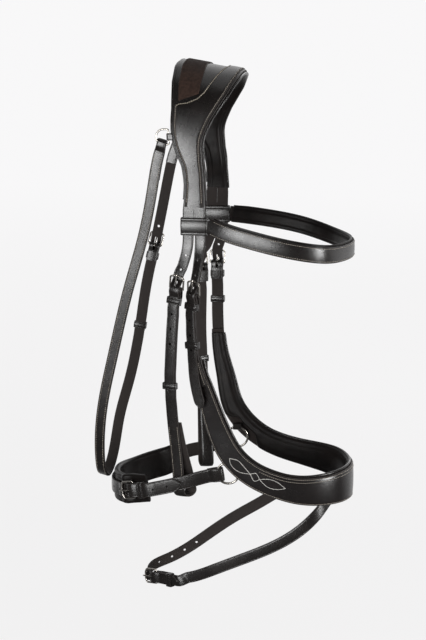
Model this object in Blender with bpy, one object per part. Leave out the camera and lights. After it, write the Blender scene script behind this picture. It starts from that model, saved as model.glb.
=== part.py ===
"""A horse bridle, open as on a horse's head: headpiece, browband, cheekpieces, padded noseband
with flash strap, padded chin strap and throatlatch.

Metres. +X is forward to the nose, +Y is the horse's left, +Z is up. The origin is the middle of the
headpiece padding's underside, where it sits on the poll. The horse's right is the near side.
"""
import math

import bpy
import bmesh
import numpy as np
from mathutils import Matrix, Vector

for old_object in list(bpy.data.objects):
    bpy.data.objects.remove(old_object, do_unlink=True)

# Driving sizes of the head that the bridle is open for
HEAD_REACH = 0.200
HEAD_HALF_WIDTH = 0.075
HEAD_DROP = 0.600

# Leather
LEATHER = 0.0024
THIN_LEATHER = 0.0010
STRAP_WIDTH = 0.0140
BILLET_WIDTH = 0.0127
BILLET_APART = 0.0009
THROAT_WIDTH = 0.0125
THROAT_FOLD_WIDTH = 0.0104
THROAT_NARROW_LENGTH = 0.0120
FLASH_WIDTH = 0.0135
CHIN_WIDTH = 0.0165
GAP = 0.00035
EDGE_BEVEL_SHARE = 0.35

# Punched holes and pointed strap ends
HOLE_RADIUS = 0.0015
HOLE_PITCH = 0.0175
HOLE_PLACE_SHARE = 0.42
FLASH_HOLE_SHIFT_SHARE = 0.2
TIP_LENGTH = 0.0110
TIP_SHARES = ((0.0, 0.30), (0.25, 0.64), (0.6, 0.90), (1.0, 1.0))

# Buckles
BUCKLE_LENGTH = 0.0150
BUCKLE_WIRE = 0.0011
BUCKLE_ARCH = 0.0012
BUCKLE_BOW_SHARE = 0.3
BUCKLE_SPREAD_SHARE = 1.2
BUCKLE_SIDE_CLEARANCE = 0.0005
TONGUE_RADIUS = 0.0009
TONGUE_CLEARANCE = 0.0003
TONGUE_OVERHANG = 0.0022
TONGUE_SLOT_HALF = 0.0016
TAIL_SLOT_SHARES = (0.70, 0.07)
TURN_BACK_EASE_SHARE = 0.45
TURN_BACK_LENGTH = 0.0185
THROAT_TURN_BACK = 0.0420
CHIN_TURN_BACK = 0.0105
SWING_SPLIT = 0.0003
NOSEBAND_SPLIT = 0.0009
TAIL_DRIFT = 0.0075

# Keepers
KEEPER_LENGTH = 0.0075
KEEPER_THICKNESS = 0.0010
KEEPER_CLEARANCE = 0.0003
RUNNER_CLEARANCE = 0.0005
RUNNER_TRAVEL = 0.0060
FIXED_KEEPER_SHARE = 0.6
RUNNER_ROOM_SHARE = 0.75

# Headpiece
SLIT_WIDTH = 0.0007
HEADPIECE_PAD_THICKNESS = 0.0060
HEADPIECE_PAD_ROLL = 0.0022
HEADPIECE_THIN_SHARE = 0.35
HEADPIECE_THIN_LENGTH_SHARE = 0.2
HEADPIECE_WIDTH_POLL = 0.0760
FACING_MARGIN = 0.0020
ELASTIC_MARGIN = 0.0040

# Throat rings, which are small D-rings
THROAT_RING_RADIUS = 0.0088
THROAT_RING_WIRE = 0.0011
THROAT_RING_SETBACK = 0.0057
THROAT_RING_TILT = math.radians(3)
RIGHT_THROAT_FOLD_ANGLE = math.radians(250)
LEFT_THROAT_FOLD_ANGLE = math.radians(243)
THROAT_RING_TAB_HALF = 0.0038
THROAT_TAB_LEAD_SHARE = 0.5
THROAT_TAB_PROBE_SHARES = (0.5, 0.8, 1.1)
# Corners of the D-ring's straight side: shares of the setback and of the radius
THROAT_RING_BAR_SHARES = ((0.62, -1.0), (0.93, -0.93), (1.0, -0.78), (1.0, 0.78), (0.93, 0.93), (0.62, 1.0))

# Noseband rings
NOSE_RING_RADIUS = 0.0128
NOSE_RING_WIRE = 0.0014
NOSE_RING_OUTSET = 0.0045
NOSE_RING_CLEARANCE = 0.00245
NOSE_RING_TAB_HALF = 0.0050
NOSE_RING_TAB_LENGTH = 0.0030

# Browband
BROWBAND_HEIGHT = 0.0185
BROWBAND_LOOP_HEIGHT = 0.0200
BROWBAND_LOOP_THICKNESS = 0.0014
BROWBAND_LOOP_CLEARANCE = 0.0010
BROWBAND_PAD_THICKNESS = 0.0040
BROWBAND_PAD_INSET = 0.0050
BROWBAND_END_OUTSET = 0.0018
BROWBAND_TRAVEL = 0.0050

# Noseband
NOSEBAND_HEIGHT = 0.0410
NOSEBAND_PAD_THICKNESS = 0.0075
NOSEBAND_PAD_ROLL = 0.0020
NOSEBAND_THIN_SHARE = 0.55
NOSEBAND_THIN_LENGTH_SHARE = 0.2

# Chin pad
CHIN_PAD_HEIGHT = 0.0360
CHIN_PAD_THICKNESS = 0.0080
CHIN_THIN_SHARE = 0.55
CHIN_THIN_LENGTH_SHARE = 0.12
CHIN_NARROW_SHARE = 0.82

# Padding's outline: shares of the half width, and the depth left at the edge and lost beside the middle
CUSHION_SHARES = (1.0, 0.93, 0.70, 0.36, 0.0, -0.36, -0.70, -0.93, -1.0)
CUSHION_EDGE_SHARE = 0.45
CUSHION_FALL_SHARE = 0.5

# Bit loops at the foot of the cheekpieces
BIT_LOOP_RADIUS = 0.0060
BIT_RETURN_LENGTH = 0.0850
BIT_RETURN_MERGE_SHARE = 0.75
BIT_RETURN_SKEW_SHARE = 0.75
BIT_BEND_DEGREES = (0, 25, 50, 70, 110, 130, 155, 180)
RIGHT_RETURN_SKEW = 0.0100
LEFT_RETURN_SKEW = 0.0050

# Flash loop under the front of the noseband
FLASH_LOOP_HALF_GAP = 0.0040
FLASH_LOOP_LENGTH = 0.0150
FLASH_LOOP_THICKNESS = 0.0012
FLASH_LOOP_HEADROOM = 0.0018
FLASH_LOOP_FOOTROOM = 0.0010

# Faceting
FACET_SAG = 0.00018
STATION_MIN = 0.0065
STATION_MAX = 0.0300
SAMPLES_PER_SPAN = 40
CUT_OVERRUN = 0.0020
STRAIGHT_BLEND = 0.0120
WIRE_SIDES = 6

# Places along the drop of the head, as shares of HEAD_DROP below the poll
CHEEK_BUCKLE_SHARE = 0.401
RIGHT_NOSE_BUCKLE_SHARE = 0.411
LEFT_NOSE_BUCKLE_SHARE = 0.396
CHEEK_RUNNER_SHARE = 0.592
CHEEK_TAIL_SHARE = 0.604
RIGHT_NOSE_RUNNER_SHARE = 0.508
LEFT_NOSE_RUNNER_SHARE = 0.471
RIGHT_NOSE_TAIL_SHARE = 0.628
LEFT_NOSE_TAIL_SHARE = 0.560
HANGER_FOOT_SHARE = 0.590
RIGHT_BIT_LOOP_SHARE = 0.819
LEFT_BIT_LOOP_SHARE = 0.811
THROAT_BUCKLE_SHARE = 0.358
THROAT_KEEPER_SHARE = 0.352
THROAT_RUNNER_SHARE = 0.522
THROAT_TAIL_SHARE = 0.548

# Routes. A row is a place, as shares of HEAD_REACH, HEAD_HALF_WIDTH and HEAD_DROP, and then the
# direction in which the outer face looks there.
HEADPIECE_SHARES = (
    (-0.035, -0.940, -0.250, 0.00, -1.0, 0.00),
    (-0.034, -0.913, -0.200, 0.00, -1.0, 0.00),
    (-0.048, -0.887, -0.162, 0.00, -1.0, 0.05),
    (-0.076, -0.860, -0.117, 0.00, -1.0, 0.10),
    (-0.058, -0.800, -0.070, 0.05, -1.0, 0.35),
    (-0.022, -0.640, -0.023, 0.10, -0.8, 0.75),
    (0.000, -0.360, 0.005, 0.16, -0.4, 1.00),
    (0.005, 0.000, 0.0126, 0.16, 0.0, 1.00),
    (0.000, 0.360, 0.005, 0.16, 0.4, 1.00),
    (-0.022, 0.640, -0.023, 0.10, 0.8, 0.75),
    (-0.058, 0.800, -0.070, 0.05, 1.0, 0.35),
    (-0.076, 0.860, -0.117, 0.00, 1.0, 0.10),
    (-0.048, 0.887, -0.162, 0.00, 1.0, 0.05),
    (-0.034, 0.913, -0.200, 0.00, 1.0, 0.00),
    (-0.035, 0.940, -0.250, 0.00, 1.0, 0.00),
)
RIGHT_CHEEK_SHARES = (
    (-0.035, -0.940, -0.250, -0.05, -1.0, 0.0),
    (-0.035, -0.941, -0.285, -0.05, -1.0, 0.0),
    (-0.039, -0.945, -0.320, -0.10, -1.0, 0.0),
    (-0.060, -0.965, -0.350, -0.27, -1.0, 0.0),
    (-0.086, -0.987, -0.378, -0.30, -1.0, 0.0),
    (-0.111, -1.000, -0.427, -0.30, -1.0, 0.0),
    (-0.131, -1.000, -0.522, -0.30, -1.0, 0.0),
    (-0.139, -0.973, -0.590, -0.28, -1.0, 0.0),
    (-0.131, -0.913, -0.667, -0.22, -1.0, 0.0),
    (-0.111, -0.853, -0.750, -0.20, -1.0, 0.0),
    (-0.100, -0.820, -0.828, -0.20, -1.0, 0.0),
)
LEFT_CHEEK_SHARES = (
    (-0.035, 0.940, -0.250, -0.05, 1.0, 0.0),
    (-0.035, 0.941, -0.285, -0.05, 1.0, 0.0),
    (-0.038, 0.943, -0.325, -0.10, 1.0, 0.0),
    (-0.060, 0.935, -0.352, -0.60, 1.0, 0.0),
    (-0.088, 0.913, -0.380, -1.00, 1.0, 0.0),
    (-0.096, 0.907, -0.427, -1.00, 1.0, 0.0),
    (-0.099, 0.907, -0.522, -1.00, 1.0, 0.0),
    (-0.092, 0.893, -0.600, -0.80, 1.0, 0.0),
    (-0.084, 0.858, -0.683, -0.45, 1.0, 0.0),
    (-0.078, 0.823, -0.758, -0.25, 1.0, 0.0),
    (-0.076, 0.807, -0.828, -0.20, 1.0, 0.0),
)
RIGHT_HANGER_SHARES = (
    (-0.035, -0.940, -0.250, -0.05, -1.0, 0.0),
    (-0.034, -0.941, -0.285, -0.05, -1.0, 0.0),
    (-0.034, -0.947, -0.318, -0.18, -1.0, 0.0),
    (-0.043, -0.983, -0.350, -0.48, -1.0, 0.0),
    (-0.059, -1.020, -0.392, -0.58, -1.0, 0.0),
    (-0.074, -1.027, -0.440, -0.58, -1.0, 0.0),
    (-0.072, -1.027, -0.498, -0.50, -1.0, 0.0),
    (-0.044, -1.007, -0.568, -0.30, -1.0, 0.0),
    (0.011, -0.973, -0.622, -0.15, -1.0, 0.0),
    (0.046, -0.960, -0.660, -0.10, -1.0, 0.0),
)
LEFT_HANGER_SHARES = (
    (-0.035, 0.940, -0.250, -0.05, 1.0, 0.0),
    (-0.037, 0.941, -0.285, -0.05, 1.0, 0.0),
    (-0.040, 0.945, -0.325, -0.05, 1.0, 0.0),
    (-0.066, 0.980, -0.365, 0.00, 1.0, 0.0),
    (-0.074, 1.013, -0.425, 0.00, 1.0, 0.0),
    (-0.074, 1.027, -0.483, 0.00, 1.0, 0.0),
    (-0.070, 1.020, -0.530, 0.00, 1.0, 0.0),
    (-0.062, 1.010, -0.560, 0.00, 1.0, 0.0),
    (-0.028, 0.990, -0.618, 0.00, 1.0, 0.0),
    (0.004, 0.975, -0.660, 0.00, 1.0, 0.0),
)
NOSEBAND_SHARES = (
    (0.047, -0.930, -0.628, -0.15, -1.0, 0.0),
    (0.100, -0.900, -0.682, -0.05, -1.0, 0.0),
    (0.180, -0.885, -0.733, 0.00, -1.0, 0.0),
    (0.285, -0.865, -0.765, 0.05, -1.0, 0.0),
    (0.430, -0.820, -0.788, 0.12, -1.0, 0.0),
    (0.575, -0.733, -0.800, 0.30, -1.0, 0.0),
    (0.715, -0.560, -0.802, 0.75, -1.0, 0.0),
    (0.810, -0.290, -0.800, 1.00, -0.5, 0.0),
    (0.840, 0.000, -0.797, 1.00, 0.0, 0.0),
    (0.812, 0.290, -0.792, 1.00, 0.5, 0.0),
    (0.728, 0.560, -0.785, 0.75, 1.0, 0.0),
    (0.600, 0.733, -0.780, 0.30, 1.0, 0.0),
    (0.450, 0.825, -0.773, 0.12, 1.0, 0.0),
    (0.285, 0.875, -0.757, 0.05, 1.0, 0.0),
    (0.152, 0.905, -0.728, 0.00, 1.0, 0.0),
    (0.064, 0.920, -0.690, -0.05, 1.0, 0.0),
    (0.017, 0.940, -0.632, 0.00, 1.0, 0.0),
)
NOSEBAND_TOP_SHARES = (0.532, 0.560, 0.592)
RIGHT_BROWBAND_END_SHARE = 0.280
LEFT_BROWBAND_END_SHARE = 0.294
# How steeply the browband leaves its loops, up or down, and how much it turns outward there
RIGHT_BROWBAND_SLOPE_SHARE = 0.275
LEFT_BROWBAND_SLOPE_SHARE = 0.132
BROWBAND_TURN_SHARE = 0.35
BROWBAND_SHARES = (
    (0.125, -1.035, -0.287, -0.12, -1.0, 0.0),
    (0.285, -1.113, -0.300, 0.00, -1.0, 0.0),
    (0.525, -1.107, -0.317, 0.15, -1.0, 0.0),
    (0.700, -0.907, -0.328, 0.60, -1.0, 0.0),
    (0.795, -0.480, -0.333, 1.00, -0.6, 0.0),
    (0.830, 0.000, -0.333, 1.00, 0.0, 0.0),
    (0.785, 0.440, -0.333, 1.00, 0.6, 0.0),
    (0.675, 0.827, -0.330, 0.60, 1.0, 0.0),
    (0.490, 1.067, -0.317, 0.15, 1.0, 0.0),
    (0.275, 1.100, -0.305, 0.00, 1.0, 0.0),
    (0.125, 1.035, -0.298, -0.12, 1.0, 0.0),
)
THROATLATCH_SHARES = (
    (-0.2300, -0.845, -0.1273, 0.00, -1.0, 0.0),
    (-0.2540, -0.838, -0.1563, 0.00, -1.0, 0.0),
    (-0.283, -0.825, -0.207, -0.03, -1.0, 0.0),
    (-0.345, -0.780, -0.305, -0.10, -1.0, 0.0),
    (-0.435, -0.740, -0.407, -0.10, -1.0, 0.0),
    (-0.545, -0.680, -0.552, -0.10, -1.0, 0.0),
    (-0.610, -0.640, -0.650, -0.10, -1.0, 0.0),
    (-0.636, -0.573, -0.715, -0.15, -1.0, -0.3),
    (-0.648, -0.440, -0.768, -0.25, -0.9, -0.7),
    (-0.655, -0.220, -0.803, -0.25, -0.4, -1.0),
    (-0.655, 0.000, -0.812, -0.25, 0.0, -1.0),
    (-0.650, 0.220, -0.803, -0.25, 0.4, -1.0),
    (-0.638, 0.440, -0.768, -0.25, 0.9, -0.7),
    (-0.620, 0.573, -0.715, -0.15, 1.0, -0.3),
    (-0.565, 0.655, -0.640, -0.10, 1.0, 0.0),
    (-0.495, 0.690, -0.523, -0.10, 1.0, 0.0),
    (-0.455, 0.720, -0.435, -0.10, 1.0, 0.0),
    (-0.410, 0.737, -0.365, -0.10, 1.0, 0.0),
    (-0.362, 0.785, -0.285, -0.05, 1.0, 0.0),
    (-0.340, 0.810, -0.245, -0.04, 1.0, 0.0),
    (-0.319, 0.830, -0.208, -0.02, 1.0, 0.0),
    (-0.298, 0.834, -0.179, 0.00, 1.0, 0.0),
    (-0.2660, 0.838, -0.1502, 0.00, 1.0, 0.0),
    (-0.2350, 0.845, -0.1267, 0.00, 1.0, 0.0),
)
CHIN_SHARES = (
    (-0.090, -0.893, -0.787, 0.00, -1.0, 0.0),
    (-0.190, -0.912, -0.796, -0.05, -1.0, 0.0),
    (-0.290, -0.893, -0.805, -0.20, -1.0, 0.0),
    (-0.400, -0.793, -0.813, -0.45, -1.0, 0.0),
    (-0.500, -0.613, -0.820, -0.80, -1.0, 0.0),
    (-0.570, -0.373, -0.823, -1.00, -0.6, 0.0),
    (-0.602, -0.067, -0.823, -1.00, -0.1, 0.0),
    (-0.590, 0.240, -0.823, -1.00, 0.4, 0.0),
    (-0.535, 0.493, -0.822, -0.90, 0.9, 0.0),
    (-0.440, 0.693, -0.815, -0.50, 1.0, 0.0),
    (-0.325, 0.827, -0.805, -0.25, 1.0, 0.0),
    (-0.200, 0.905, -0.788, -0.08, 1.0, 0.0),
    (-0.078, 0.922, -0.777, 0.00, 1.0, 0.0),
)
FLASH_SHARES = (
    (-0.385, 0.020, -1.010, -1.00, 0.0, 0.0),
    (-0.363, -0.120, -1.013, -1.00, -0.9, 0.0),
    (-0.300, -0.255, -1.015, -0.65, -1.0, 0.0),
    (-0.225, -0.360, -1.012, -0.35, -1.0, 0.0),
    (-0.095, -0.440, -1.002, -0.20, -1.0, 0.0),
    (0.040, -0.507, -0.982, -0.15, -1.0, 0.0),
    (0.190, -0.547, -0.958, -0.10, -1.0, 0.0),
    (0.335, -0.573, -0.935, 0.00, -1.0, 0.0),
    (0.480, -0.573, -0.908, 0.05, -1.0, 0.0),
    (0.615, -0.533, -0.872, 0.15, -1.0, 0.0),
    (0.680, -0.440, -0.848, 0.60, -1.0, 0.0),
    (0.727, -0.253, -0.829, 1.00, -0.7, 0.0),
    (0.757, 0.000, -0.821, 1.00, 0.0, 0.0),
    (0.729, 0.253, -0.822, 1.00, 0.7, 0.0),
    (0.665, 0.427, -0.829, 0.60, 1.0, 0.0),
    (0.540, 0.533, -0.834, 0.20, 1.0, 0.0),
    (0.410, 0.587, -0.847, 0.05, 1.0, 0.0),
    (0.260, 0.587, -0.878, 0.00, 1.0, 0.0),
    (0.115, 0.560, -0.908, -0.10, 1.0, 0.0),
    (-0.035, 0.507, -0.943, -0.15, 1.0, 0.0),
    (-0.180, 0.427, -0.978, -0.25, 1.0, 0.0),
    (-0.295, 0.300, -0.998, -0.60, 1.0, 0.0),
    (-0.365, 0.160, -1.006, -1.00, 0.6, 0.0),
)

# Half widths along the headpiece, from its end (0) to the poll (1), as shares of half HEADPIECE_WIDTH_POLL
HEADPIECE_WIDTH_SHARES = (
    (0.00, 0.345), (0.15, 0.295), (0.27, 0.310), (0.41, 0.445), (0.56, 0.600),
    (0.72, 0.845), (0.86, 0.965), (1.00, 0.985),
)
# How much of the padding's roll shows beyond the rear edge, from the headpiece's end (0) to the poll (1)
REAR_ROLL_SHARES = ((0.0, 0.15), (0.30, 0.15), (0.50, 1.0), (1.0, 1.0))
# Rear edge of the facing, which opens forward at the poll round the elastic: as shares of the half width
FACING_REAR_SHARES = (
    (0.00, -1.0), (0.575, -1.0), (0.588, -0.95), (0.614, -0.39), (0.650, 0.0), (0.693, 0.18), (0.775, 0.30),
    (0.886, 0.42), (1.0, 0.50),
)
# Front edge of the elastic panel, with its slanting lower end, as shares of the half width
ELASTIC_FRONT_SHARES = ((0.0, -0.70), (0.612, -0.70), (0.680, 0.05), (0.76, 0.02), (1.0, -0.02))
ELASTIC_END_SHARE = 0.612
PAD_END_SHARE = 0.03
FACING_END_SHARE = 0.02

# Half heights along the noseband, from its right top (0) to its left top (1), as shares of half NOSEBAND_HEIGHT
NOSEBAND_HEIGHT_SHARES = (
    (0.0, 0.36), (0.05, 0.42), (0.11, 0.54), (0.18, 0.64), (0.26, 0.67), (0.33, 0.72), (0.41, 0.86), (0.5, 1.0),
    (0.59, 0.86), (0.67, 0.72), (0.74, 0.67), (0.82, 0.64), (0.89, 0.54), (0.95, 0.42), (1.0, 0.36),
)
RIGHT_NOSE_RING_SHARE = 0.231
LEFT_NOSE_RING_SHARE = 0.789
CHIN_START_LENGTH = 0.0160
CHIN_SETTLE = 0.0090
THROAT_SETTLE = 0.0070
CHIN_START_SLOPE_SHARE = 0.16
CHIN_PAD_FROM_SHARE = 0.275
CHIN_PAD_TO_SHARE = 0.775
CHIN_BUCKLE_SHARE = 0.315
CHIN_TAIL_SHARE = 0.150
FLASH_BUCKLE_SHARE = -0.215
FLASH_KEEPER_SHARE = 0.080
FLASH_TAIL_SHARE = 0.102
FLASH_LOOP_SHARE = 0.5056


def material(name, color, roughness, metallic=0.0):
    """A plain Principled material."""
    made = bpy.data.materials.new(name)
    made.use_nodes = True
    shader = made.node_tree.nodes["Principled BSDF"]
    shader.inputs["Base Color"].default_value = (*color, 1.0)
    shader.inputs["Roughness"].default_value = roughness
    shader.inputs["Metallic"].default_value = metallic
    return made


BLACK_LEATHER = ((0.016, 0.012, 0.011), 0.38)
SOFT_LEATHER = ((0.012, 0.009, 0.008), 0.60)
BROWN_ELASTIC = ((0.040, 0.022, 0.016), 0.85)
STEEL = ((0.62, 0.60, 0.57), 0.22, 1.0)


def unit(vectors):
    """Each row at length one."""
    return vectors / np.linalg.norm(vectors, axis=-1, keepdims=True)


def bent_weight(share):
    """Ease from 0 to 1 with level ends."""
    share = min(max(share, 0.0), 1.0)
    return share * share * (3.0 - 2.0 * share)


def table(rows, share):
    """Read a table of (share, value) rows, by straight lines."""
    places, values = zip(*rows)
    return float(np.interp(share, places, values))


def cubic(knots, values, places):
    """Natural cubic spline through the values, read at the places."""
    count = len(knots)
    steps = np.diff(knots)
    system = np.zeros((count, count))
    right = np.zeros((count, values.shape[1]))
    system[0, 0] = 1.0
    system[-1, -1] = 1.0
    for i in range(1, count - 1):
        system[i, i - 1] = steps[i - 1]
        system[i, i] = 2.0 * (steps[i - 1] + steps[i])
        system[i, i + 1] = steps[i]
        slope_after = (values[i + 1] - values[i]) / steps[i]
        slope_before = (values[i] - values[i - 1]) / steps[i - 1]
        right[i] = 6.0 * (slope_after - slope_before)
    second = np.linalg.solve(system, right)
    spans = np.clip(np.searchsorted(knots, places, side="right") - 1, 0, count - 2)
    step = steps[spans][:, None]
    after = ((places - knots[spans])[:, None]) / step
    before = 1.0 - after
    bow = ((before ** 3 - before) * second[spans] + (after ** 3 - after) * second[spans + 1]) * step ** 2 / 6.0
    return before * values[spans] + after * values[spans + 1] + bow


class Route:
    """A smooth line with an outward face, read by its length from the start.

    A point beside it is (s, n, w): the length, the way out of the face, and the way across,
    which is forward or up.
    """

    def __init__(self, shares, across_sign, closed=False, lead=(), trail=(), forward=0.0):
        """The lead and the trail are rows of (place, face) before and after the table's, which lie
        this far forward of their shares."""
        rows = np.array(shares, float)
        places = rows[:, :3] * np.array([HEAD_REACH, HEAD_HALF_WIDTH, HEAD_DROP]) + np.array([forward, 0.0, 0.0])
        faces = unit(rows[:, 3:])
        places = np.vstack([row[0] for row in lead] + [places] + [row[0] for row in trail])
        faces = np.vstack([row[1] for row in lead] + [faces] + [row[1] for row in trail])
        wrapped = 4 if closed else 0
        if closed:
            places = np.vstack([places[-wrapped:], places, places[:wrapped + 1]])
            faces = np.vstack([faces[-wrapped:], faces, faces[:wrapped + 1]])
        knots = np.concatenate([[0.0], np.cumsum(np.linalg.norm(np.diff(places, axis=0), axis=1))])
        first = knots[wrapped]
        last = knots[-1 - wrapped]
        fine = np.linspace(first, last, SAMPLES_PER_SPAN * len(places) + 1)
        self.across_sign = across_sign
        self.closed = closed
        self.places = cubic(knots, places, fine)
        self.faces = unit(cubic(knots, faces, fine))
        self.measure()

    def measure(self):
        """Work out lengths, directions and the spacing of stations from the fine samples."""
        chords = np.linalg.norm(np.diff(self.places, axis=0), axis=1)
        self.lengths = np.concatenate([[0.0], np.cumsum(chords)])
        self.length = float(self.lengths[-1])
        if self.closed:
            before = np.vstack([self.places[-2], self.places[:-1]])
            after = np.vstack([self.places[1:], self.places[1]])
            self.along = unit(after - before)
        else:
            self.along = unit(np.gradient(self.places, self.lengths, axis=0))
        lean = np.sum(self.faces * self.along, axis=1, keepdims=True)
        self.out = unit(self.faces - lean * self.along)
        self.across = self.across_sign * np.cross(self.along, self.out)
        turning = np.linalg.norm(np.gradient(self.along, self.lengths, axis=0), axis=1)
        twisting = np.linalg.norm(np.gradient(self.out, self.lengths, axis=0), axis=1)
        sharp = np.maximum(turning, twisting) + 1.0e-6
        steps = np.clip(np.sqrt(8.0 * FACET_SAG / sharp), STATION_MIN, STATION_MAX)
        grid = []
        last = 0.0
        shortest = STATION_MAX
        for place, step in zip(self.lengths, steps):
            shortest = min(shortest, step)
            if place - last >= shortest:
                grid.append(float(place))
                last = place
                shortest = STATION_MAX
        self.grid = grid

    def read(self, field, s):
        if self.closed:
            s = s % self.length
        return np.array([np.interp(s, self.lengths, field[:, k]) for k in range(3)])

    def frame(self, s):
        """Place, along, out and across at a length."""
        along = unit(self.read(self.along, s))
        out = self.read(self.out, s)
        out = unit(out - np.dot(out, along) * along)
        across = self.across_sign * np.cross(along, out)
        place = self.read(self.places, s)
        if not self.closed:
            place = place + along * (min(s, 0.0) + max(s - self.length, 0.0))
        return place, along, out, across

    def point(self, s, n=0.0, w=0.0):
        place, _, out, across = self.frame(s)
        return place + out * n + across * w

    def at_drop(self, share, from_end=False):
        """The length at which the route has dropped by this share of HEAD_DROP."""
        below = self.places[:, 2] <= -share * HEAD_DROP
        if from_end:
            return float(self.lengths[len(below) - 1 - int(np.argmax(below[::-1]))])
        return float(self.lengths[int(np.argmax(below))])

    def at_side(self, share):
        """The length at which the route first passes this share of HEAD_HALF_WIDTH to the right."""
        return float(self.lengths[int(np.argmax(self.places[:, 1] <= share * HEAD_HALF_WIDTH))])

    def straighten(self, middle, half):
        """Replace a stretch by its own tangent, eased back into the curve at both ends."""
        place, along, out, _ = self.frame(middle)
        offsets = self.lengths - middle
        if self.closed:
            offsets = (offsets + self.length / 2.0) % self.length - self.length / 2.0
        weights = np.array([1.0 - bent_weight((abs(d) - half) / STRAIGHT_BLEND) for d in offsets])[:, None]
        line = place + offsets[:, None] * along
        self.places = weights * line + (1.0 - weights) * self.places
        self.faces = unit(weights * out + (1.0 - weights) * self.out)
        self.measure()


def run(route, start, end, n=0.0, w=0.0, extra=()):
    """Stations from start to end at one height over the route."""
    low, high = min(start, end), max(start, end)
    shift = route.length if route.closed else 0.0
    grid = list(route.grid) + [g + shift for g in route.grid if shift] + [g - shift for g in route.grid if shift]
    margin = STATION_MIN / 3.0
    extra = [e for e in extra if low < e < high]
    inner = [g for g in grid if low + margin < g < high - margin and all(abs(g - e) > margin for e in extra)]
    places = sorted([low, high] + inner + extra)
    if start > end:
        places.reverse()
    return [(s, n, w) for s in places]


def ease(start, end, n_start, n_end, count=5):
    """Stations from one height to another, level at both ends."""
    shares = [i / count for i in range(count + 1)]
    return [(start + (end - start) * k, n_start + (n_end - n_start) * bent_weight(k), 0.0) for k in shares]


def joined(*stretches):
    """One path from several, without doubled stations."""
    path = []
    for stretch in stretches:
        for station in stretch:
            if not path or math.dist(path[-1][:2], station[:2]) > GAP:
                path.append(station)
    return path


def tip_places(end, toward):
    """Stations that shape a pointed end; toward is +1 where the strap lies at larger lengths."""
    return [end + toward * TIP_LENGTH * share for share, _ in TIP_SHARES[1:]]


def tip_width(s, end, half):
    """Half width beside a pointed end."""
    return half * table(TIP_SHARES, min(abs(s - end) / TIP_LENGTH, 1.0))


def add_object(name, mesh_bm, look, smooth=False):
    """Close a bmesh into a named object with its own material."""
    bmesh.ops.recalc_face_normals(mesh_bm, faces=mesh_bm.faces)
    if mesh_bm.calc_volume(signed=True) < 0.0:
        bmesh.ops.reverse_faces(mesh_bm, faces=mesh_bm.faces)
    mesh = bpy.data.meshes.new(name)
    mesh_bm.to_mesh(mesh)
    mesh_bm.free()
    made = bpy.data.objects.new(name, mesh)
    bpy.context.scene.collection.objects.link(made)
    mesh.materials.append(material(name, *look))
    if smooth:
        mesh.shade_smooth()
    return made


def loft(name, rings, look, closed=False, smooth=False):
    """Skin a list of rings of points; the ends are capped unless the rings close on themselves."""
    mesh_bm = bmesh.new()
    layers = [[mesh_bm.verts.new(Vector(p)) for p in ring] for ring in rings]
    count = len(layers)
    size = len(layers[0])
    for i in range(count if closed else count - 1):
        here, there = layers[i], layers[(i + 1) % count]
        for k in range(size):
            mesh_bm.faces.new((here[k], here[(k + 1) % size], there[(k + 1) % size], there[k]))
    if not closed:
        mesh_bm.faces.new(layers[0])
        mesh_bm.faces.new(layers[-1][::-1])
    return add_object(name, mesh_bm, look, smooth)


def strap_section(half_width):
    """Outline of a strap across (w, n), with bevelled outer edges."""
    half = LEATHER / 2.0
    bevel = LEATHER * EDGE_BEVEL_SHARE
    return (
        (-half_width, -half), (-half_width, half - bevel), (-half_width + bevel, half),
        (half_width - bevel, half), (half_width, half - bevel), (half_width, -half),
    )


def strap(name, route, path, half_widths):
    """A strap of one thickness along a path of stations; it may fold back over itself."""
    centres = np.array([route.point(*station) for station in path])
    frames = [route.frame(station[0]) for station in path]
    last = len(path) - 1
    rings = []
    for i, centre in enumerate(centres):
        heading = unit(centres[min(i + 1, last)] - centres[max(i - 1, 0)])
        across = frames[i][3]
        over = unit(np.cross(across, heading))
        half = half_widths[i] if isinstance(half_widths, list) else half_widths
        side = path_side(path, i, frames[i], over)
        rings.append([centre + across * w + over * (n * side) for w, n in strap_section(half)])
    return loft(name, rings, BLACK_LEATHER)


def path_side(path, index, frame, over):
    """Keep the bevelled side of a folded strap outside: +1 or -1 of the over direction, one for all stations."""
    start = path[0]
    ahead = path[1]
    along_first = 1.0 if ahead[0] > start[0] else -1.0
    handed = np.dot(np.cross(frame[3], frame[1]), frame[2])
    return -1.0 if handed * along_first * path_flips(path) < 0.0 else 1.0


def path_flips(path):
    """-1 where a path starts on its turned-back layer, which lies under the outer one."""
    start_direction = path[1][0] - path[0][0]
    end_direction = path[-1][0] - path[-2][0]
    starts_below = path[0][1] < -LEATHER
    return -1.0 if start_direction * end_direction < 0.0 and starts_below else 1.0


def keeper(name, route, s, half_width, n_low, n_high, length, thickness=KEEPER_THICKNESS, w_middle=0.0):
    """A flat leather band round a strap, straight along the route."""
    place, along, out, across = route.frame(s)
    rings = []
    corner = thickness
    for end, wall in ((-1, 0.0), (-1, thickness), (1, thickness), (1, 0.0)):
        wide = half_width + wall
        low = n_low - wall
        high = n_high + wall
        cut = corner if wall else corner / 2.0
        outline = (
            (-wide + cut, low), (wide - cut, low), (wide, low + cut), (wide, high - cut),
            (wide - cut, high), (-wide + cut, high), (-wide, high - cut), (-wide, low + cut),
        )
        base = place + along * (end * length / 2.0)
        rings.append([base + across * (w + w_middle) + out * n for w, n in outline])
    return loft(name, rings, BLACK_LEATHER, closed=True)


def round_section(centre, radial, sideways, radius):
    """Points round a wire."""
    angles = [2.0 * math.pi * k / WIRE_SIDES for k in range(WIRE_SIDES)]
    return [centre + (radial * math.cos(a) + sideways * math.sin(a)) * radius for a in angles]


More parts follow.
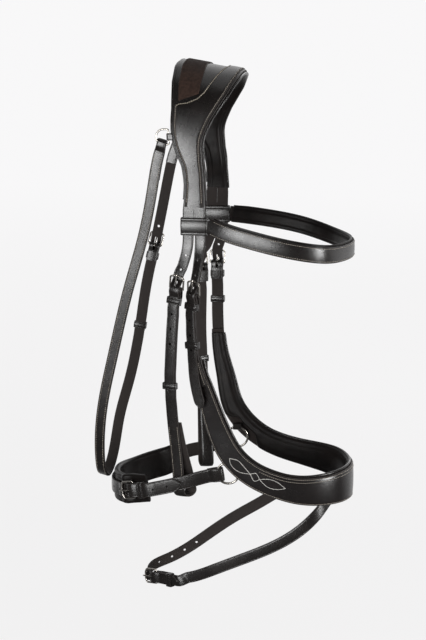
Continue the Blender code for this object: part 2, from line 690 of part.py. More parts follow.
def wire(name, points, normal, radius, closed=True):
    """A round wire along points; the normal is across the bends."""
    count = len(points)
    rings = []
    for i, centre in enumerate(points):
        before = points[i - 1] if closed or i > 0 else centre
        after = points[(i + 1) % count] if closed or i < count - 1 else centre
        heading = unit(after - before)
        sideways = unit(normal - np.dot(normal, heading) * heading)
        rings.append(round_section(centre, np.cross(heading, sideways), sideways, radius))
    return loft(name, rings, STEEL, closed=closed, smooth=True)


def cut(target, name, prisms):
    """Cut prisms out of an object. A prism is a list of floor points and the way up through it."""
    mesh_bm = bmesh.new()
    for floor, up in prisms:
        lower = [mesh_bm.verts.new(Vector(p)) for p in floor]
        upper = [mesh_bm.verts.new(Vector(p + up)) for p in floor]
        size = len(floor)
        for k in range(size):
            mesh_bm.faces.new((lower[k], lower[(k + 1) % size], upper[(k + 1) % size], upper[k]))
        mesh_bm.faces.new(lower[::-1])
        mesh_bm.faces.new(upper)
    cutter = add_object(name, mesh_bm, BLACK_LEATHER)
    cutter.hide_render = True
    cutter.display_type = "WIRE"
    modifier = target.modifiers.new(name, "BOOLEAN")
    modifier.operation = "DIFFERENCE"
    modifier.object = cutter


def slot_prism(route, s_from, s_to, n_low, n_high):
    """The hole for a tongue: from one length to another, with round ends, between two heights."""
    place, along, out, across = route.frame((s_from + s_to) / 2.0)
    base = place + out * n_low
    straight = abs(s_to - s_from) / 2.0 - TONGUE_SLOT_HALF
    outline = []
    for end in (1, -1):
        for k in range(5):
            angle = math.radians(-90 + 45 * k) + (0.0 if end > 0 else math.pi)
            ahead = end * straight + TONGUE_SLOT_HALF * math.cos(angle)
            outline.append((ahead, TONGUE_SLOT_HALF * math.sin(angle)))
    return [base + along * a + across * b for a, b in outline], out * (n_high - n_low)


def hole_prism(route, s, n_low, n_high):
    """A round punched hole."""
    place, along, out, across = route.frame(s)
    base = place + out * n_low
    angles = [math.pi * (k + 0.5) / 4.0 for k in range(8)]
    floor = [base + (along * math.cos(a) + across * math.sin(a)) * HOLE_RADIUS for a in angles]
    return floor, out * (n_high - n_low)


# Heights of the layers at a buckle, out from the middle of the strap
FOLD_RADIUS = BUCKLE_WIRE + GAP + LEATHER / 2.0
TAIL_HEIGHT = LEATHER + GAP
TAIL_OVER_FOLD = FOLD_RADIUS + LEATHER + GAP
TURN_BACK_HEIGHT = -(LEATHER + KEEPER_THICKNESS + 2.0 * KEEPER_CLEARANCE + GAP / 2.0)
TOP_BAR_HEIGHT = LEATHER / 2.0 + GAP + BUCKLE_WIRE
TONGUE_RING = BUCKLE_WIRE + TONGUE_CLEARANCE + TONGUE_RADIUS
TONGUE_TIP_HEIGHT = TOP_BAR_HEIGHT + BUCKLE_WIRE + TONGUE_CLEARANCE + TONGUE_RADIUS
TAIL_RISE_START = -BUCKLE_LENGTH + BUCKLE_WIRE + 2.0 * GAP
TAIL_RISE_END = -3.0 * GAP
TAIL_FALL_START = 3.0 * GAP
FOLD_FALL_END = KEEPER_LENGTH
TAIL_FALL_END = FOLD_FALL_END + 3.0 * GAP
FIXED_KEEPER_PLACE = TAIL_FALL_END + FIXED_KEEPER_SHARE * KEEPER_LENGTH


class Buckle:
    """A single-tongue buckle on a route. u is the length from its lower bar, positive on the strap
    that is turned round that bar and negative on the billet that comes in under the upper bar."""

    def __init__(self, route, s_low, sense, strap_half):
        self.route = route
        self.sense = sense
        self.strap_half = strap_half
        self.s_low = s_low

    def s(self, u):
        return self.s_low + self.sense * u

    def laid(self, stations):
        return [(self.s(u), n, w) for u, n, w in stations]

    def turned_end(self):
        """The strap's turned-back layer and the fold round the lower bar, ending level on the strap."""
        arc = []
        for k in range(7):
            angle = math.radians(-90 - 30 * k)
            arc.append((FOLD_RADIUS * math.cos(angle), FOLD_RADIUS * math.sin(angle), 0.0))
        back = ease(TURN_BACK_LENGTH * TURN_BACK_EASE_SHARE, 0.0, TURN_BACK_HEIGHT, -FOLD_RADIUS, 3)
        outer = ease(0.0, FOLD_FALL_END, FOLD_RADIUS, 0.0, 4)
        return self.laid(joined([(TURN_BACK_LENGTH, TURN_BACK_HEIGHT, 0.0)], back, arc, outer))

    def tail_over(self):
        """The billet from the upper bar, over the fold and down onto the strap."""
        rise = ease(TAIL_RISE_START, TAIL_RISE_END, 0.0, TAIL_OVER_FOLD, 7)
        fall = ease(TAIL_FALL_START, TAIL_FALL_END, TAIL_OVER_FOLD, TAIL_HEIGHT, 4)
        return self.laid(joined(rise, fall))

    def frame_at_low(self):
        """Rigid frame of the buckle: lower bar's middle, then towards the strap, out, and across."""
        place, along, out, across = self.route.frame(self.s_low)
        return place, along * self.sense, out, across

    def rigid(self, u, n, w):
        place, toward, out, across = self.frame_at_low()
        return place + toward * u + out * n + across * w

    def top_bar(self):
        """The hinge line where the billet bends into the tail."""
        return self.rigid(-BUCKLE_LENGTH, 0.0, 0.0)

    def build_frame(self, name):
        half = self.strap_half + BUCKLE_SIDE_CLEARANCE + BUCKLE_WIRE
        corner = 2.0 * BUCKLE_WIRE
        outline = []
        for w_share in (-0.5, 0.5):
            outline.append((0.0, w_share * (half - corner)))
        for k in range(3):
            angle = math.radians(45 * k)
            outline.append((-corner + corner * math.cos(angle), half - corner + corner * math.sin(angle)))
        for k in range(3):
            angle = math.radians(90 + 45 * k)
            outline.append((-BUCKLE_LENGTH + corner + corner * math.cos(angle),
                            half - corner + corner * math.sin(angle)))
        for w_share in (0.5, 0.0, -0.5):
            rise = BUCKLE_ARCH * (1.0 - (2.0 * w_share) ** 2 * BUCKLE_BOW_SHARE)
            outline.append((-BUCKLE_LENGTH - rise, w_share * (half - corner) * BUCKLE_SPREAD_SHARE))
        for k in range(3):
            angle = math.radians(180 + 45 * k)
            outline.append((-BUCKLE_LENGTH + corner + corner * math.cos(angle),
                            -half + corner + corner * math.sin(angle)))
        for k in range(3):
            angle = math.radians(270 + 45 * k)
            outline.append((-corner + corner * math.cos(angle), -half + corner + corner * math.sin(angle)))
        points = []
        for u, w in outline:
            height = TOP_BAR_HEIGHT * min(max(-u / BUCKLE_LENGTH, 0.0), 1.0)
            points.append(self.rigid(u, height, w))
        return wire(name, points, self.frame_at_low()[2], BUCKLE_WIRE)

    def build_tongue(self, name):
        points = []
        for degrees in (-150, -110, -70, -30, 10, 50, 85, 112):
            angle = math.radians(degrees)
            points.append(self.rigid(TONGUE_RING * math.cos(angle), TONGUE_RING * math.sin(angle), 0.0))
        tip_u = -BUCKLE_LENGTH - BUCKLE_ARCH - TONGUE_OVERHANG
        for share in (0.5, 0.9, 1.0):
            height = TONGUE_RING + (TONGUE_TIP_HEIGHT - TONGUE_RING) * min(share / 0.9, 1.0)
            points.append(self.rigid(tip_u * share, height, 0.0))
        return wire(name, points, self.frame_at_low()[3], TONGUE_RADIUS, closed=False)

    def fold_slot(self):
        """The slot in the fold that leaves the tongue free."""
        reach = FOLD_RADIUS + LEATHER
        return slot_prism(self.route, self.s(-reach), self.s(reach), TURN_BACK_HEIGHT - LEATHER,
                          FOLD_RADIUS + (LEATHER + GAP) / 2.0)

    def tail_slot(self):
        """The hole that the tongue is in, drawn out along the billet by its slant."""
        far, near = TAIL_SLOT_SHARES
        return slot_prism(self.route, self.s(-far * BUCKLE_LENGTH), self.s(-near * BUCKLE_LENGTH),
                          -2.0 * LEATHER, TAIL_OVER_FOLD + LEATHER)

    def hole_place(self, step):
        """Where a punched hole lies: whole pitches from the one that the tongue is in."""
        return self.s(HOLE_PITCH * step - HOLE_PLACE_SHARE * BUCKLE_LENGTH)

    def build_fixed_keeper(self, name):
        return keeper(name, self.route, self.s(FIXED_KEEPER_PLACE), self.strap_half + KEEPER_CLEARANCE,
                      -LEATHER / 2.0 - KEEPER_CLEARANCE, TAIL_HEIGHT + LEATHER / 2.0 + KEEPER_CLEARANCE,
                      KEEPER_LENGTH)

    def build_runner(self, name, s):
        return keeper(name, self.route, s, self.strap_half + RUNNER_CLEARANCE,
                      -LEATHER / 2.0 - RUNNER_CLEARANCE, TAIL_HEIGHT + LEATHER / 2.0 + RUNNER_CLEARANCE,
                      KEEPER_LENGTH)


def cushion_section(half_low, half_high, n_face, thickness):
    """Outline of a pad (w, n): flat against the leather, rolled edges, crowned inner side."""
    rows = []
    for share in CUSHION_SHARES:
        w = share * (half_high if share > 0.0 else half_low)
        depth = thickness * (1.0 - CUSHION_FALL_SHARE * abs(share) ** 3.0)
        if abs(share) == 1.0:
            depth = thickness * CUSHION_EDGE_SHARE
        rows.append((w, n_face - depth))
    rows.append((-half_low, n_face))
    rows.append((half_high, n_face))
    return rows


def thinned(share, over_share, thin_share):
    """Thickness near a pad's end: thin_share at the end, 1 from over_share on."""
    return thin_share + (1.0 - thin_share) * bent_weight(share / over_share)


def section_ring(route, s, outline):
    place, _, out, across = route.frame(s)
    return [place + across * w + out * n for w, n in outline]


def flat_outline(w_low, w_high, n_low, n_high):
    return ((w_low, n_low), (w_low, n_high), (w_high, n_high), (w_high, n_low))


headpiece_route = Route(HEADPIECE_SHARES, 1.0)
BILLET_SHIFT = (BILLET_WIDTH + BILLET_APART) / 2.0
routes = {
    ("cheek", "right"): Route(RIGHT_CHEEK_SHARES, -1.0, forward=-BILLET_SHIFT),
    ("cheek", "left"): Route(LEFT_CHEEK_SHARES, 1.0, forward=-BILLET_SHIFT),
    ("hanger", "right"): Route(RIGHT_HANGER_SHARES, -1.0, forward=BILLET_SHIFT),
    ("hanger", "left"): Route(LEFT_HANGER_SHARES, 1.0, forward=BILLET_SHIFT),
}
throat_route = Route(THROATLATCH_SHARES, -1.0)
flash_route = Route(FLASH_SHARES, -1.0, closed=True)

SIDES = ("right", "left")
STRAP_HALF = STRAP_WIDTH / 2.0
BILLET_HALF = BILLET_WIDTH / 2.0
buckle_shares = {
    ("cheek", "right"): CHEEK_BUCKLE_SHARE,
    ("cheek", "left"): CHEEK_BUCKLE_SHARE,
    ("hanger", "right"): RIGHT_NOSE_BUCKLE_SHARE,
    ("hanger", "left"): LEFT_NOSE_BUCKLE_SHARE,
}
runner_shares = {
    ("cheek", "right"): CHEEK_RUNNER_SHARE,
    ("cheek", "left"): CHEEK_RUNNER_SHARE,
    ("hanger", "right"): RIGHT_NOSE_RUNNER_SHARE,
    ("hanger", "left"): LEFT_NOSE_RUNNER_SHARE,
}
tail_shares = {
    ("cheek", "right"): CHEEK_TAIL_SHARE,
    ("cheek", "left"): CHEEK_TAIL_SHARE,
    ("hanger", "right"): RIGHT_NOSE_TAIL_SHARE,
    ("hanger", "left"): LEFT_NOSE_TAIL_SHARE,
}
BUCKLE_STRAIGHT_HALF = (BUCKLE_LENGTH + TURN_BACK_LENGTH) / 2.0
BUCKLE_STRAIGHT_MIDDLE = (TURN_BACK_LENGTH - BUCKLE_LENGTH) / 2.0
RUNNER_STRAIGHT_HALF = RUNNER_TRAVEL + RUNNER_ROOM_SHARE * KEEPER_LENGTH
buckles = {}
for key, route in routes.items():
    s_low = route.at_drop(buckle_shares[key])
    route.straighten(s_low + BUCKLE_STRAIGHT_MIDDLE, BUCKLE_STRAIGHT_HALF)
    route.straighten(route.at_drop(runner_shares[key]), RUNNER_STRAIGHT_HALF)
    buckles[key] = Buckle(route, route.at_drop(buckle_shares[key]), 1.0, STRAP_HALF)

throat_low = throat_route.at_drop(THROAT_BUCKLE_SHARE, from_end=True)
throat_route.straighten(throat_low - BUCKLE_STRAIGHT_MIDDLE, BUCKLE_STRAIGHT_HALF)
throat_route.straighten(throat_route.at_drop(THROAT_RUNNER_SHARE, from_end=True), RUNNER_STRAIGHT_HALF)
throat_buckle = Buckle(throat_route, throat_route.at_drop(THROAT_BUCKLE_SHARE, from_end=True), -1.0,
                       THROAT_WIDTH / 2.0)
flash_low = flash_route.at_side(FLASH_BUCKLE_SHARE)
flash_route.straighten(flash_low + BUCKLE_STRAIGHT_MIDDLE + KEEPER_LENGTH, BUCKLE_STRAIGHT_HALF + KEEPER_LENGTH)
flash_buckle = Buckle(flash_route, flash_route.at_side(FLASH_BUCKLE_SHARE), 1.0, FLASH_WIDTH / 2.0)


def browband_loop_frame(side):
    """Middle of a browband loop, forward, outward and up, and its half width round both billets."""
    share = RIGHT_BROWBAND_END_SHARE if side == "right" else LEFT_BROWBAND_END_SHARE
    rear, front = [routes[(kind, side)].frame(routes[(kind, side)].at_drop(share)) for kind in ("cheek", "hanger")]
    forward = unit(front[0] - rear[0])
    outward = rear[2] + front[2]
    outward = unit(outward - np.dot(outward, forward) * forward)
    wide = float(np.dot(front[0] - rear[0], forward)) / 2.0 + BILLET_HALF + BROWBAND_LOOP_CLEARANCE
    return (rear[0] + front[0]) / 2.0, forward, outward, np.array([0.0, 0.0, 1.0]), wide


def browband_end(side):
    """A row for the browband's end, just ahead of its loop."""
    middle, forward, outward, _, wide = browband_loop_frame(side)
    slope = RIGHT_BROWBAND_SLOPE_SHARE if side == "right" else LEFT_BROWBAND_SLOPE_SHARE
    lean = BROWBAND_HEIGHT / 2.0 * slope + LEATHER / 2.0 * BROWBAND_TURN_SHARE
    place = middle + forward * (wide + BROWBAND_LOOP_THICKNESS + GAP + lean) + outward * BROWBAND_END_OUTSET
    return [(place, outward)]


browband_route = Route(BROWBAND_SHARES, -1.0, lead=browband_end("right"), trail=browband_end("left"))


def noseband_top(side):
    """Rows for the noseband's top on one side, just inside its hanger."""
    route = routes[("hanger", side)]
    rows = []
    for share in NOSEBAND_TOP_SHARES:
        place, _, out, _ = route.frame(route.at_drop(share))
        rows.append((place - out * (LEATHER + 2.0 * GAP), out))
    return rows


noseband_route = Route(NOSEBAND_SHARES, -1.0, lead=noseband_top("right"), trail=noseband_top("left")[::-1])


def noseband_half(s):
    return NOSEBAND_HEIGHT / 2.0 * table(NOSEBAND_HEIGHT_SHARES, s / noseband_route.length)


def nose_ring_place(side):
    return noseband_route.length * (RIGHT_NOSE_RING_SHARE if side == "right" else LEFT_NOSE_RING_SHARE)


RING_DEPTH = LEATHER / 2.0 + THIN_LEATHER + NOSE_RING_CLEARANCE + NOSE_RING_WIRE


def nose_ring_axis():
    """The line through both rings, from right to left."""
    return unit(nose_ring_middle("left") - nose_ring_middle("right"))


def nose_ring_middle(side):
    s = nose_ring_place(side)
    return noseband_route.point(s, -RING_DEPTH, -noseband_half(s) - NOSE_RING_OUTSET)


def ring_directions():
    """Axis of the noseband rings, with forward and up in the plane that both lie in."""
    axis = nose_ring_axis()
    up = unit(np.array([0.0, 0.0, 1.0]) - axis[2] * axis)
    return axis, np.cross(axis, up), up


def chin_start(side):
    """Rows that carry the chin strap straight out of a ring, level with the ring's wire."""
    axis, forward, up = ring_directions()
    sign = -1.0 if side == "right" else 1.0
    middle = nose_ring_middle(side)
    rearward = unit(-forward - up * CHIN_START_SLOPE_SHARE)
    face = axis * sign
    return [(middle + rearward * (share * CHIN_START_LENGTH), face) for share in (0.0, 0.5, 1.0)]


chin_route = Route(CHIN_SHARES, 1.0, lead=chin_start("right"), trail=chin_start("left")[::-1])
chin_low = chin_route.length * CHIN_BUCKLE_SHARE
chin_route.straighten(chin_low - BUCKLE_STRAIGHT_MIDDLE, BUCKLE_STRAIGHT_HALF)
chin_buckle = Buckle(chin_route, chin_route.length * CHIN_BUCKLE_SHARE, -1.0, CHIN_WIDTH / 2.0)


# Headpiece
def headpiece_half(share_to_poll):
    return HEADPIECE_WIDTH_POLL / 2.0 * table(HEADPIECE_WIDTH_SHARES, share_to_poll)


def to_poll(s):
    """0 at either end of the headpiece, 1 at the poll."""
    half = headpiece_route.length / 2.0
    return 1.0 - abs(s - half) / half


def headpiece_stations(end_share):
    """Stations between the two ends, the given share of the half length away from them."""
    half = headpiece_route.length / 2.0
    start = half * end_share
    extra = [half * share for share, _ in FACING_REAR_SHARES[1:-1]]
    extra += [headpiece_route.length - s for s in extra]
    return [s for s, _, _ in run(headpiece_route, start, headpiece_route.length - start, extra=extra)]


def build_headpiece():
    """The main leather: one piece over the poll that a slit at each end parts into two billets."""
    half_leather = LEATHER / 2.0
    half_slit = SLIT_WIDTH / 2.0
    mesh_bm = bmesh.new()
    layers = []
    for s in headpiece_stations(0.0):
        half = headpiece_half(to_poll(s))
        outline = (
            (-half, -half_leather), (-half, half_leather), (-half_slit, half_leather), (half_slit, half_leather),
            (half, half_leather), (half, -half_leather), (half_slit, -half_leather), (-half_slit, -half_leather),
        )
        layers.append([mesh_bm.verts.new(Vector(p)) for p in section_ring(headpiece_route, s, outline)])
    for here, there in zip(layers[:-1], layers[1:]):
        for k in range(8):
            mesh_bm.faces.new((here[k], here[(k + 1) % 8], there[(k + 1) % 8], there[k]))
    for side, ring in (("right", layers[0]), ("left", layers[-1])):
        mesh_bm.faces.new((ring[2], ring[3], ring[6], ring[7]))
        for kind, corners in (("cheek", (0, 1, 2, 7)), ("hanger", (6, 3, 4, 5))):
            grow_billet(mesh_bm, kind, side, [ring[k] for k in corners])
    made = add_object("headpiece", mesh_bm, BLACK_LEATHER)
    holes = []
    for (kind, side), buckle in buckles.items():
        for step in (1, 2):
            holes.append(hole_prism(buckle.route, buckle.hole_place(-step), -CUT_OVERRUN, CUT_OVERRUN))
    cut(made, "headpiece_holes", holes)


def grow_billet(mesh_bm, kind, side, corners):
    """Carry one half of the slit end on as a billet, down to the upper bar of its buckle."""
    buckle = buckles[(kind, side)]
    route = buckle.route
    split = NOSEBAND_SPLIT if kind == "hanger" else SWING_SPLIT
    end = buckle.s(-BUCKLE_LENGTH) - split
    half = LEATHER / 2.0
    previous = corners
    for s, _, _ in run(route, STATION_MIN, end):
        outline = ((-BILLET_HALF, -half), (-BILLET_HALF, half), (BILLET_HALF, half), (BILLET_HALF, -half))
        ring = [mesh_bm.verts.new(Vector(p)) for p in section_ring(route, s, outline)]
        for k in range(4):
            mesh_bm.faces.new((previous[k], previous[(k + 1) % 4], ring[(k + 1) % 4], ring[k]))
        previous = ring
    mesh_bm.faces.new(previous)


def build_headpiece_layers():
    """Padding under the leather, and the facing and the elastic on it."""
    inner = -LEATHER / 2.0 - GAP
    rings = []
    for s in headpiece_stations(PAD_END_SHARE):
        share = to_poll(s)
        swell = thinned(share - PAD_END_SHARE, HEADPIECE_THIN_LENGTH_SHARE, HEADPIECE_THIN_SHARE)
        half = headpiece_half(share) + HEADPIECE_PAD_ROLL * swell
        rear = headpiece_half(share) + HEADPIECE_PAD_ROLL * swell * table(REAR_ROLL_SHARES, share)
        outline = cushion_section(rear, half, inner, HEADPIECE_PAD_THICKNESS * swell)
        rings.append(section_ring(headpiece_route, s, outline))
    loft("headpiece_padding", rings, SOFT_LEATHER, smooth=True)
    low = LEATHER / 2.0 + GAP
    high = low + THIN_LEATHER
    rings = []
    for s in headpiece_stations(FACING_END_SHARE):
        share = to_poll(s)
        half = headpiece_half(share) - FACING_MARGIN
        rear = half * table(FACING_REAR_SHARES, share)
        rings.append(section_ring(headpiece_route, s, flat_outline(rear, half, low, high)))
    loft("headpiece_facing", rings, BLACK_LEATHER)
    rings = []
    for s in headpiece_stations(ELASTIC_END_SHARE):
        half = headpiece_half(to_poll(s))
        rear = ELASTIC_MARGIN - half
        front = half * table(ELASTIC_FRONT_SHARES, to_poll(s))
        rings.append(section_ring(headpiece_route, s, flat_outline(rear, front, low, high)))
    loft("headpiece_elastic", rings, BROWN_ELASTIC)


def throat_ring_frame(side):
    """Middle of a throat ring's arc, with the way to its bar, the way along the bar, and outward."""
    sign = -1.0 if side == "right" else 1.0
    fold = throat_route.frame(0.0 if side == "right" else throat_route.length)[0]
    tilt = THROAT_RING_TILT
    forward = np.array([math.cos(tilt), 0.0, math.sin(tilt)])
    up = np.array([-math.sin(tilt), 0.0, math.cos(tilt)])
    angle = RIGHT_THROAT_FOLD_ANGLE if side == "right" else LEFT_THROAT_FOLD_ANGLE
    middle = fold - (forward * math.cos(angle) + up * math.sin(angle)) * THROAT_RING_RADIUS
    return middle, forward, up, np.array([0.0, sign, 0.0])


def tab_rings(bar, forward, up, outward, half, wire_radius, ends, lead):
    """A thin tab folded round a straight bar; ends gives how far forward it reaches at top and bottom."""
    fold = wire_radius + GAP + THIN_LEATHER / 2.0
    path = [(None, lead + fold)]
    for k in range(7):
        angle = math.radians(90 + 30 * k)
        path.append((fold * math.cos(angle), fold * math.sin(angle)))
    path.append((None, lead - fold))
    rings = []
    for i, (f, o) in enumerate(path):
        corners = []
        for level, reach in ((1.0, ends[0]), (-1.0, ends[1])):
            here = reach if f is None else f
            ahead = path[min(i + 1, len(path) - 1)]
            behind = path[max(i - 1, 0)]
            run_on = (reach if ahead[0] is None else ahead[0]) - (reach if behind[0] is None else behind[0])
            heading = unit(np.array([run_on, ahead[1] - behind[1]]))
            over = np.array([-heading[1], heading[0]]) * THIN_LEATHER / 2.0
            sides = (1.0, -1.0) if level > 0.0 else (-1.0, 1.0)
            for k in sides:
                corners.append(bar + forward * (here + over[0] * k) + outward * (o + over[1] * k) + up * (half * level))
        rings.append(corners)
    return rings


def build_throat_ring(side):
    """A D-ring and the leather tab that holds its straight bar to the headpiece's rear edge."""
    middle, forward, up, outward = throat_ring_frame(side)
    radius = THROAT_RING_RADIUS
    points = []
    for k in range(13):
        angle = math.radians(90 + 15 * k)
        points.append(middle + (forward * math.cos(angle) + up * math.sin(angle)) * radius)
    for reach_share, level_share in THROAT_RING_BAR_SHARES:
        points.append(middle + forward * (THROAT_RING_SETBACK * reach_share) + up * (level_share * radius))
    wire(side + "_throat_ring", points, outward, THROAT_RING_WIRE)
    bar = middle + forward * THROAT_RING_SETBACK
    ends = []
    for level in (1.0, -1.0):
        corner = bar + up * (THROAT_RING_TAB_HALF * level)
        probes = [corner + forward * (share * THROAT_RING_RADIUS) for share in THROAT_TAB_PROBE_SHARES]
        ends.append(min(pad_edge_reach(side, probe[2], corner, forward) for probe in probes))
    lead = float(np.dot(pad_edge(side, bar[2]) - bar, outward)) * THROAT_TAB_LEAD_SHARE
    rings = tab_rings(bar, forward, up, outward, THROAT_RING_TAB_HALF, THROAT_RING_WIRE, ends, lead)
    loft(side + "_throat_ring_tab", rings, BLACK_LEATHER)


def pad_edge(side, height):
    """The rear edge of the headpiece and its padding at a height."""
    s = nearest_headpiece(side, height)
    place, _, _, across = headpiece_route.frame(s)
    roll = HEADPIECE_PAD_ROLL * table(REAR_ROLL_SHARES, to_poll(s))
    return place - across * (headpiece_half(to_poll(s)) + roll)


def pad_edge_reach(side, height, corner, forward):
    """How far forward of a corner the padding's edge lies, at a height."""
    return float(np.dot(pad_edge(side, height) - corner, forward)) - GAP - THIN_LEATHER / 2.0


def nearest_headpiece(side, height):
    """Length along the headpiece at which one side passes a height."""
    order = headpiece_route.places[:, 2]
    half = len(order) // 2
    if side == "right":
        index = int(np.argmin(np.abs(order[:half] - height)))
    else:
        index = half + int(np.argmin(np.abs(order[half:] - height)))
    return float(headpiece_route.lengths[index])


# Cheekpieces and the noseband's hangers
def build_buckled_strap(kind, side, strap_end, strap_name):
    """What a cheekpiece and a hanger share: buckle, keepers, billet tail and the turned strap top."""
    key = (kind, side)
    buckle = buckles[key]
    route = buckle.route
    prefix = side + ("_cheek" if kind == "cheek" else "_noseband")
    split = NOSEBAND_SPLIT if kind == "hanger" else SWING_SPLIT
    buckle.build_frame(prefix + "_buckle")
    buckle.build_tongue(prefix + "_tongue")
    buckle.build_fixed_keeper(prefix + "_keeper")
    buckle.build_runner(prefix + "_runner", route.at_drop(runner_shares[key]))
    tail_end = route.at_drop(tail_shares[key])
    over = [(buckle.s(-BUCKLE_LENGTH) + split, 0.0, 0.0)] + buckle.tail_over()
    rest = run(route, buckle.s(TAIL_FALL_END), tail_end, TAIL_HEIGHT, extra=tip_places(tail_end, -1.0))
    drift_from = route.at_drop(runner_shares[key]) + RUNNER_TRAVEL
    drift = TAIL_DRIFT if prefix == "right_noseband" else 0.0
    away = [bent_weight((s - drift_from) / (tail_end - drift_from)) for s, _, _ in rest]
    rest = [(s, n + LEATHER * share * drift / TAIL_DRIFT, -drift * share) for (s, n, _), share in zip(rest, away)]
    path = joined(over, rest)
    halves = [tip_width(s, tail_end, BILLET_HALF) for s, _, _ in path]
    tail = strap(prefix + "_billet_tail", route, path, halves)
    holes = [buckle.tail_slot()]
    for step in (2, 3, 4):
        s = buckle.hole_place(step)
        if s < tail_end - TIP_LENGTH:
            holes.append(hole_prism(route, s, TAIL_HEIGHT - CUT_OVERRUN, TAIL_HEIGHT + CUT_OVERRUN))
    cut(tail, prefix + "_tail_holes", holes)
    path = joined(buckle.turned_end(), strap_end)
    made = strap(strap_name, route, path, STRAP_HALF)
    cut(made, strap_name + "_slot", [buckle.fold_slot()])


def build_cheekpiece(side):
    """A cheek strap from its buckle down to the bit loop and back up inside itself."""
    buckle = buckles[("cheek", side)]
    route = buckle.route
    near = side == "right"
    bottom = route.at_drop(RIGHT_BIT_LOOP_SHARE if near else LEFT_BIT_LOOP_SHARE) - BIT_LOOP_RADIUS
    skew = RIGHT_RETURN_SKEW if near else LEFT_RETURN_SKEW
    down = run(route, buckle.s(FOLD_FALL_END), bottom)
    bend = []
    for degrees in BIT_BEND_DEGREES:
        angle = math.radians(degrees)
        s = bottom + BIT_LOOP_RADIUS * math.sin(angle)
        n = -BIT_LOOP_RADIUS * (1.0 - math.cos(angle))
        bend.append((s, n, skew * degrees / 180))
    back = []
    for i in range(1, 9):
        share = i / 8
        merge = bent_weight(share / BIT_RETURN_MERGE_SHARE)
        n = -2.0 * BIT_LOOP_RADIUS * (1.0 - merge) - (LEATHER + GAP) * merge
        w = skew * (1.0 - BIT_RETURN_SKEW_SHARE * share)
        back.append((bottom - BIT_RETURN_LENGTH * share, n, w))
    build_buckled_strap("cheek", side, joined(down, bend, back), side + "_cheekpiece")


def build_hanger(side):
    """A plain strap from the noseband buckle to the top of the noseband."""
    buckle = buckles[("hanger", side)]
    foot = buckle.route.at_drop(HANGER_FOOT_SHARE)
    down = run(buckle.route, buckle.s(FOLD_FALL_END), foot)
    build_buckled_strap("hanger", side, down, side + "_noseband_hanger")


# Noseband
def build_noseband():
    """The wide outer leather and the padding inside it, which leaves room for the ring tabs."""
    rings = []
    pad_rings = []
    half = LEATHER / 2.0
    clear = NOSE_RING_RADIUS + NOSE_RING_WIRE - NOSE_RING_OUTSET + NOSE_RING_TAB_LENGTH + GAP
    stations = [s for s, _, _ in run(noseband_route, 0.0, noseband_route.length)]
    for s in stations:
        tall = noseband_half(s)
        rings.append(section_ring(noseband_route, s, strap_section(tall)))
    for s in stations[1:-1]:
        tall = noseband_half(s)
        away = min(abs(s - nose_ring_place(side)) for side in SIDES)
        notch = 1.0 - bent_weight((away - NOSE_RING_RADIUS) / NOSE_RING_RADIUS)
        end_share = min(s, noseband_route.length - s) / noseband_route.length
        swell = thinned(end_share, NOSEBAND_THIN_LENGTH_SHARE, NOSEBAND_THIN_SHARE)
        low = tall - clear * notch
        outline = cushion_section(low, tall + NOSEBAND_PAD_ROLL, -half - 2.0 * GAP, NOSEBAND_PAD_THICKNESS * swell)
        pad_rings.append(section_ring(noseband_route, s, outline))
    loft("noseband", rings, BLACK_LEATHER)
    loft("noseband_padding", pad_rings, SOFT_LEATHER, smooth=True)


def build_nose_ring(side):
    """A round ring and the tab inside the noseband's lower edge that holds it."""
    middle = nose_ring_middle(side)
    axis, forward, up = ring_directions()
    sign = -1.0 if side == "right" else 1.0
    points = []
    for k in range(20):
        angle = 2.0 * math.pi * k / 20
        points.append(middle + (forward * math.cos(angle) + up * math.sin(angle)) * NOSE_RING_RADIUS)
    wire(side + "_noseband_ring", points, axis, NOSE_RING_WIRE)
    sink = NOSE_RING_TAB_HALF ** 2 / (2.0 * NOSE_RING_RADIUS)
    bar = middle + up * (NOSE_RING_RADIUS - sink)
    reach = sink + NOSE_RING_WIRE + NOSE_RING_TAB_LENGTH
    rings = tab_rings(bar, up, forward, axis * sign, NOSE_RING_TAB_HALF, NOSE_RING_WIRE, (reach, reach), 0.0)
    loft(side + "_noseband_ring_tab", rings, BLACK_LEATHER)


def build_flash_loop():
    """The loop inside the front of the noseband that the flash strap runs through."""
    half = FLASH_WIDTH / 2.0
    low_room = FLASH_LOOP_FOOTROOM
    tall = half + (FLASH_LOOP_HEADROOM + low_room) / 2.0
    keeper("flash_loop", flash_route, flash_route.length * FLASH_LOOP_SHARE, tall, -FLASH_LOOP_HALF_GAP,
           FLASH_LOOP_HALF_GAP, FLASH_LOOP_LENGTH, FLASH_LOOP_THICKNESS,
           w_middle=(FLASH_LOOP_HEADROOM - low_room) / 2.0)


# Browband
def build_browband():
    """The padded band over the forehead and the loops that carry it on the billets."""
    half = LEATHER / 2.0
    tall = BROWBAND_HEIGHT / 2.0
    stations = [s for s, _, _ in run(browband_route, 0.0, browband_route.length)]
    rings = [section_ring(browband_route, s, strap_section(tall)) for s in stations]
    loft("browband", rings, BLACK_LEATHER)
    rings = []
    for s, _, _ in run(browband_route, BROWBAND_PAD_INSET, browband_route.length - BROWBAND_PAD_INSET):
        outline = cushion_section(tall - GAP, tall - GAP, -half - GAP, BROWBAND_PAD_THICKNESS)
        rings.append(section_ring(browband_route, s, outline))
    loft("browband_padding", rings, SOFT_LEATHER, smooth=True)
    for side in SIDES:
        build_browband_loop(side)


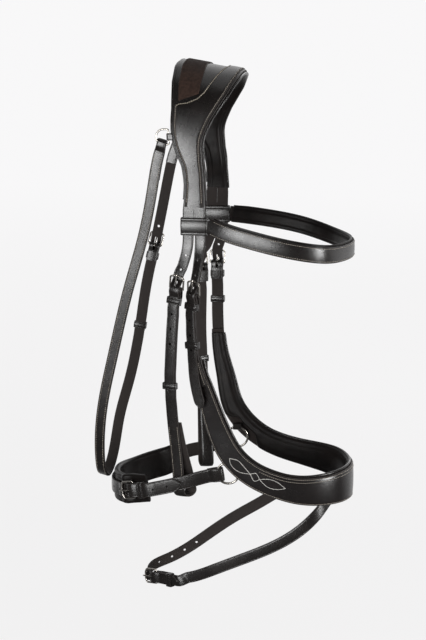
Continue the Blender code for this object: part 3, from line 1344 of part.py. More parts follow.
def build_browband_loop(side):
    """A wide band round both billets."""
    middle, forward, outward, up, wide = browband_loop_frame(side)
    deep = LEATHER / 2.0 + BROWBAND_LOOP_CLEARANCE
    corner = BROWBAND_LOOP_THICKNESS
    rings = []
    for level, wall in ((-1, 0.0), (-1, corner), (1, corner), (1, 0.0)):
        x = wide + wall
        y = deep + wall
        round_off = corner if wall else corner / 2.0
        outline = (
            (-x + round_off, -y), (x - round_off, -y), (x, -y + round_off), (x, y - round_off),
            (x - round_off, y), (-x + round_off, y), (-x, y - round_off), (-x, -y + round_off),
        )
        base = middle + up * (level * BROWBAND_LOOP_HEIGHT / 2.0)
        rings.append([base + forward * a + outward * b for a, b in outline])
    loft(side + "_browband_loop", rings, BLACK_LEATHER, closed=True)


# Chin strap
def ring_fold(s_wire, sense, wire_radius, ring_radius, half, settle, turn_back):
    """Stations that fold a strap end round a ring's curved wire and lay it back inside. s_wire is where
    the middle of the wire crosses the strap's centre line."""
    radius = wire_radius + GAP + LEATHER / 2.0
    sink = ring_radius - wire_radius - math.sqrt((ring_radius - wire_radius) ** 2 - half ** 2) + GAP
    centre = s_wire - sense * sink
    arc = []
    for k in range(7):
        angle = math.radians(-90 - 30 * k)
        arc.append((centre + sense * radius * math.cos(angle), radius * math.sin(angle), 0.0))
    depth = -LEATHER - GAP
    level = s_wire + sense * (wire_radius + GAP)
    end = s_wire + sense * turn_back
    near = level + sense * settle * 0.5
    back = [(end + (near - end) * k / 3.0, depth, 0.0) for k in range(4)]
    back.append((level, -radius, 0.0))
    outer = [(level + sense * u, n, w) for u, n, w in ease(0.0, settle, radius, 0.0, 4)]
    return joined(back, arc, outer), level + sense * settle


def build_chin_strap():
    """Both halves of the chin strap, its pad, and its buckle on the right."""
    half = CHIN_WIDTH / 2.0
    length = chin_route.length
    ring = NOSE_RING_RADIUS
    path, start = ring_fold(ring, 1.0, NOSE_RING_WIRE, ring, half, CHIN_SETTLE, CHIN_TURN_BACK)
    end = chin_buckle.s(FOLD_FALL_END)
    turned = chin_buckle.turned_end()
    turned.reverse()
    made = strap("chin_strap", chin_route, joined(path, run(chin_route, start, end), turned), half)
    cut(made, "chin_strap_slot", [chin_buckle.fold_slot()])
    path, start = ring_fold(length - ring, -1.0, NOSE_RING_WIRE, ring, half, CHIN_SETTLE, CHIN_TURN_BACK)
    run_in = run(chin_route, start, chin_buckle.s(TAIL_RISE_START))
    tail_end = length * CHIN_TAIL_SHARE
    tail = run(chin_route, chin_buckle.s(TAIL_FALL_END), tail_end, TAIL_HEIGHT, extra=tip_places(tail_end, 1.0))
    whole = joined(path, run_in, chin_buckle.tail_over(), tail)
    halves = []
    for s, n, _ in whole:
        near_tip = tip_width(s, tail_end, half) if n > LEATHER / 2.0 and s < length / 2.0 else half
        halves.append(near_tip)
    made = strap("chin_billet", chin_route, whole, halves)
    holes = [chin_buckle.tail_slot()]
    for step in (-1, -2):
        holes.append(hole_prism(chin_route, chin_buckle.hole_place(step), -CUT_OVERRUN, CUT_OVERRUN))
    for step in (2, 3):
        s = chin_buckle.hole_place(step)
        holes.append(hole_prism(chin_route, s, TAIL_HEIGHT - CUT_OVERRUN, TAIL_HEIGHT + CUT_OVERRUN))
    cut(made, "chin_billet_holes", holes)
    chin_buckle.build_frame("chin_buckle")
    chin_buckle.build_tongue("chin_tongue")
    chin_buckle.build_fixed_keeper("chin_keeper")
    build_chin_pad()


def chin_pad_face(s):
    """Height of the pad's outer face: against the strap, and deeper under the buckle's turned-back end."""
    deep = TURN_BACK_HEIGHT - LEATHER / 2.0 - GAP
    shallow = -LEATHER / 2.0 - 2.0 * GAP
    return deep + (shallow - deep) * bent_weight((s - chin_buckle.s(-FOLD_RADIUS - LEATHER)) / BUCKLE_LENGTH)


def build_chin_pad():
    start = chin_route.length * CHIN_PAD_FROM_SHARE
    end = chin_route.length * CHIN_PAD_TO_SHARE
    rings = []
    slope = [chin_buckle.s(-FOLD_RADIUS - LEATHER - BUCKLE_LENGTH * share) for share in (0.0, 0.5, 1.0)]
    for s, _, _ in run(chin_route, start, end, extra=slope):
        share = (s - start) / (end - start)
        swell = thinned(min(share, 1.0 - share), CHIN_THIN_LENGTH_SHARE, CHIN_THIN_SHARE)
        half = CHIN_PAD_HEIGHT / 2.0 * (CHIN_NARROW_SHARE + (1.0 - CHIN_NARROW_SHARE) * swell)
        outline = cushion_section(half, half, chin_pad_face(s), CHIN_PAD_THICKNESS * swell)
        rings.append(section_ring(chin_route, s, outline))
    loft("chin_pad", rings, SOFT_LEATHER, smooth=True)


# Flash strap
def build_flash_strap():
    """One strap from its buckle round the nose and back through the buckle."""
    half = FLASH_WIDTH / 2.0
    length = flash_route.length
    tail_end = length + length * FLASH_TAIL_SHARE
    turned = flash_buckle.turned_end()
    first = run(flash_route, flash_buckle.s(FOLD_FALL_END), length + flash_buckle.s(TAIL_RISE_START))
    over = [(s + length, n, w) for s, n, w in flash_buckle.tail_over()]
    tail_start = length + flash_buckle.s(TAIL_FALL_END)
    tail = run(flash_route, tail_start, tail_end, TAIL_HEIGHT, extra=tip_places(tail_end, -1.0))
    path = joined(turned, first, over, tail)
    halves = [tip_width(s, tail_end, half) for s, _, _ in path]
    made = strap("flash_strap", flash_route, path, halves)
    holes = []
    for step in (1, 2, 3, 4, 5):
        s = length + flash_buckle.hole_place(-step - FLASH_HOLE_SHIFT_SHARE)
        holes.append(hole_prism(flash_route, s, -CUT_OVERRUN, CUT_OVERRUN))
    holes.append(flash_buckle.tail_slot())
    cut(made, "flash_strap_holes", holes)
    cut(made, "flash_strap_slot", [flash_buckle.fold_slot()])
    flash_buckle.build_frame("flash_buckle")
    flash_buckle.build_tongue("flash_tongue")
    flash_buckle.build_runner("flash_keeper", length * FLASH_KEEPER_SHARE)


# Throatlatch
def throat_half(s, start):
    """Half width at s: the strap is narrower where it folds round its ring at start."""
    share = min(max(abs(s - start) / THROAT_NARROW_LENGTH, 0.0), 1.0)
    return THROAT_FOLD_WIDTH / 2.0 + (THROAT_WIDTH - THROAT_FOLD_WIDTH) / 2.0 * (3.0 - 2.0 * share) * share ** 2


def build_throatlatch():
    """The long strap from the right ring, the billet from the left ring, and their buckle."""
    half = THROAT_WIDTH / 2.0
    narrow = THROAT_FOLD_WIDTH / 2.0
    length = throat_route.length
    turned = throat_buckle.turned_end()
    turned.reverse()
    path, start = ring_fold(0.0, 1.0, THROAT_RING_WIRE, THROAT_RING_RADIUS, narrow, THROAT_SETTLE,
                            THROAT_TURN_BACK)
    first = run(throat_route, start, throat_buckle.s(FOLD_FALL_END))
    path = joined(path, first, turned)
    made = strap("throatlatch", throat_route, path, [throat_half(s, 0.0) for s, _, _ in path])
    cut(made, "throatlatch_slot", [throat_buckle.fold_slot()])
    tail_end = throat_route.at_drop(THROAT_TAIL_SHARE, from_end=True)
    path, start = ring_fold(length, -1.0, THROAT_RING_WIRE, THROAT_RING_RADIUS, narrow, THROAT_SETTLE,
                            THROAT_TURN_BACK)
    run_in = run(throat_route, start, throat_buckle.s(TAIL_RISE_START))
    tail = run(throat_route, throat_buckle.s(TAIL_FALL_END), tail_end, TAIL_HEIGHT, extra=tip_places(tail_end, 1.0))
    path = joined(path, run_in, throat_buckle.tail_over(), tail)
    halves = [tip_width(s, tail_end, half) if n > LEATHER / 2.0 and s < length - THROAT_TURN_BACK
              else throat_half(s, length) for s, n, _ in path]
    made = strap("throatlatch_billet", throat_route, path, halves)
    holes = [throat_buckle.tail_slot()]
    holes.append(hole_prism(throat_route, throat_buckle.hole_place(-1), -CUT_OVERRUN, CUT_OVERRUN))
    cut(made, "throatlatch_billet_holes", holes)
    throat_buckle.build_frame("throatlatch_buckle")
    throat_buckle.build_tongue("throatlatch_tongue")
    throat_buckle.build_fixed_keeper("throatlatch_keeper")
    throat_buckle.build_runner("throatlatch_runner", throat_route.at_drop(THROAT_RUNNER_SHARE, from_end=True))


def move_origin(names, place):
    """Put the origins of moving pieces on the axis of their joint."""
    for name in names:
        made = bpy.data.objects[name]
        made.data.transform(Matrix.Translation(-Vector(place)))
        made.location = Vector(place)


def place_origins():
    """The origins of all moving pieces."""
    for (kind, side), buckle in buckles.items():
        prefix = side + ("_cheek" if kind == "cheek" else "_noseband")
        move_origin([prefix + "_tongue"], buckle.rigid(0.0, 0.0, 0.0))
        move_origin([prefix + "_runner"], buckle.route.point(buckle.route.at_drop(runner_shares[(kind, side)])))
        top = buckle.top_bar()
        own = [prefix + "_buckle", prefix + "_keeper", prefix + "_billet_tail"]
        move_origin(own, top)
        move_origin([side + ("_cheekpiece" if kind == "cheek" else "_noseband_hanger")], top)
    for side in SIDES:
        middle = nose_ring_middle(side)
        move_origin([side + "_noseband_ring"], middle)
        move_origin([side + "_noseband_ring_tab"], buckles[("hanger", side)].top_bar())
        move_origin([side + "_browband_loop"], browband_loop_frame(side)[0])
    move_origin(["browband", "browband_padding"], browband_route.frame(browband_route.length / 2.0)[0])
    right_top = buckles[("hanger", "right")].top_bar()
    move_origin(["noseband", "noseband_padding", "flash_loop"], right_top)
    move_origin(["chin_strap", "chin_billet", "chin_pad", "chin_buckle", "chin_keeper"], nose_ring_middle("right"))
    move_origin(["chin_tongue"], chin_buckle.rigid(0.0, 0.0, 0.0))
    loop_middle = flash_route.frame(flash_route.length * FLASH_LOOP_SHARE)[0]
    move_origin(["flash_strap", "flash_buckle"], loop_middle)
    move_origin(["flash_tongue"], flash_buckle.rigid(0.0, 0.0, 0.0))
    move_origin(["flash_keeper"], flash_route.frame(flash_route.length * FLASH_KEEPER_SHARE)[0])
    throat_parts = ["throatlatch", "throatlatch_billet", "throatlatch_buckle", "throatlatch_keeper"]
    move_origin(throat_parts, throat_ring_frame("right")[0])
    move_origin(["throatlatch_tongue"], throat_buckle.rigid(0.0, 0.0, 0.0))
    runner_s = throat_route.at_drop(THROAT_RUNNER_SHARE, from_end=True)
    move_origin(["throatlatch_runner"], throat_route.frame(runner_s)[0])


def main():
    build_headpiece()
    build_headpiece_layers()
    build_browband()
    for side in SIDES:
        build_throat_ring(side)
        build_cheekpiece(side)
        build_hanger(side)
        build_nose_ring(side)
    build_noseband()
    build_flash_loop()
    build_chin_strap()
    build_flash_strap()
    build_throatlatch()
    place_origins()


main()
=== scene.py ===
"""The looks of the horse bridle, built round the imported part.

Every strap, pad, keeper, buckle and ring is made again here with fine, rounded sections along the part's own
routes, and gets its stitching, punched holes, creases and materials. Metres, +X to the nose, +Y to the
horse's left, +Z up, and the origin under the middle of the headpiece.
"""

import math

import bmesh
import bpy
import numpy as np
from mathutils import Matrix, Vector
from mathutils.kdtree import KDTree


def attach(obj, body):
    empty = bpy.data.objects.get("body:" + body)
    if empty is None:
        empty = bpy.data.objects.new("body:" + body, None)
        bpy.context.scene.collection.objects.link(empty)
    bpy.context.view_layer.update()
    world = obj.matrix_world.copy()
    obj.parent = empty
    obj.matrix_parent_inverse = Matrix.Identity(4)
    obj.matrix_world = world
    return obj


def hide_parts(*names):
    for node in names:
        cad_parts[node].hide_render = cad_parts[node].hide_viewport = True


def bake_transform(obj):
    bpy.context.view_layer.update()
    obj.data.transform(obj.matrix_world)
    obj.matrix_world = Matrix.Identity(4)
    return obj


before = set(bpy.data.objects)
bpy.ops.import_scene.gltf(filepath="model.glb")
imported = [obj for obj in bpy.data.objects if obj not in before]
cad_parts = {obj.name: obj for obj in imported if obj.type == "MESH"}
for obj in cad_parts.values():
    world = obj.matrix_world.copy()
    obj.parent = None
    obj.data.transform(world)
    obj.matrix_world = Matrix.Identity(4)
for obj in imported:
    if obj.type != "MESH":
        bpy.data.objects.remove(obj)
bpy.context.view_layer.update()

# The camera of the photograph: where it stands, and where the origin falls in the 426 by 640 picture
CAMERA_TURN = math.radians(11.0)
CAMERA_RISE = math.radians(12.5)
CAMERA_DISTANCE = 2.4
CAMERA_LENS = 117.4
CAMERA_SENSOR = 36.0
PICTURE_PX = (426, 640)
ORIGIN_PX = (212.0, 72.0)
METRES_PER_PX = 0.00115

# Driving sizes of the head that the bridle is open for
HEAD_REACH = 0.200
HEAD_HALF_WIDTH = 0.075
HEAD_DROP = 0.600

# Leather
LEATHER = 0.0024
THIN_LEATHER = 0.0010
STRAP_WIDTH = 0.0140
BILLET_WIDTH = 0.0127
BILLET_APART = 0.0009
THROAT_WIDTH = 0.0125
THROAT_FOLD_WIDTH = 0.0104
THROAT_NARROW_LENGTH = 0.0120
FLASH_WIDTH = 0.0135
CHIN_WIDTH = 0.0165
GAP = 0.00035

# Punched holes, and the rounded tips of billets
HOLE_RADIUS = 0.0015
HOLE_PITCH = 0.0175
HOLE_PLACE_SHARE = 0.42
FLASH_HOLE_SHIFT_SHARE = 0.2
TIP_LENGTH = 0.0110

# Buckles
BUCKLE_LENGTH = 0.0150
BUCKLE_WIRE = 0.0011
BUCKLE_ARCH = 0.0012
BUCKLE_BOW_SHARE = 0.3
BUCKLE_SIDE_CLEARANCE = 0.0005
TONGUE_RADIUS = 0.0009
TONGUE_CLEARANCE = 0.0003
TONGUE_OVERHANG = 0.0022
TONGUE_SLOT_HALF = 0.0016
TAIL_SLOT_SHARES = (0.70, 0.07)
TURN_BACK_EASE_SHARE = 0.45
TURN_BACK_LENGTH = 0.0185
THROAT_TURN_BACK = 0.0420
CHIN_TURN_BACK = 0.0105
TAIL_DRIFT = 0.0075

# Keepers
KEEPER_LENGTH = 0.0075
KEEPER_THICKNESS = 0.0010
KEEPER_CLEARANCE = 0.0003
RUNNER_CLEARANCE = 0.0005
RUNNER_TRAVEL = 0.0060
FIXED_KEEPER_SHARE = 0.6
RUNNER_ROOM_SHARE = 0.75
# A keeper's wall from its middle to its edge: the place along it, and the wall there, as shares
KEEPER_SHARES = ((0.0, 1.06), (0.30, 1.0), (0.33, 0.86), (0.36, 1.0), (0.42, 1.0), (0.47, 0.92), (0.5, 0.65),
                 (0.5, 0.0))

# Headpiece
SLIT_WIDTH = 0.0007
HEADPIECE_PAD_THICKNESS = 0.0060
HEADPIECE_PAD_ROLL = 0.0022
HEADPIECE_PAD_BEAD = 0.0016
HEADPIECE_THIN_SHARE = 0.35
HEADPIECE_THIN_LENGTH_SHARE = 0.2
HEADPIECE_WIDTH_POLL = 0.0760
FACING_MARGIN = 0.0020

# Throat rings, which are small D-rings
THROAT_RING_RADIUS = 0.0088
THROAT_RING_WIRE = 0.0011
THROAT_RING_SETBACK = 0.0057
THROAT_RING_TILT = math.radians(3)
RIGHT_THROAT_FOLD_ANGLE = math.radians(250)
LEFT_THROAT_FOLD_ANGLE = math.radians(243)
THROAT_RING_TAB_HALF = 0.0038
THROAT_TAB_LEAD_SHARE = 0.5
THROAT_TAB_PROBE_SHARES = (0.5, 0.8, 1.1)
# Corners of the D-ring's straight side: shares of the setback and of the radius
THROAT_RING_BAR_SHARES = ((0.62, -1.0), (0.93, -0.93), (1.0, -0.78), (1.0, 0.78), (0.93, 0.93), (0.62, 1.0))

# Noseband rings
NOSE_RING_RADIUS = 0.0128
NOSE_RING_WIRE = 0.0014
NOSE_RING_OUTSET = 0.0045
NOSE_RING_CLEARANCE = 0.00245
NOSE_RING_TAB_HALF = 0.0050
NOSE_RING_TAB_LENGTH = 0.0030

# Browband
BROWBAND_HEIGHT = 0.0185
BROWBAND_LOOP_HEIGHT = 0.0200
BROWBAND_LOOP_THICKNESS = 0.0014
BROWBAND_LOOP_CLEARANCE = 0.0010
BROWBAND_PAD_THICKNESS = 0.0040
BROWBAND_PAD_BEAD = 0.0012
BROWBAND_PAD_INSET = 0.0005
BROWBAND_PAD_REACH = 0.0006
BROWBAND_ROLL_REACH = 0.0008
BROWBAND_CROWN = 0.0006
BROWBAND_STITCH_START = 0.003
BROWBAND_STITCH_RISE = 0.0002
BROWBAND_END_OUTSET = 0.0018

# Noseband
NOSEBAND_HEIGHT = 0.0410
NOSEBAND_PAD_THICKNESS = 0.0075
NOSEBAND_PAD_ROLL = 0.0020
NOSEBAND_PAD_BEAD = 0.0018
NOSEBAND_VALLEY_SHARE = 0.08
NOSEBAND_THIN_SHARE = 0.55
NOSEBAND_THIN_LENGTH_SHARE = 0.2

# White ornament on either side of the noseband: a leaf, a diamond and a leaf, as (along, across) points
ORNAMENT_START = 0.1278
ORNAMENT_THREAD = 0.00038
ORNAMENT_PITCH = 0.0021
ORNAMENT_STITCH = 0.0019
ORNAMENT_CURVES = (
    ((0.0, -0.0019), (0.0080, 0.0041), (0.0188, 0.0035), (0.0296, 0.0010), (0.0378, -0.0038),
     (0.0425, 0.0009)),
    ((0.0, -0.0019), (0.0045, -0.0050), (0.0110, -0.0062), (0.0190, -0.0048), (0.0296, 0.0010),
     (0.0353, 0.0054), (0.0425, 0.0009)),
    ((0.0425, 0.0009), (0.0515, 0.0054), (0.0623, 0.0060), (0.0745, 0.0014)),
    ((0.0425, 0.0009), (0.0524, -0.0031), (0.0588, -0.0037), (0.0678, -0.0019), (0.0745, 0.0014)),
)
SECOND_LINE_INSET = 0.0052
SECOND_LINE_START = 0.165

# Chin pad
CHIN_PAD_HEIGHT = 0.0360
CHIN_PAD_THICKNESS = 0.0080
CHIN_THIN_SHARE = 0.55
CHIN_THIN_LENGTH_SHARE = 0.12
CHIN_NARROW_SHARE = 0.82
CHIN_PAD_STEP = 0.0018
CHIN_CREASE_DEPTH = 0.0007
# Creases across the chin pad, as shares of its half height and of their depth, and how they wander
CHIN_CREASE_SHARES = ((0.62, 0.8, 5.0), (0.40, 0.5, 8.0), (-0.45, 0.7, 6.0), (-0.66, 0.9, 4.0))

# Padding's outline: the depth left at the edge and lost beside the middle
CUSHION_EDGE_SHARE = 0.45
CUSHION_FALL_SHARE = 0.5
CUSHION_LEAST_DEPTH = 0.0004

# Bit loops at the foot of the cheekpieces
BIT_LOOP_RADIUS = 0.0060
BIT_RETURN_LENGTH = 0.0850
BIT_STITCH_START = 0.004
BIT_STITCH_END = 0.010
BIT_RETURN_MERGE_SHARE = 0.75
BIT_RETURN_SKEW_SHARE = 0.75
RIGHT_RETURN_SKEW = 0.0100
LEFT_RETURN_SKEW = 0.0050

# Flash loop under the front of the noseband
FLASH_LOOP_HALF_GAP = 0.0040
FLASH_LOOP_LENGTH = 0.0150
FLASH_LOOP_THICKNESS = 0.0012
FLASH_LOOP_HEADROOM = 0.0018
FLASH_LOOP_FOOTROOM = 0.0010

# Faceting
FACET_SAG = 0.00018
STATION_MIN = 0.0065
STATION_MAX = 0.0300
SAMPLES_PER_SPAN = 40
CUT_OVERRUN = 0.0020
STRAIGHT_BLEND = 0.0120

# Places along the drop of the head, as shares of HEAD_DROP below the poll
CHEEK_BUCKLE_SHARE = 0.401
RIGHT_NOSE_BUCKLE_SHARE = 0.411
LEFT_NOSE_BUCKLE_SHARE = 0.396
CHEEK_RUNNER_SHARE = 0.592
CHEEK_TAIL_SHARE = 0.604
RIGHT_NOSE_RUNNER_SHARE = 0.508
LEFT_NOSE_RUNNER_SHARE = 0.471
RIGHT_NOSE_TAIL_SHARE = 0.628
LEFT_NOSE_TAIL_SHARE = 0.560
HANGER_FOOT_SHARE = 0.590
RIGHT_BIT_LOOP_SHARE = 0.819
LEFT_BIT_LOOP_SHARE = 0.811
THROAT_BUCKLE_SHARE = 0.358
THROAT_RUNNER_SHARE = 0.522
THROAT_TAIL_SHARE = 0.548

# Routes. A row is a place, as shares of HEAD_REACH, HEAD_HALF_WIDTH and HEAD_DROP, and then the
# direction in which the outer face looks there.
HEADPIECE_SHARES = (
    (-0.035, -0.940, -0.250, 0.00, -1.0, 0.00),
    (-0.034, -0.913, -0.200, 0.00, -1.0, 0.00),
    (-0.048, -0.887, -0.162, 0.00, -1.0, 0.05),
    (-0.076, -0.860, -0.117, 0.00, -1.0, 0.10),
    (-0.058, -0.800, -0.070, 0.05, -1.0, 0.35),
    (-0.022, -0.640, -0.023, 0.10, -0.8, 0.75),
    (0.000, -0.360, 0.005, 0.16, -0.4, 1.00),
    (0.005, 0.000, 0.0126, 0.16, 0.0, 1.00),
    (0.000, 0.360, 0.005, 0.16, 0.4, 1.00),
    (-0.022, 0.640, -0.023, 0.10, 0.8, 0.75),
    (-0.058, 0.800, -0.070, 0.05, 1.0, 0.35),
    (-0.076, 0.860, -0.117, 0.00, 1.0, 0.10),
    (-0.048, 0.887, -0.162, 0.00, 1.0, 0.05),
    (-0.034, 0.913, -0.200, 0.00, 1.0, 0.00),
    (-0.035, 0.940, -0.250, 0.00, 1.0, 0.00),
)
RIGHT_CHEEK_SHARES = (
    (-0.035, -0.940, -0.250, -0.05, -1.0, 0.0),
    (-0.035, -0.941, -0.285, -0.05, -1.0, 0.0),
    (-0.039, -0.945, -0.320, -0.10, -1.0, 0.0),
    (-0.060, -0.965, -0.350, -0.27, -1.0, 0.0),
    (-0.086, -0.987, -0.378, -0.30, -1.0, 0.0),
    (-0.111, -1.000, -0.427, -0.30, -1.0, 0.0),
    (-0.131, -1.000, -0.522, -0.30, -1.0, 0.0),
    (-0.139, -0.973, -0.590, -0.28, -1.0, 0.0),
    (-0.131, -0.913, -0.667, -0.22, -1.0, 0.0),
    (-0.111, -0.853, -0.750, -0.20, -1.0, 0.0),
    (-0.100, -0.820, -0.828, -0.20, -1.0, 0.0),
)
LEFT_CHEEK_SHARES = (
    (-0.035, 0.940, -0.250, -0.05, 1.0, 0.0),
    (-0.035, 0.941, -0.285, -0.05, 1.0, 0.0),
    (-0.038, 0.943, -0.325, -0.10, 1.0, 0.0),
    (-0.060, 0.935, -0.352, -0.60, 1.0, 0.0),
    (-0.088, 0.913, -0.380, -1.00, 1.0, 0.0),
    (-0.096, 0.907, -0.427, -1.00, 1.0, 0.0),
    (-0.099, 0.907, -0.522, -1.00, 1.0, 0.0),
    (-0.092, 0.893, -0.600, -0.80, 1.0, 0.0),
    (-0.084, 0.858, -0.683, -0.45, 1.0, 0.0),
    (-0.078, 0.823, -0.758, -0.25, 1.0, 0.0),
    (-0.076, 0.807, -0.828, -0.20, 1.0, 0.0),
)
RIGHT_HANGER_SHARES = (
    (-0.035, -0.940, -0.250, -0.05, -1.0, 0.0),
    (-0.034, -0.941, -0.285, -0.05, -1.0, 0.0),
    (-0.034, -0.947, -0.318, -0.18, -1.0, 0.0),
    (-0.043, -0.983, -0.350, -0.48, -1.0, 0.0),
    (-0.059, -1.020, -0.392, -0.58, -1.0, 0.0),
    (-0.074, -1.027, -0.440, -0.58, -1.0, 0.0),
    (-0.072, -1.027, -0.498, -0.50, -1.0, 0.0),
    (-0.044, -1.007, -0.568, -0.30, -1.0, 0.0),
    (0.011, -0.973, -0.622, -0.15, -1.0, 0.0),
    (0.046, -0.960, -0.660, -0.10, -1.0, 0.0),
)
LEFT_HANGER_SHARES = (
    (-0.035, 0.940, -0.250, -0.05, 1.0, 0.0),
    (-0.037, 0.941, -0.285, -0.05, 1.0, 0.0),
    (-0.040, 0.945, -0.325, -0.05, 1.0, 0.0),
    (-0.066, 0.980, -0.365, 0.00, 1.0, 0.0),
    (-0.074, 1.013, -0.425, 0.00, 1.0, 0.0),
    (-0.074, 1.027, -0.483, 0.00, 1.0, 0.0),
    (-0.070, 1.020, -0.530, 0.00, 1.0, 0.0),
    (-0.062, 1.010, -0.560, 0.00, 1.0, 0.0),
    (-0.028, 0.990, -0.618, 0.00, 1.0, 0.0),
    (0.004, 0.975, -0.660, 0.00, 1.0, 0.0),
)
NOSEBAND_SHARES = (
    (0.047, -0.930, -0.628, -0.15, -1.0, 0.0),
    (0.100, -0.900, -0.682, -0.05, -1.0, 0.0),
    (0.180, -0.885, -0.733, 0.00, -1.0, 0.0),
    (0.285, -0.865, -0.765, 0.05, -1.0, 0.0),
    (0.430, -0.820, -0.788, 0.12, -1.0, 0.0),
    (0.575, -0.733, -0.800, 0.30, -1.0, 0.0),
    (0.715, -0.560, -0.802, 0.75, -1.0, 0.0),
    (0.810, -0.290, -0.800, 1.00, -0.5, 0.0),
    (0.840, 0.000, -0.797, 1.00, 0.0, 0.0),
    (0.812, 0.290, -0.792, 1.00, 0.5, 0.0),
    (0.728, 0.560, -0.785, 0.75, 1.0, 0.0),
    (0.600, 0.733, -0.780, 0.30, 1.0, 0.0),
    (0.450, 0.825, -0.773, 0.12, 1.0, 0.0),
    (0.285, 0.875, -0.757, 0.05, 1.0, 0.0),
    (0.152, 0.905, -0.728, 0.00, 1.0, 0.0),
    (0.064, 0.920, -0.690, -0.05, 1.0, 0.0),
    (0.017, 0.940, -0.632, 0.00, 1.0, 0.0),
)
NOSEBAND_TOP_SHARES = (0.532, 0.560, 0.592)
RIGHT_BROWBAND_END_SHARE = 0.280
LEFT_BROWBAND_END_SHARE = 0.294
# How steeply the browband leaves its loops, up or down, and how much it turns outward there
RIGHT_BROWBAND_SLOPE_SHARE = 0.275
LEFT_BROWBAND_SLOPE_SHARE = 0.132
BROWBAND_TURN_SHARE = 0.35
BROWBAND_SHARES = (
    (0.125, -1.035, -0.287, -0.12, -1.0, 0.0),
    (0.285, -1.113, -0.300, 0.00, -1.0, 0.0),
    (0.525, -1.107, -0.317, 0.15, -1.0, 0.0),
    (0.700, -0.907, -0.328, 0.60, -1.0, 0.0),
    (0.795, -0.480, -0.333, 1.00, -0.6, 0.0),
    (0.830, 0.000, -0.333, 1.00, 0.0, 0.0),
    (0.785, 0.440, -0.333, 1.00, 0.6, 0.0),
    (0.675, 0.827, -0.330, 0.60, 1.0, 0.0),
    (0.490, 1.067, -0.317, 0.15, 1.0, 0.0),
    (0.275, 1.100, -0.305, 0.00, 1.0, 0.0),
    (0.125, 1.035, -0.298, -0.12, 1.0, 0.0),
)
THROATLATCH_SHARES = (
    (-0.2300, -0.845, -0.1273, 0.00, -1.0, 0.0),
    (-0.2540, -0.838, -0.1563, 0.00, -1.0, 0.0),
    (-0.283, -0.825, -0.207, -0.03, -1.0, 0.0),
    (-0.345, -0.780, -0.305, -0.10, -1.0, 0.0),
    (-0.435, -0.740, -0.407, -0.10, -1.0, 0.0),
    (-0.545, -0.680, -0.552, -0.10, -1.0, 0.0),
    (-0.610, -0.640, -0.650, -0.10, -1.0, 0.0),
    (-0.636, -0.573, -0.715, -0.15, -1.0, -0.3),
    (-0.648, -0.440, -0.768, -0.25, -0.9, -0.7),
    (-0.655, -0.220, -0.803, -0.25, -0.4, -1.0),
    (-0.655, 0.000, -0.812, -0.25, 0.0, -1.0),
    (-0.650, 0.220, -0.803, -0.25, 0.4, -1.0),
    (-0.638, 0.440, -0.768, -0.25, 0.9, -0.7),
    (-0.620, 0.573, -0.715, -0.15, 1.0, -0.3),
    (-0.565, 0.655, -0.640, -0.10, 1.0, 0.0),
    (-0.495, 0.690, -0.523, -0.10, 1.0, 0.0),
    (-0.455, 0.720, -0.435, -0.10, 1.0, 0.0),
    (-0.410, 0.737, -0.365, -0.10, 1.0, 0.0),
    (-0.362, 0.785, -0.285, -0.05, 1.0, 0.0),
    (-0.340, 0.810, -0.245, -0.04, 1.0, 0.0),
    (-0.319, 0.830, -0.208, -0.02, 1.0, 0.0),
    (-0.298, 0.834, -0.179, 0.00, 1.0, 0.0),
    (-0.2660, 0.838, -0.1502, 0.00, 1.0, 0.0),
    (-0.2350, 0.845, -0.1267, 0.00, 1.0, 0.0),
)
CHIN_SHARES = (
    (-0.090, -0.893, -0.787, 0.00, -1.0, 0.0),
    (-0.190, -0.912, -0.796, -0.05, -1.0, 0.0),
    (-0.290, -0.893, -0.805, -0.20, -1.0, 0.0),
    (-0.400, -0.793, -0.813, -0.45, -1.0, 0.0),
    (-0.500, -0.613, -0.820, -0.80, -1.0, 0.0),
    (-0.570, -0.373, -0.823, -1.00, -0.6, 0.0),
    (-0.602, -0.067, -0.823, -1.00, -0.1, 0.0),
    (-0.590, 0.240, -0.823, -1.00, 0.4, 0.0),
    (-0.535, 0.493, -0.822, -0.90, 0.9, 0.0),
    (-0.440, 0.693, -0.815, -0.50, 1.0, 0.0),
    (-0.325, 0.827, -0.805, -0.25, 1.0, 0.0),
    (-0.200, 0.905, -0.788, -0.08, 1.0, 0.0),
    (-0.078, 0.922, -0.777, 0.00, 1.0, 0.0),
)
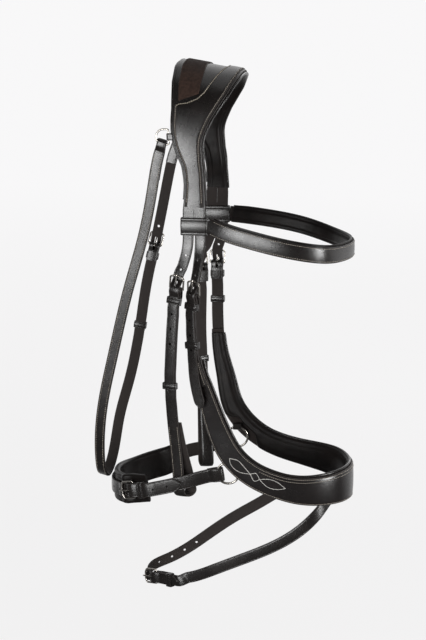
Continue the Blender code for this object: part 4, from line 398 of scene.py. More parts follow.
FLASH_SHARES = (
    (-0.385, 0.020, -1.010, -1.00, 0.0, 0.0),
    (-0.363, -0.120, -1.013, -1.00, -0.9, 0.0),
    (-0.300, -0.255, -1.015, -0.65, -1.0, 0.0),
    (-0.225, -0.360, -1.012, -0.35, -1.0, 0.0),
    (-0.095, -0.440, -1.002, -0.20, -1.0, 0.0),
    (0.040, -0.507, -0.982, -0.15, -1.0, 0.0),
    (0.190, -0.547, -0.958, -0.10, -1.0, 0.0),
    (0.335, -0.573, -0.935, 0.00, -1.0, 0.0),
    (0.480, -0.573, -0.908, 0.05, -1.0, 0.0),
    (0.615, -0.533, -0.872, 0.15, -1.0, 0.0),
    (0.680, -0.440, -0.848, 0.60, -1.0, 0.0),
    (0.727, -0.253, -0.829, 1.00, -0.7, 0.0),
    (0.757, 0.000, -0.821, 1.00, 0.0, 0.0),
    (0.729, 0.253, -0.822, 1.00, 0.7, 0.0),
    (0.665, 0.427, -0.829, 0.60, 1.0, 0.0),
    (0.540, 0.533, -0.834, 0.20, 1.0, 0.0),
    (0.410, 0.587, -0.847, 0.05, 1.0, 0.0),
    (0.260, 0.587, -0.878, 0.00, 1.0, 0.0),
    (0.115, 0.560, -0.908, -0.10, 1.0, 0.0),
    (-0.035, 0.507, -0.943, -0.15, 1.0, 0.0),
    (-0.180, 0.427, -0.978, -0.25, 1.0, 0.0),
    (-0.295, 0.300, -0.998, -0.60, 1.0, 0.0),
    (-0.365, 0.160, -1.006, -1.00, 0.6, 0.0),
)

# Half widths along the headpiece, from its end (0) to the poll (1), as shares of half HEADPIECE_WIDTH_POLL
HEADPIECE_WIDTH_SHARES = (
    (0.00, 0.345), (0.15, 0.295), (0.27, 0.310), (0.41, 0.445), (0.56, 0.600),
    (0.72, 0.845), (0.86, 0.965), (1.00, 0.985),
)
# How much of the padding's roll shows beyond the rear edge, from the headpiece's end (0) to the poll (1)
REAR_ROLL_SHARES = ((0.0, 0.15), (0.30, 0.15), (0.50, 1.0), (1.0, 1.0))
# Rear edge of the facing, which opens forward at the poll round the elastic: as shares of the half width
FACING_REAR_SHARES = (
    (0.00, -1.0), (0.575, -1.0), (0.588, -0.95), (0.614, -0.39), (0.650, 0.0), (0.693, 0.18), (0.775, 0.30),
    (0.886, 0.42), (1.0, 0.50),
)
# The elastic panel: its lower end, the leather behind it, and its front edge as shares of the half width
ELASTIC_END_SHARE = 0.612
ELASTIC_MARGIN = 0.0068
ELASTIC_FRONT_SHARES = ((0.0, -0.70), (0.612, -0.70), (0.680, 0.04), (0.76, -0.03), (1.0, -0.16))
ELASTIC_RIB_STEP = 0.0008
ELASTIC_RIB = 0.00016
ELASTIC_CORNER = 0.0006
ELASTIC_CORNER_OUT = 0.0001
PAD_END_SHARE = 0.03
HEADPIECE_ROLL_END_SHARE = 0.06
HEADPIECE_ROLL_SHARE = 0.35
HEADPIECE_ROLL_RADIUS = 0.0008
FACING_END_SHARE = 0.02
THREAD_END_SHARE = 0.045
# The facing's edge from outside in: inset, how far it is sunk, and how much of the edge finish shows
FACING_EDGE = ((0.0001, 0.0006, 1.0), (0.0007, 0.0, 0.9), (0.0013, 0.0002, 0.9), (0.0019, 0.0004, 0.9),
               (0.0025, 0.0002, 0.8), (0.0033, 0.0, 0.1))
FRONT_ROLL_SHARE = 0.85
ELASTIC_STITCH_SHARE = 0.575
SLIT_RISE = 0.0050
CROWN_REACH = {"right": 0.0172, "left": 0.0235}
CROWN_OVERLAP = 0.0004
CREAM_THREAD_RADIUS = 0.00050
TAB_SEWN_LENGTH = 0.0020
TURN_STITCH_END = 0.004
HANGER_STITCH_START = 0.030
HANGER_STITCH_END = 0.0015
BROWBAND_SEWN = 0.0028
BROWBAND_ROLL = 0.0016
PIPING_DEPTH = 0.0004
PIPING_SINK_SHARE = 0.6
PIPING_SWELL = 0.0007
SEWN_GAP = 0.0001
SLIT_FALL = 0.013
SLIT_HALF_SHARE = 0.3
SLIT_EYE_RADIUS = 0.0009
NOSEBAND_BULGE = 0.0011
NOSEBAND_BULGE_FROM = 0.008
NOSEBAND_BULGE_RANGE = 0.010
NOSEBAND_EDGE_RADIUS = 0.0009
NOSEBAND_PAINTED_EDGE = 0.0004
NOSEBAND_BACK_BEVEL = 0.0003
NOSEBAND_GROOVE_HALF = 0.0007
NOSEBAND_GROOVE_DEPTH = 0.00028
NOSEBAND_LINE_START = 0.012

# Rolled edge of the noseband: middle beyond the leather's edge and thinnest radius
NOSEBAND_ROLL_OUT = 0.0012
NOSEBAND_ROLL_RADIUS = 0.0010

# Half heights along the noseband, from its right top to its left top, as shares of half NOSEBAND_HEIGHT
NOSEBAND_HEIGHT_SHARES = (
    (0.0, 0.36), (0.05, 0.42), (0.11, 0.54), (0.18, 0.64), (0.26, 0.67), (0.33, 0.72), (0.41, 0.86),
    (0.5, 1.0), (0.59, 0.86), (0.67, 0.72), (0.74, 0.67), (0.82, 0.64), (0.89, 0.54), (0.95, 0.42),
    (1.0, 0.36),
)
RIGHT_NOSE_RING_SHARE = 0.231
LEFT_NOSE_RING_SHARE = 0.789
CHIN_START_LENGTH = 0.0160
CHIN_SETTLE = 0.0090
THROAT_SETTLE = 0.0070
CHIN_START_SLOPE_SHARE = 0.16
CHIN_PAD_FROM_SHARE = 0.275
CHIN_PAD_TO_SHARE = 0.775
CHIN_BUCKLE_SHARE = 0.315
CHIN_TAIL_SHARE = 0.150
FLASH_BUCKLE_SHARE = -0.215
FLASH_KEEPER_SHARE = 0.080
FLASH_TAIL_SHARE = 0.102
FLASH_LOOP_SHARE = 0.5056


def unit(vectors):
    """Each row at length one."""
    return vectors / np.linalg.norm(vectors, axis=-1, keepdims=True)


def bent_weight(share):
    """Ease from 0 to 1 with level ends."""
    share = min(max(share, 0.0), 1.0)
    return share * share * (3.0 - 2.0 * share)


def table(rows, share):
    """Read a table of (share, value) rows, by straight lines."""
    places, values = zip(*rows)
    return float(np.interp(share, places, values))


def cubic(knots, values, places):
    """Natural cubic spline through the values, read at the places."""
    count = len(knots)
    steps = np.diff(knots)
    system = np.zeros((count, count))
    right = np.zeros((count, values.shape[1]))
    system[0, 0] = 1.0
    system[-1, -1] = 1.0
    for i in range(1, count - 1):
        system[i, i - 1] = steps[i - 1]
        system[i, i] = 2.0 * (steps[i - 1] + steps[i])
        system[i, i + 1] = steps[i]
        slope_after = (values[i + 1] - values[i]) / steps[i]
        slope_before = (values[i] - values[i - 1]) / steps[i - 1]
        right[i] = 6.0 * (slope_after - slope_before)
    second = np.linalg.solve(system, right)
    spans = np.clip(np.searchsorted(knots, places, side="right") - 1, 0, count - 2)
    step = steps[spans][:, None]
    after = ((places - knots[spans])[:, None]) / step
    before = 1.0 - after
    bow = (before ** 3 - before) * second[spans] + (after ** 3 - after) * second[spans + 1]
    return before * values[spans] + after * values[spans + 1] + bow * step ** 2 / 6.0


class Route:
    """A smooth line with an outward face, read by its length from the start.

    A point beside it is (s, n, w): the length, the way out of the face, and the way across,
    which is forward or up.
    """

    def __init__(self, shares, across_sign, closed=False, lead=(), trail=(), forward=0.0):
        """The lead and the trail are rows of (place, face) before and after the table's, which lie
        this far forward of their shares."""
        rows = np.array(shares, float)
        places = rows[:, :3] * np.array([HEAD_REACH, HEAD_HALF_WIDTH, HEAD_DROP])
        places[:, 0] += forward
        faces = unit(rows[:, 3:])
        places = np.vstack([row[0] for row in lead] + [places] + [row[0] for row in trail])
        faces = np.vstack([row[1] for row in lead] + [faces] + [row[1] for row in trail])
        wrapped = 4 if closed else 0
        if closed:
            places = np.vstack([places[-wrapped:], places, places[:wrapped + 1]])
            faces = np.vstack([faces[-wrapped:], faces, faces[:wrapped + 1]])
        knots = np.concatenate([[0.0], np.cumsum(np.linalg.norm(np.diff(places, axis=0), axis=1))])
        first = knots[wrapped]
        last = knots[-1 - wrapped]
        fine = np.linspace(first, last, SAMPLES_PER_SPAN * len(places) + 1)
        self.across_sign = across_sign
        self.closed = closed
        self.places = cubic(knots, places, fine)
        self.faces = unit(cubic(knots, faces, fine))
        self.measure()

    def measure(self):
        """Work out lengths, directions and the spacing of stations from the fine samples."""
        chords = np.linalg.norm(np.diff(self.places, axis=0), axis=1)
        self.lengths = np.concatenate([[0.0], np.cumsum(chords)])
        self.length = float(self.lengths[-1])
        if self.closed:
            before = np.vstack([self.places[-2], self.places[:-1]])
            after = np.vstack([self.places[1:], self.places[1]])
            self.along = unit(after - before)
        else:
            self.along = unit(np.gradient(self.places, self.lengths, axis=0))
        lean = np.sum(self.faces * self.along, axis=1, keepdims=True)
        self.out = unit(self.faces - lean * self.along)
        self.across = self.across_sign * np.cross(self.along, self.out)
        turning = np.linalg.norm(np.gradient(self.along, self.lengths, axis=0), axis=1)
        twisting = np.linalg.norm(np.gradient(self.out, self.lengths, axis=0), axis=1)
        sharp = np.maximum(turning, twisting) + 1.0e-6
        steps = np.clip(np.sqrt(8.0 * FACET_SAG / sharp), STATION_MIN, STATION_MAX)
        grid = []
        last = 0.0
        shortest = STATION_MAX
        for place, step in zip(self.lengths, steps):
            shortest = min(shortest, step)
            if place - last >= shortest:
                grid.append(float(place))
                last = place
                shortest = STATION_MAX
        self.grid = grid

    def read(self, field, s):
        if self.closed:
            s = s % self.length
        return np.array([np.interp(s, self.lengths, field[:, k]) for k in range(3)])

    def frame(self, s):
        """Place, along, out and across at a length."""
        along = unit(self.read(self.along, s))
        out = self.read(self.out, s)
        out = unit(out - np.dot(out, along) * along)
        across = self.across_sign * np.cross(along, out)
        place = self.read(self.places, s)
        if not self.closed:
            place = place + along * (min(s, 0.0) + max(s - self.length, 0.0))
        return place, along, out, across

    def point(self, s, n=0.0, w=0.0):
        place, _, out, across = self.frame(s)
        return place + out * n + across * w

    def at_drop(self, share, from_end=False):
        """The length at which the route has dropped by this share of HEAD_DROP."""
        below = self.places[:, 2] <= -share * HEAD_DROP
        if from_end:
            return float(self.lengths[len(below) - 1 - int(np.argmax(below[::-1]))])
        return float(self.lengths[int(np.argmax(below))])

    def at_side(self, share):
        """The length at which the route first passes this share of HEAD_HALF_WIDTH to the right."""
        return float(self.lengths[int(np.argmax(self.places[:, 1] <= share * HEAD_HALF_WIDTH))])

    def straighten(self, middle, half):
        """Replace a stretch by its own tangent, eased back into the curve at both ends."""
        place, along, out, _ = self.frame(middle)
        offsets = self.lengths - middle
        if self.closed:
            offsets = (offsets + self.length / 2.0) % self.length - self.length / 2.0
        weights = np.array([1.0 - bent_weight((abs(d) - half) / STRAIGHT_BLEND) for d in offsets])[:, None]
        line = place + offsets[:, None] * along
        self.places = weights * line + (1.0 - weights) * self.places
        self.faces = unit(weights * out + (1.0 - weights) * self.out)
        self.measure()


def joined(*stretches):
    """One path from several, without doubled stations."""
    path = []
    for stretch in stretches:
        for station in stretch:
            if not path or math.dist(path[-1][:2], station[:2]) > GAP:
                path.append(station)
    return path


# Heights of the layers at a buckle, out from the middle of the strap
FOLD_RADIUS = BUCKLE_WIRE + GAP + LEATHER / 2.0
TAIL_HEIGHT = LEATHER + GAP
TAIL_OVER_FOLD = FOLD_RADIUS + LEATHER + GAP
TURN_BACK_HEIGHT = -(LEATHER + KEEPER_THICKNESS + 2.0 * KEEPER_CLEARANCE + GAP / 2.0)
TOP_BAR_HEIGHT = LEATHER / 2.0 + GAP + BUCKLE_WIRE
TONGUE_RING = BUCKLE_WIRE + TONGUE_CLEARANCE + TONGUE_RADIUS
TONGUE_TIP_HEIGHT = TOP_BAR_HEIGHT + BUCKLE_WIRE + TONGUE_CLEARANCE + TONGUE_RADIUS
TAIL_RISE_START = -BUCKLE_LENGTH + BUCKLE_WIRE + 2.0 * GAP
TAIL_RISE_END = -3.0 * GAP
TAIL_FALL_START = 3.0 * GAP
FOLD_FALL_END = KEEPER_LENGTH
TAIL_FALL_END = FOLD_FALL_END + 3.0 * GAP
FIXED_KEEPER_PLACE = TAIL_FALL_END + FIXED_KEEPER_SHARE * KEEPER_LENGTH


# Floor and background
FLOOR_Z = -0.700
FLOOR_REACH = 40.0
BACKGROUND = (0.93, 0.925, 0.93)
# What gloss sees in front of the object, as a share of the background, and where it ends
STUDIO_FRONT = 0.05
STUDIO_FRONT_REACH = (0.05, 0.55)
# The floor's glow is painted darker near the camera and brighter far off: painted light falloff from
# FLOOR_NEAR to FLOOR_FAR across FLOOR_FAR_REACH in Y
FLOOR_NEAR = (0.945, 0.94, 0.942)
FLOOR_FAR = (1.03, 1.025, 1.03)
FLOOR_FAR_REACH = (0.5, 3.5)
FLOOR_GLOW = 0.88
WORLD_LIGHT = (0.95, 0.97, 1.0)
WORLD_STRENGTH = 0.28
# Each lamp's name, place, aim, size and power
LAMPS = (
    ("key", (-0.62, -1.74, -0.29), (0.0, 0.0, -0.27), (1.06, 0.44), 16.5),
    ("fill", (1.60, -0.78, -0.36), (0.10, 0.0, -0.42), (0.44, 0.50), 14.0),
    ("top", (0.1, -0.1, 1.4), (0.0, 0.0, -0.2), (0.9, 0.9), 1.3),
    ("back", (0.6, 1.4, 0.4), (0.0, 0.0, -0.3), (0.8, 0.8), 5.0),
)

# Fineness of the visible surfaces
FINE_STEP = 0.0022
TIP_STEP = 0.0008
WIRE_SIDES = 14

# Outline of a strap from its edge inwards, in metres of inset, shares of half the thickness, and how much
# of the edge finish shows there
EDGE_PROFILE = (
    (0.00040, -1.00, 1.0), (0.00008, -0.75, 1.0), (0.0, -0.30, 1.0), (0.0, 0.25, 1.0), (0.00012, 0.60, 0.9),
    (0.00038, 0.88, 0.7), (0.00075, 1.00, 0.25), (0.00115, 0.99, 0.10), (0.00140, 0.90, 0.45),
    (0.00165, 0.99, 0.05), (0.00210, 1.00, 0.0),
)
STRAP_CROWN = 0.00030
FACING_CROWN_SHARE = 0.030

# How rough the edges and the back of the leather are
DULL_ROUGHNESS = 0.85

# Thread
STITCH_LENGTH = 0.0014
STITCH_PITCH = 0.0025
THREAD_RADIUS = 0.00032
THREAD_SIDES = 6
STITCH_INSET = 0.0019
STITCH_SINK = 0.0002


def spread(start, end, step=FINE_STEP):
    """Evenly spaced lengths from start to end."""
    count = max(int(math.ceil(abs(end - start) / step)), 1)
    return [start + (end - start) * i / count for i in range(count + 1)]


def run(start, end, n=0.0, step=FINE_STEP):
    """Evenly spaced stations from start to end at one height over the route."""
    return [(s, n, 0.0) for s in spread(start, end, step)]


def tail_run(start, end):
    """Stations of a billet's tail on its strap, closer together at the tip, which is the end."""
    tip = end - math.copysign(TIP_LENGTH, end - start)
    return run(start, tip, TAIL_HEIGHT) + run(tip, end, TAIL_HEIGHT, TIP_STEP)


def round_points(centre, first, second, radius, count):
    """Points round a circle that is spanned by two directions."""
    angles = [2.0 * math.pi * k / count for k in range(count)]
    return [centre + (first * math.cos(a) + second * math.sin(a)) * radius for a in angles]


def ease(start, end, n_start, n_end, count=12):
    """Stations from one height to another, level at both ends."""
    shares = [i / count for i in range(count + 1)]
    return [(start + (end - start) * k, n_start + (n_end - n_start) * bent_weight(k), 0.0) for k in shares]


def add_piece(name, mesh_bm, look, body=None, replaces=(), sharp=35.0):
    """Close a bmesh into a named piece that rides on a body and stands for CAD nodes."""
    bmesh.ops.recalc_face_normals(mesh_bm, faces=mesh_bm.faces)
    if mesh_bm.calc_volume(signed=True) < 0.0:
        bmesh.ops.reverse_faces(mesh_bm, faces=mesh_bm.faces)
    mesh = bpy.data.meshes.new(name)
    mesh_bm.to_mesh(mesh)
    mesh_bm.free()
    made = bpy.data.objects.new(name, mesh)
    bpy.context.scene.collection.objects.link(made)
    mesh.materials.append(look)
    mesh.shade_smooth()
    mesh.set_sharp_from_angle(angle=math.radians(sharp))
    if body is not None:
        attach(made, body)
    if replaces:
        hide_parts(*replaces)
    return made


def skin(mesh_bm, rings, marks=None, closed=False, caps=True):
    """Add a tube of faces through rings of points to a bmesh; marks are the edge finish of each point."""
    layer = mesh_bm.verts.layers.float.get("edge") or mesh_bm.verts.layers.float.new("edge")
    layers = []
    for ring in rings:
        verts = [mesh_bm.verts.new(Vector(p)) for p in ring]
        if marks is not None:
            for vert, mark in zip(verts, marks):
                vert[layer] = mark
        layers.append(verts)
    count = len(layers)
    size = len(layers[0])
    for i in range(count if closed else count - 1):
        here, there = layers[i], layers[(i + 1) % count]
        for k in range(size):
            mesh_bm.faces.new((here[k], here[(k + 1) % size], there[(k + 1) % size], there[k]))
    if not closed and caps:
        mesh_bm.faces.new(layers[0])
        mesh_bm.faces.new(layers[-1][::-1])


def strap_outline(half_width, crown):
    """Outline of a strap across as (w, n, mark): rounded edges with a crease beside them."""
    half = LEATHER / 2.0
    rows = []
    for inset, height, mark in EDGE_PROFILE:
        w = half_width - min(inset, 0.8 * half_width * inset / EDGE_PROFILE[-1][0])
        lift = crown * (1.0 - (w / half_width) ** 2) if height > 0.0 else 0.0
        rows.append((w, half * height + lift, mark))
    inner = rows[-1][0]
    middle = []
    for k in (0.6, 0.3, 0.0, -0.3, -0.6):
        middle.append((inner * k, half + crown * (1.0 - (inner * k / half_width) ** 2), 0.0))
    left = [(-w, n, mark) for w, n, mark in reversed(rows)]
    return rows + middle + left + [(0.0, -half, 1.0)]


def path_frames(route, path):
    """Centre, across and over of each station of a path that may fold back over itself."""
    centres = np.array([route.point(*station) for station in path])
    last = len(path) - 1
    rows = []
    side = None
    for i, centre in enumerate(centres):
        heading = unit(centres[min(i + 1, last)] - centres[max(i - 1, 0)])
        _, along, out, across = route.frame(path[i][0])
        over = unit(np.cross(across, heading))
        if side is None:
            handed = np.dot(np.cross(across, along), out)
            forward = 1.0 if path[1][0] > path[0][0] else -1.0
            side = -1.0 if handed * forward * path_flips(path) < 0.0 else 1.0
        rows.append((centre, across, over * side))
    return rows


def path_flips(path):
    """-1 where a path starts on its turned-back layer, which lies under the outer one."""
    return -1.0 if path[0][1] < -LEATHER else 1.0


def strap(name, rows, half_widths, body, replaces, crown=STRAP_CROWN, holes=()):
    """A leather strap through rows of (centre, across, over), with one half width or one for each row."""
    rings = []
    for i, (centre, across, over) in enumerate(rows):
        outline = strap_outline(half_widths[i] if isinstance(half_widths, list) else half_widths, crown)
        rings.append([centre + across * w + over * n for w, n, _ in outline])
    mesh_bm = bmesh.new()
    skin(mesh_bm, rings, [mark for _, _, mark in outline])
    made = add_piece(name, mesh_bm, BLACK_LEATHER, None, replaces)
    if holes:
        punch(made, holes)
    if body is not None:
        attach(made, body)
    return made


def punch(target, prisms):
    """Cut holes out of a piece, and give each point the edge finish of the nearest old point."""
    marks = [entry.value for entry in target.data.attributes["edge"].data]
    nearest = KDTree(len(marks))
    for vert in target.data.vertices:
        nearest.insert(vert.co, vert.index)
    nearest.balance()
    mesh_bm = bmesh.new()
    for floor, up in prisms:
        lower = [mesh_bm.verts.new(Vector(p)) for p in floor]
        upper = [mesh_bm.verts.new(Vector(p + up)) for p in floor]
        size = len(floor)
        for k in range(size):
            mesh_bm.faces.new((lower[k], lower[(k + 1) % size], upper[(k + 1) % size], upper[k]))
        mesh_bm.faces.new(lower[::-1])
        mesh_bm.faces.new(upper)
    cutter = add_piece(target.name + "_cutter", mesh_bm, BLACK_LEATHER)
    modifier = target.modifiers.new("holes", "BOOLEAN")
    modifier.operation = "DIFFERENCE"
    modifier.object = cutter
    bpy.context.view_layer.update()
    result = bpy.data.meshes.new_from_object(target.evaluated_get(bpy.context.evaluated_depsgraph_get()))
    target.modifiers.clear()
    target.data = result
    for vert, entry in zip(result.vertices, result.attributes["edge"].data):
        entry.value = marks[nearest.find(vert.co)[1]]
    bpy.data.objects.remove(cutter, do_unlink=True)
    result.shade_smooth()
    result.set_sharp_from_angle(angle=math.radians(35.0))


def slot_prism(route, s_from, s_to, n_low, n_high):
    """The hole for a tongue: from one length to another, with round ends, between two heights."""
    place, along, out, across = route.frame((s_from + s_to) / 2.0)
    base = place + out * n_low
    straight = abs(s_to - s_from) / 2.0 - TONGUE_SLOT_HALF
    outline = []
    for end in (1, -1):
        for k in range(9):
            angle = math.radians(-90 + 22.5 * k) + (0.0 if end > 0 else math.pi)
            ahead = end * straight + TONGUE_SLOT_HALF * math.cos(angle)
            outline.append((ahead, TONGUE_SLOT_HALF * math.sin(angle)))
    return [base + along * a + across * b for a, b in outline], out * (n_high - n_low)


def hole_prism(route, s, height=0.0, radius=HOLE_RADIUS):
    """A round punched hole through leather at a height over the route."""
    place, along, out, across = route.frame(s)
    ring = round_points(place + out * (height - CUT_OVERRUN), along, across, radius, 16)
    return ring, out * (2.0 * CUT_OVERRUN)


def arc_points(centre_a, centre_b, radius, first, last, count):
    """Points (a, b) on an arc, in degrees."""
    angles = [math.radians(first + (last - first) * k / count) for k in range(count + 1)]
    return [(centre_a + radius * math.cos(t), centre_b + radius * math.sin(t)) for t in angles]


def keeper(name, place_frame, half_width, n_low, n_high, length, thickness, body, replaces, w_middle=0.0):
    """A leather band round a strap: rounded corners, soft edges and a crease beside each edge."""
    place, along, out, across = place_frame
    half_profile = [(-end, wall_share) for end, wall_share in KEEPER_SHARES[:0:-1]]
    rings = []
    marks = []
    for end, wall_share in half_profile + list(KEEPER_SHARES):
        wall = thickness * wall_share
        corner = 0.55 * thickness + wall
        wide = half_width + wall
        low = n_low - wall
        high = n_high + wall
        outline = []
        for a, b, first in ((wide - corner, high - corner, 0), (-wide + corner, high - corner, 90),
                            (-wide + corner, low + corner, 180), (wide - corner, low + corner, 270)):
            outline += arc_points(a, b, corner, first, first + 90, 5)
        base = place + along * (end * length) + across * w_middle
        rings.append([base + across * w + out * n for w, n in outline])
        marks.append(1.0 if wall_share < 0.7 else 0.1)
    mesh_bm = bmesh.new()
    layer = mesh_bm.verts.layers.float.new("edge")
    skin(mesh_bm, rings, closed=True)
    mesh_bm.verts.ensure_lookup_table()
    size = len(rings[0])
    for i, vert in enumerate(mesh_bm.verts):
        vert[layer] = marks[i // size]
    return add_piece(name, mesh_bm, BLACK_LEATHER, body, replaces)


def smooth(points, per_span, closed=False):
    """A smooth curve through points, by Catmull-Rom."""
    points = np.array(points)
    count = len(points)
    last = count - 1
    rows = []
    for i in range(count if closed else last):
        near = [(i + k - 1) % count if closed else min(max(i + k - 1, 0), last) for k in range(4)]
        p0, p1, p2, p3 = points[near]
        for j in range(per_span):
            t = j / per_span
            rows.append(0.5 * (2.0 * p1 + (p2 - p0) * t + (2.0 * p0 - 5.0 * p1 + 4.0 * p2 - p3) * t * t
                               + (3.0 * p1 - p0 - 3.0 * p2 + p3) * t ** 3))
    return rows if closed else rows + [points[last]]


def wire_rings(points, normal, radius, closed, sides):
    """Rings round a wire, with one radius or one for each point."""
    count = len(points)
    rings = []
    for i, centre in enumerate(points):
        before = points[i - 1] if closed or i > 0 else centre
        after = points[(i + 1) % count] if closed or i < count - 1 else centre
        heading = unit(np.array(after) - np.array(before))
        sideways = unit(normal - np.dot(normal, heading) * heading)
        here = radius[i] if isinstance(radius, list) else radius
        rings.append(round_points(centre, np.cross(heading, sideways), sideways, here, sides))
    return rings


def metal_wire(name, points, normal, radius, closed, body):
    """A polished round wire in the place of the node of the same name."""
    mesh_bm = bmesh.new()
    skin(mesh_bm, wire_rings(points, normal, radius, closed, WIRE_SIDES), closed=closed)
    add_piece(name, mesh_bm, STEEL, body, [name], sharp=60.0)


class Thread:
    """Stitches of one colour on one body, gathered into one piece."""

    def __init__(self, name, body, look, radius=THREAD_RADIUS):
        self.name = name
        self.body = body
        self.look = look
        self.radius = radius
        self.mesh_bm = bmesh.new()

    def stitch(self, ends, out):
        """One stitch from point to point that dips into the leather at both ends."""
        start, end = (np.array(p) for p in ends)
        sink = 1.2 * self.radius
        rise = 0.55 * self.radius
        points = []
        arch = ((-0.02, -sink), (0.06, 0.0), (0.22, rise), (0.78, rise), (0.94, 0.0), (1.02, -sink))
        for share, height in arch:
            points.append(start + (end - start) * share + out * height)
        normal = unit(np.cross(end - start, out))
        skin(self.mesh_bm, wire_rings(points, normal, self.radius, False, THREAD_SIDES))

    def row(self, rows, places, heights, pitch=STITCH_PITCH, length=STITCH_LENGTH):
        """A row of stitches on a band: rows of (centre, across, over), and the places across and the heights
        over them, each one number or one for each row."""
        line = []
        for i, (centre, across, over) in enumerate(rows):
            w = places[i] if isinstance(places, list) else places
            height = heights[i] if isinstance(heights, list) else heights
            line.append(centre + across * w + over * height)
        points = np.array(line)
        spans = np.concatenate([[0.0], np.cumsum(np.linalg.norm(np.diff(points, axis=0), axis=1))])
        overs = np.array([over for _, _, over in rows])

        def read(field, place):
            return np.array([np.interp(place, spans, field[:, k]) for k in range(3)])

        count = max(int(spans[-1] / pitch), 1)
        gap = spans[-1] / count
        for i in range(count):
            first = gap * i + (gap - length) / 2.0
            over = unit(read(overs, first + length / 2.0))
            self.stitch((read(points, first), read(points, first + length)), over)

    def finish(self):
        """Make the piece."""
        add_piece(self.name, self.mesh_bm, self.look, self.body, sharp=80.0)


class Buckle:
    """A single-tongue buckle on a route. u is the length from its lower bar, positive on the strap
    that is turned round that bar and negative on the billet that comes in under the upper bar."""

    def __init__(self, route, s_low, sense, strap_half):
        self.route = route
        self.sense = sense
        self.strap_half = strap_half
        self.s_low = s_low

    def s(self, u):
        return self.s_low + self.sense * u

    def laid(self, stations):
        return [(self.s(u), n, w) for u, n, w in stations]

    def turned_end(self):
        """The strap's turned-back layer and the fold round the lower bar, ending level on the strap."""
        arc = []
        for k in range(13):
            angle = math.radians(-90 - 15 * k)
            arc.append((FOLD_RADIUS * math.cos(angle), FOLD_RADIUS * math.sin(angle), 0.0))
        back = ease(TURN_BACK_LENGTH * TURN_BACK_EASE_SHARE, 0.0, TURN_BACK_HEIGHT, -FOLD_RADIUS, 9)
        outer = ease(0.0, FOLD_FALL_END, FOLD_RADIUS, 0.0, 9)
        return self.laid(joined([(TURN_BACK_LENGTH, TURN_BACK_HEIGHT, 0.0)], back, arc, outer))

    def tail_over(self):
        """The billet from the upper bar, over the fold and down onto the strap."""
        rise = ease(TAIL_RISE_START, TAIL_RISE_END, 0.0, TAIL_OVER_FOLD, 14)
        fall = ease(TAIL_FALL_START, TAIL_FALL_END, TAIL_OVER_FOLD, TAIL_HEIGHT, 10)
        return self.laid(joined(rise, fall))

    def rigid(self, u, n, w):
        place, along, out, across = self.route.frame(self.s_low)
        return place + along * (self.sense * u) + out * n + across * w

    def build_frame(self, name, body):
        """The frame: lower bar, bent sides and the bowed, wider upper bar."""
        half = self.strap_half + BUCKLE_SIDE_CLEARANCE + BUCKLE_WIRE
        corner = 2.0 * BUCKLE_WIRE
        top = -BUCKLE_LENGTH
        outline = [(0.0, -0.25 * half), (0.0, 0.25 * half)]
        outline += arc_points(-corner, half - corner, corner, 0, 90, 4)
        outline += arc_points(top + corner, half - corner, corner, 90, 180, 4)
        for k in (0.45, 0.15, -0.15, -0.45):
            outline.append((top - BUCKLE_ARCH * (1.0 - (2.0 * k) ** 2 * BUCKLE_BOW_SHARE), k * half * 1.25))
        outline += arc_points(top + corner, -half + corner, corner, 180, 270, 4)
        outline += arc_points(-corner, -half + corner, corner, 270, 360, 4)
        points = []
        for u, w in outline:
            height = TOP_BAR_HEIGHT * min(max(-u / BUCKLE_LENGTH, 0.0), 1.0)
            points.append(self.rigid(u, height, w))
        normal = self.route.frame(self.s_low)[2]
        metal_wire(name, smooth(points, 3, closed=True), normal, BUCKLE_WIRE, True, body)

    def build_tongue(self, name):
        """The tongue: a ring round the lower bar and a blade that rests on the upper one."""
        points = []
        for degrees in (-150, -110, -70, -30, 10, 50, 85, 112):
            angle = math.radians(degrees)
            points.append(self.rigid(TONGUE_RING * math.cos(angle), TONGUE_RING * math.sin(angle), 0.0))
        tip_u = -BUCKLE_LENGTH - BUCKLE_ARCH - TONGUE_OVERHANG
        for share in (0.5, 0.9, 1.0):
            height = TONGUE_RING + (TONGUE_TIP_HEIGHT - TONGUE_RING) * min(share / 0.9, 1.0)
            points.append(self.rigid(tip_u * share, height, 0.0))
        fine = smooth(points, 4)
        last = len(fine) - 1
        radii = [TONGUE_RADIUS * min(1.0, 0.55 + 0.12 * (last - i)) for i in range(len(fine))]
        normal = self.route.frame(self.s_low)[3]
        metal_wire(name, fine, normal, radii, False, name)

    def fold_slot(self):
        """The slot in the fold that leaves the tongue free."""
        reach = FOLD_RADIUS + LEATHER
        return slot_prism(self.route, self.s(-reach), self.s(reach), TURN_BACK_HEIGHT - LEATHER,
                          FOLD_RADIUS + (LEATHER + GAP) / 2.0)

    def tail_slot(self):
        """The hole that the tongue is in, drawn out along the billet by its slant."""
        far, near = TAIL_SLOT_SHARES
        return slot_prism(self.route, self.s(-far * BUCKLE_LENGTH), self.s(-near * BUCKLE_LENGTH),
                          -2.0 * LEATHER, TAIL_OVER_FOLD + LEATHER)

    def hole_place(self, step):
        """Where a punched hole lies: whole pitches from the one that the tongue is in."""
        return self.s(HOLE_PITCH * step - HOLE_PLACE_SHARE * BUCKLE_LENGTH)

    def holes(self, steps, height=0.0):
        """The punched holes at these steps."""
        return [hole_prism(self.route, self.hole_place(step), height) for step in steps]

    def top_bar(self):
        return self.rigid(-BUCKLE_LENGTH, 0.0, 0.0)

    def frame_at_low(self):
        place, along, out, across = self.route.frame(self.s_low)
        return place, along * self.sense, out, across

    def build_keeper(self, name, s, body, clearance=RUNNER_CLEARANCE):
        """A keeper or a runner round the strap and the tail that lies on it."""
        keeper(name, self.route.frame(s), self.strap_half + clearance, -LEATHER / 2.0 - clearance,
               TAIL_HEIGHT + LEATHER / 2.0 + clearance, KEEPER_LENGTH, KEEPER_THICKNESS, body, [name])

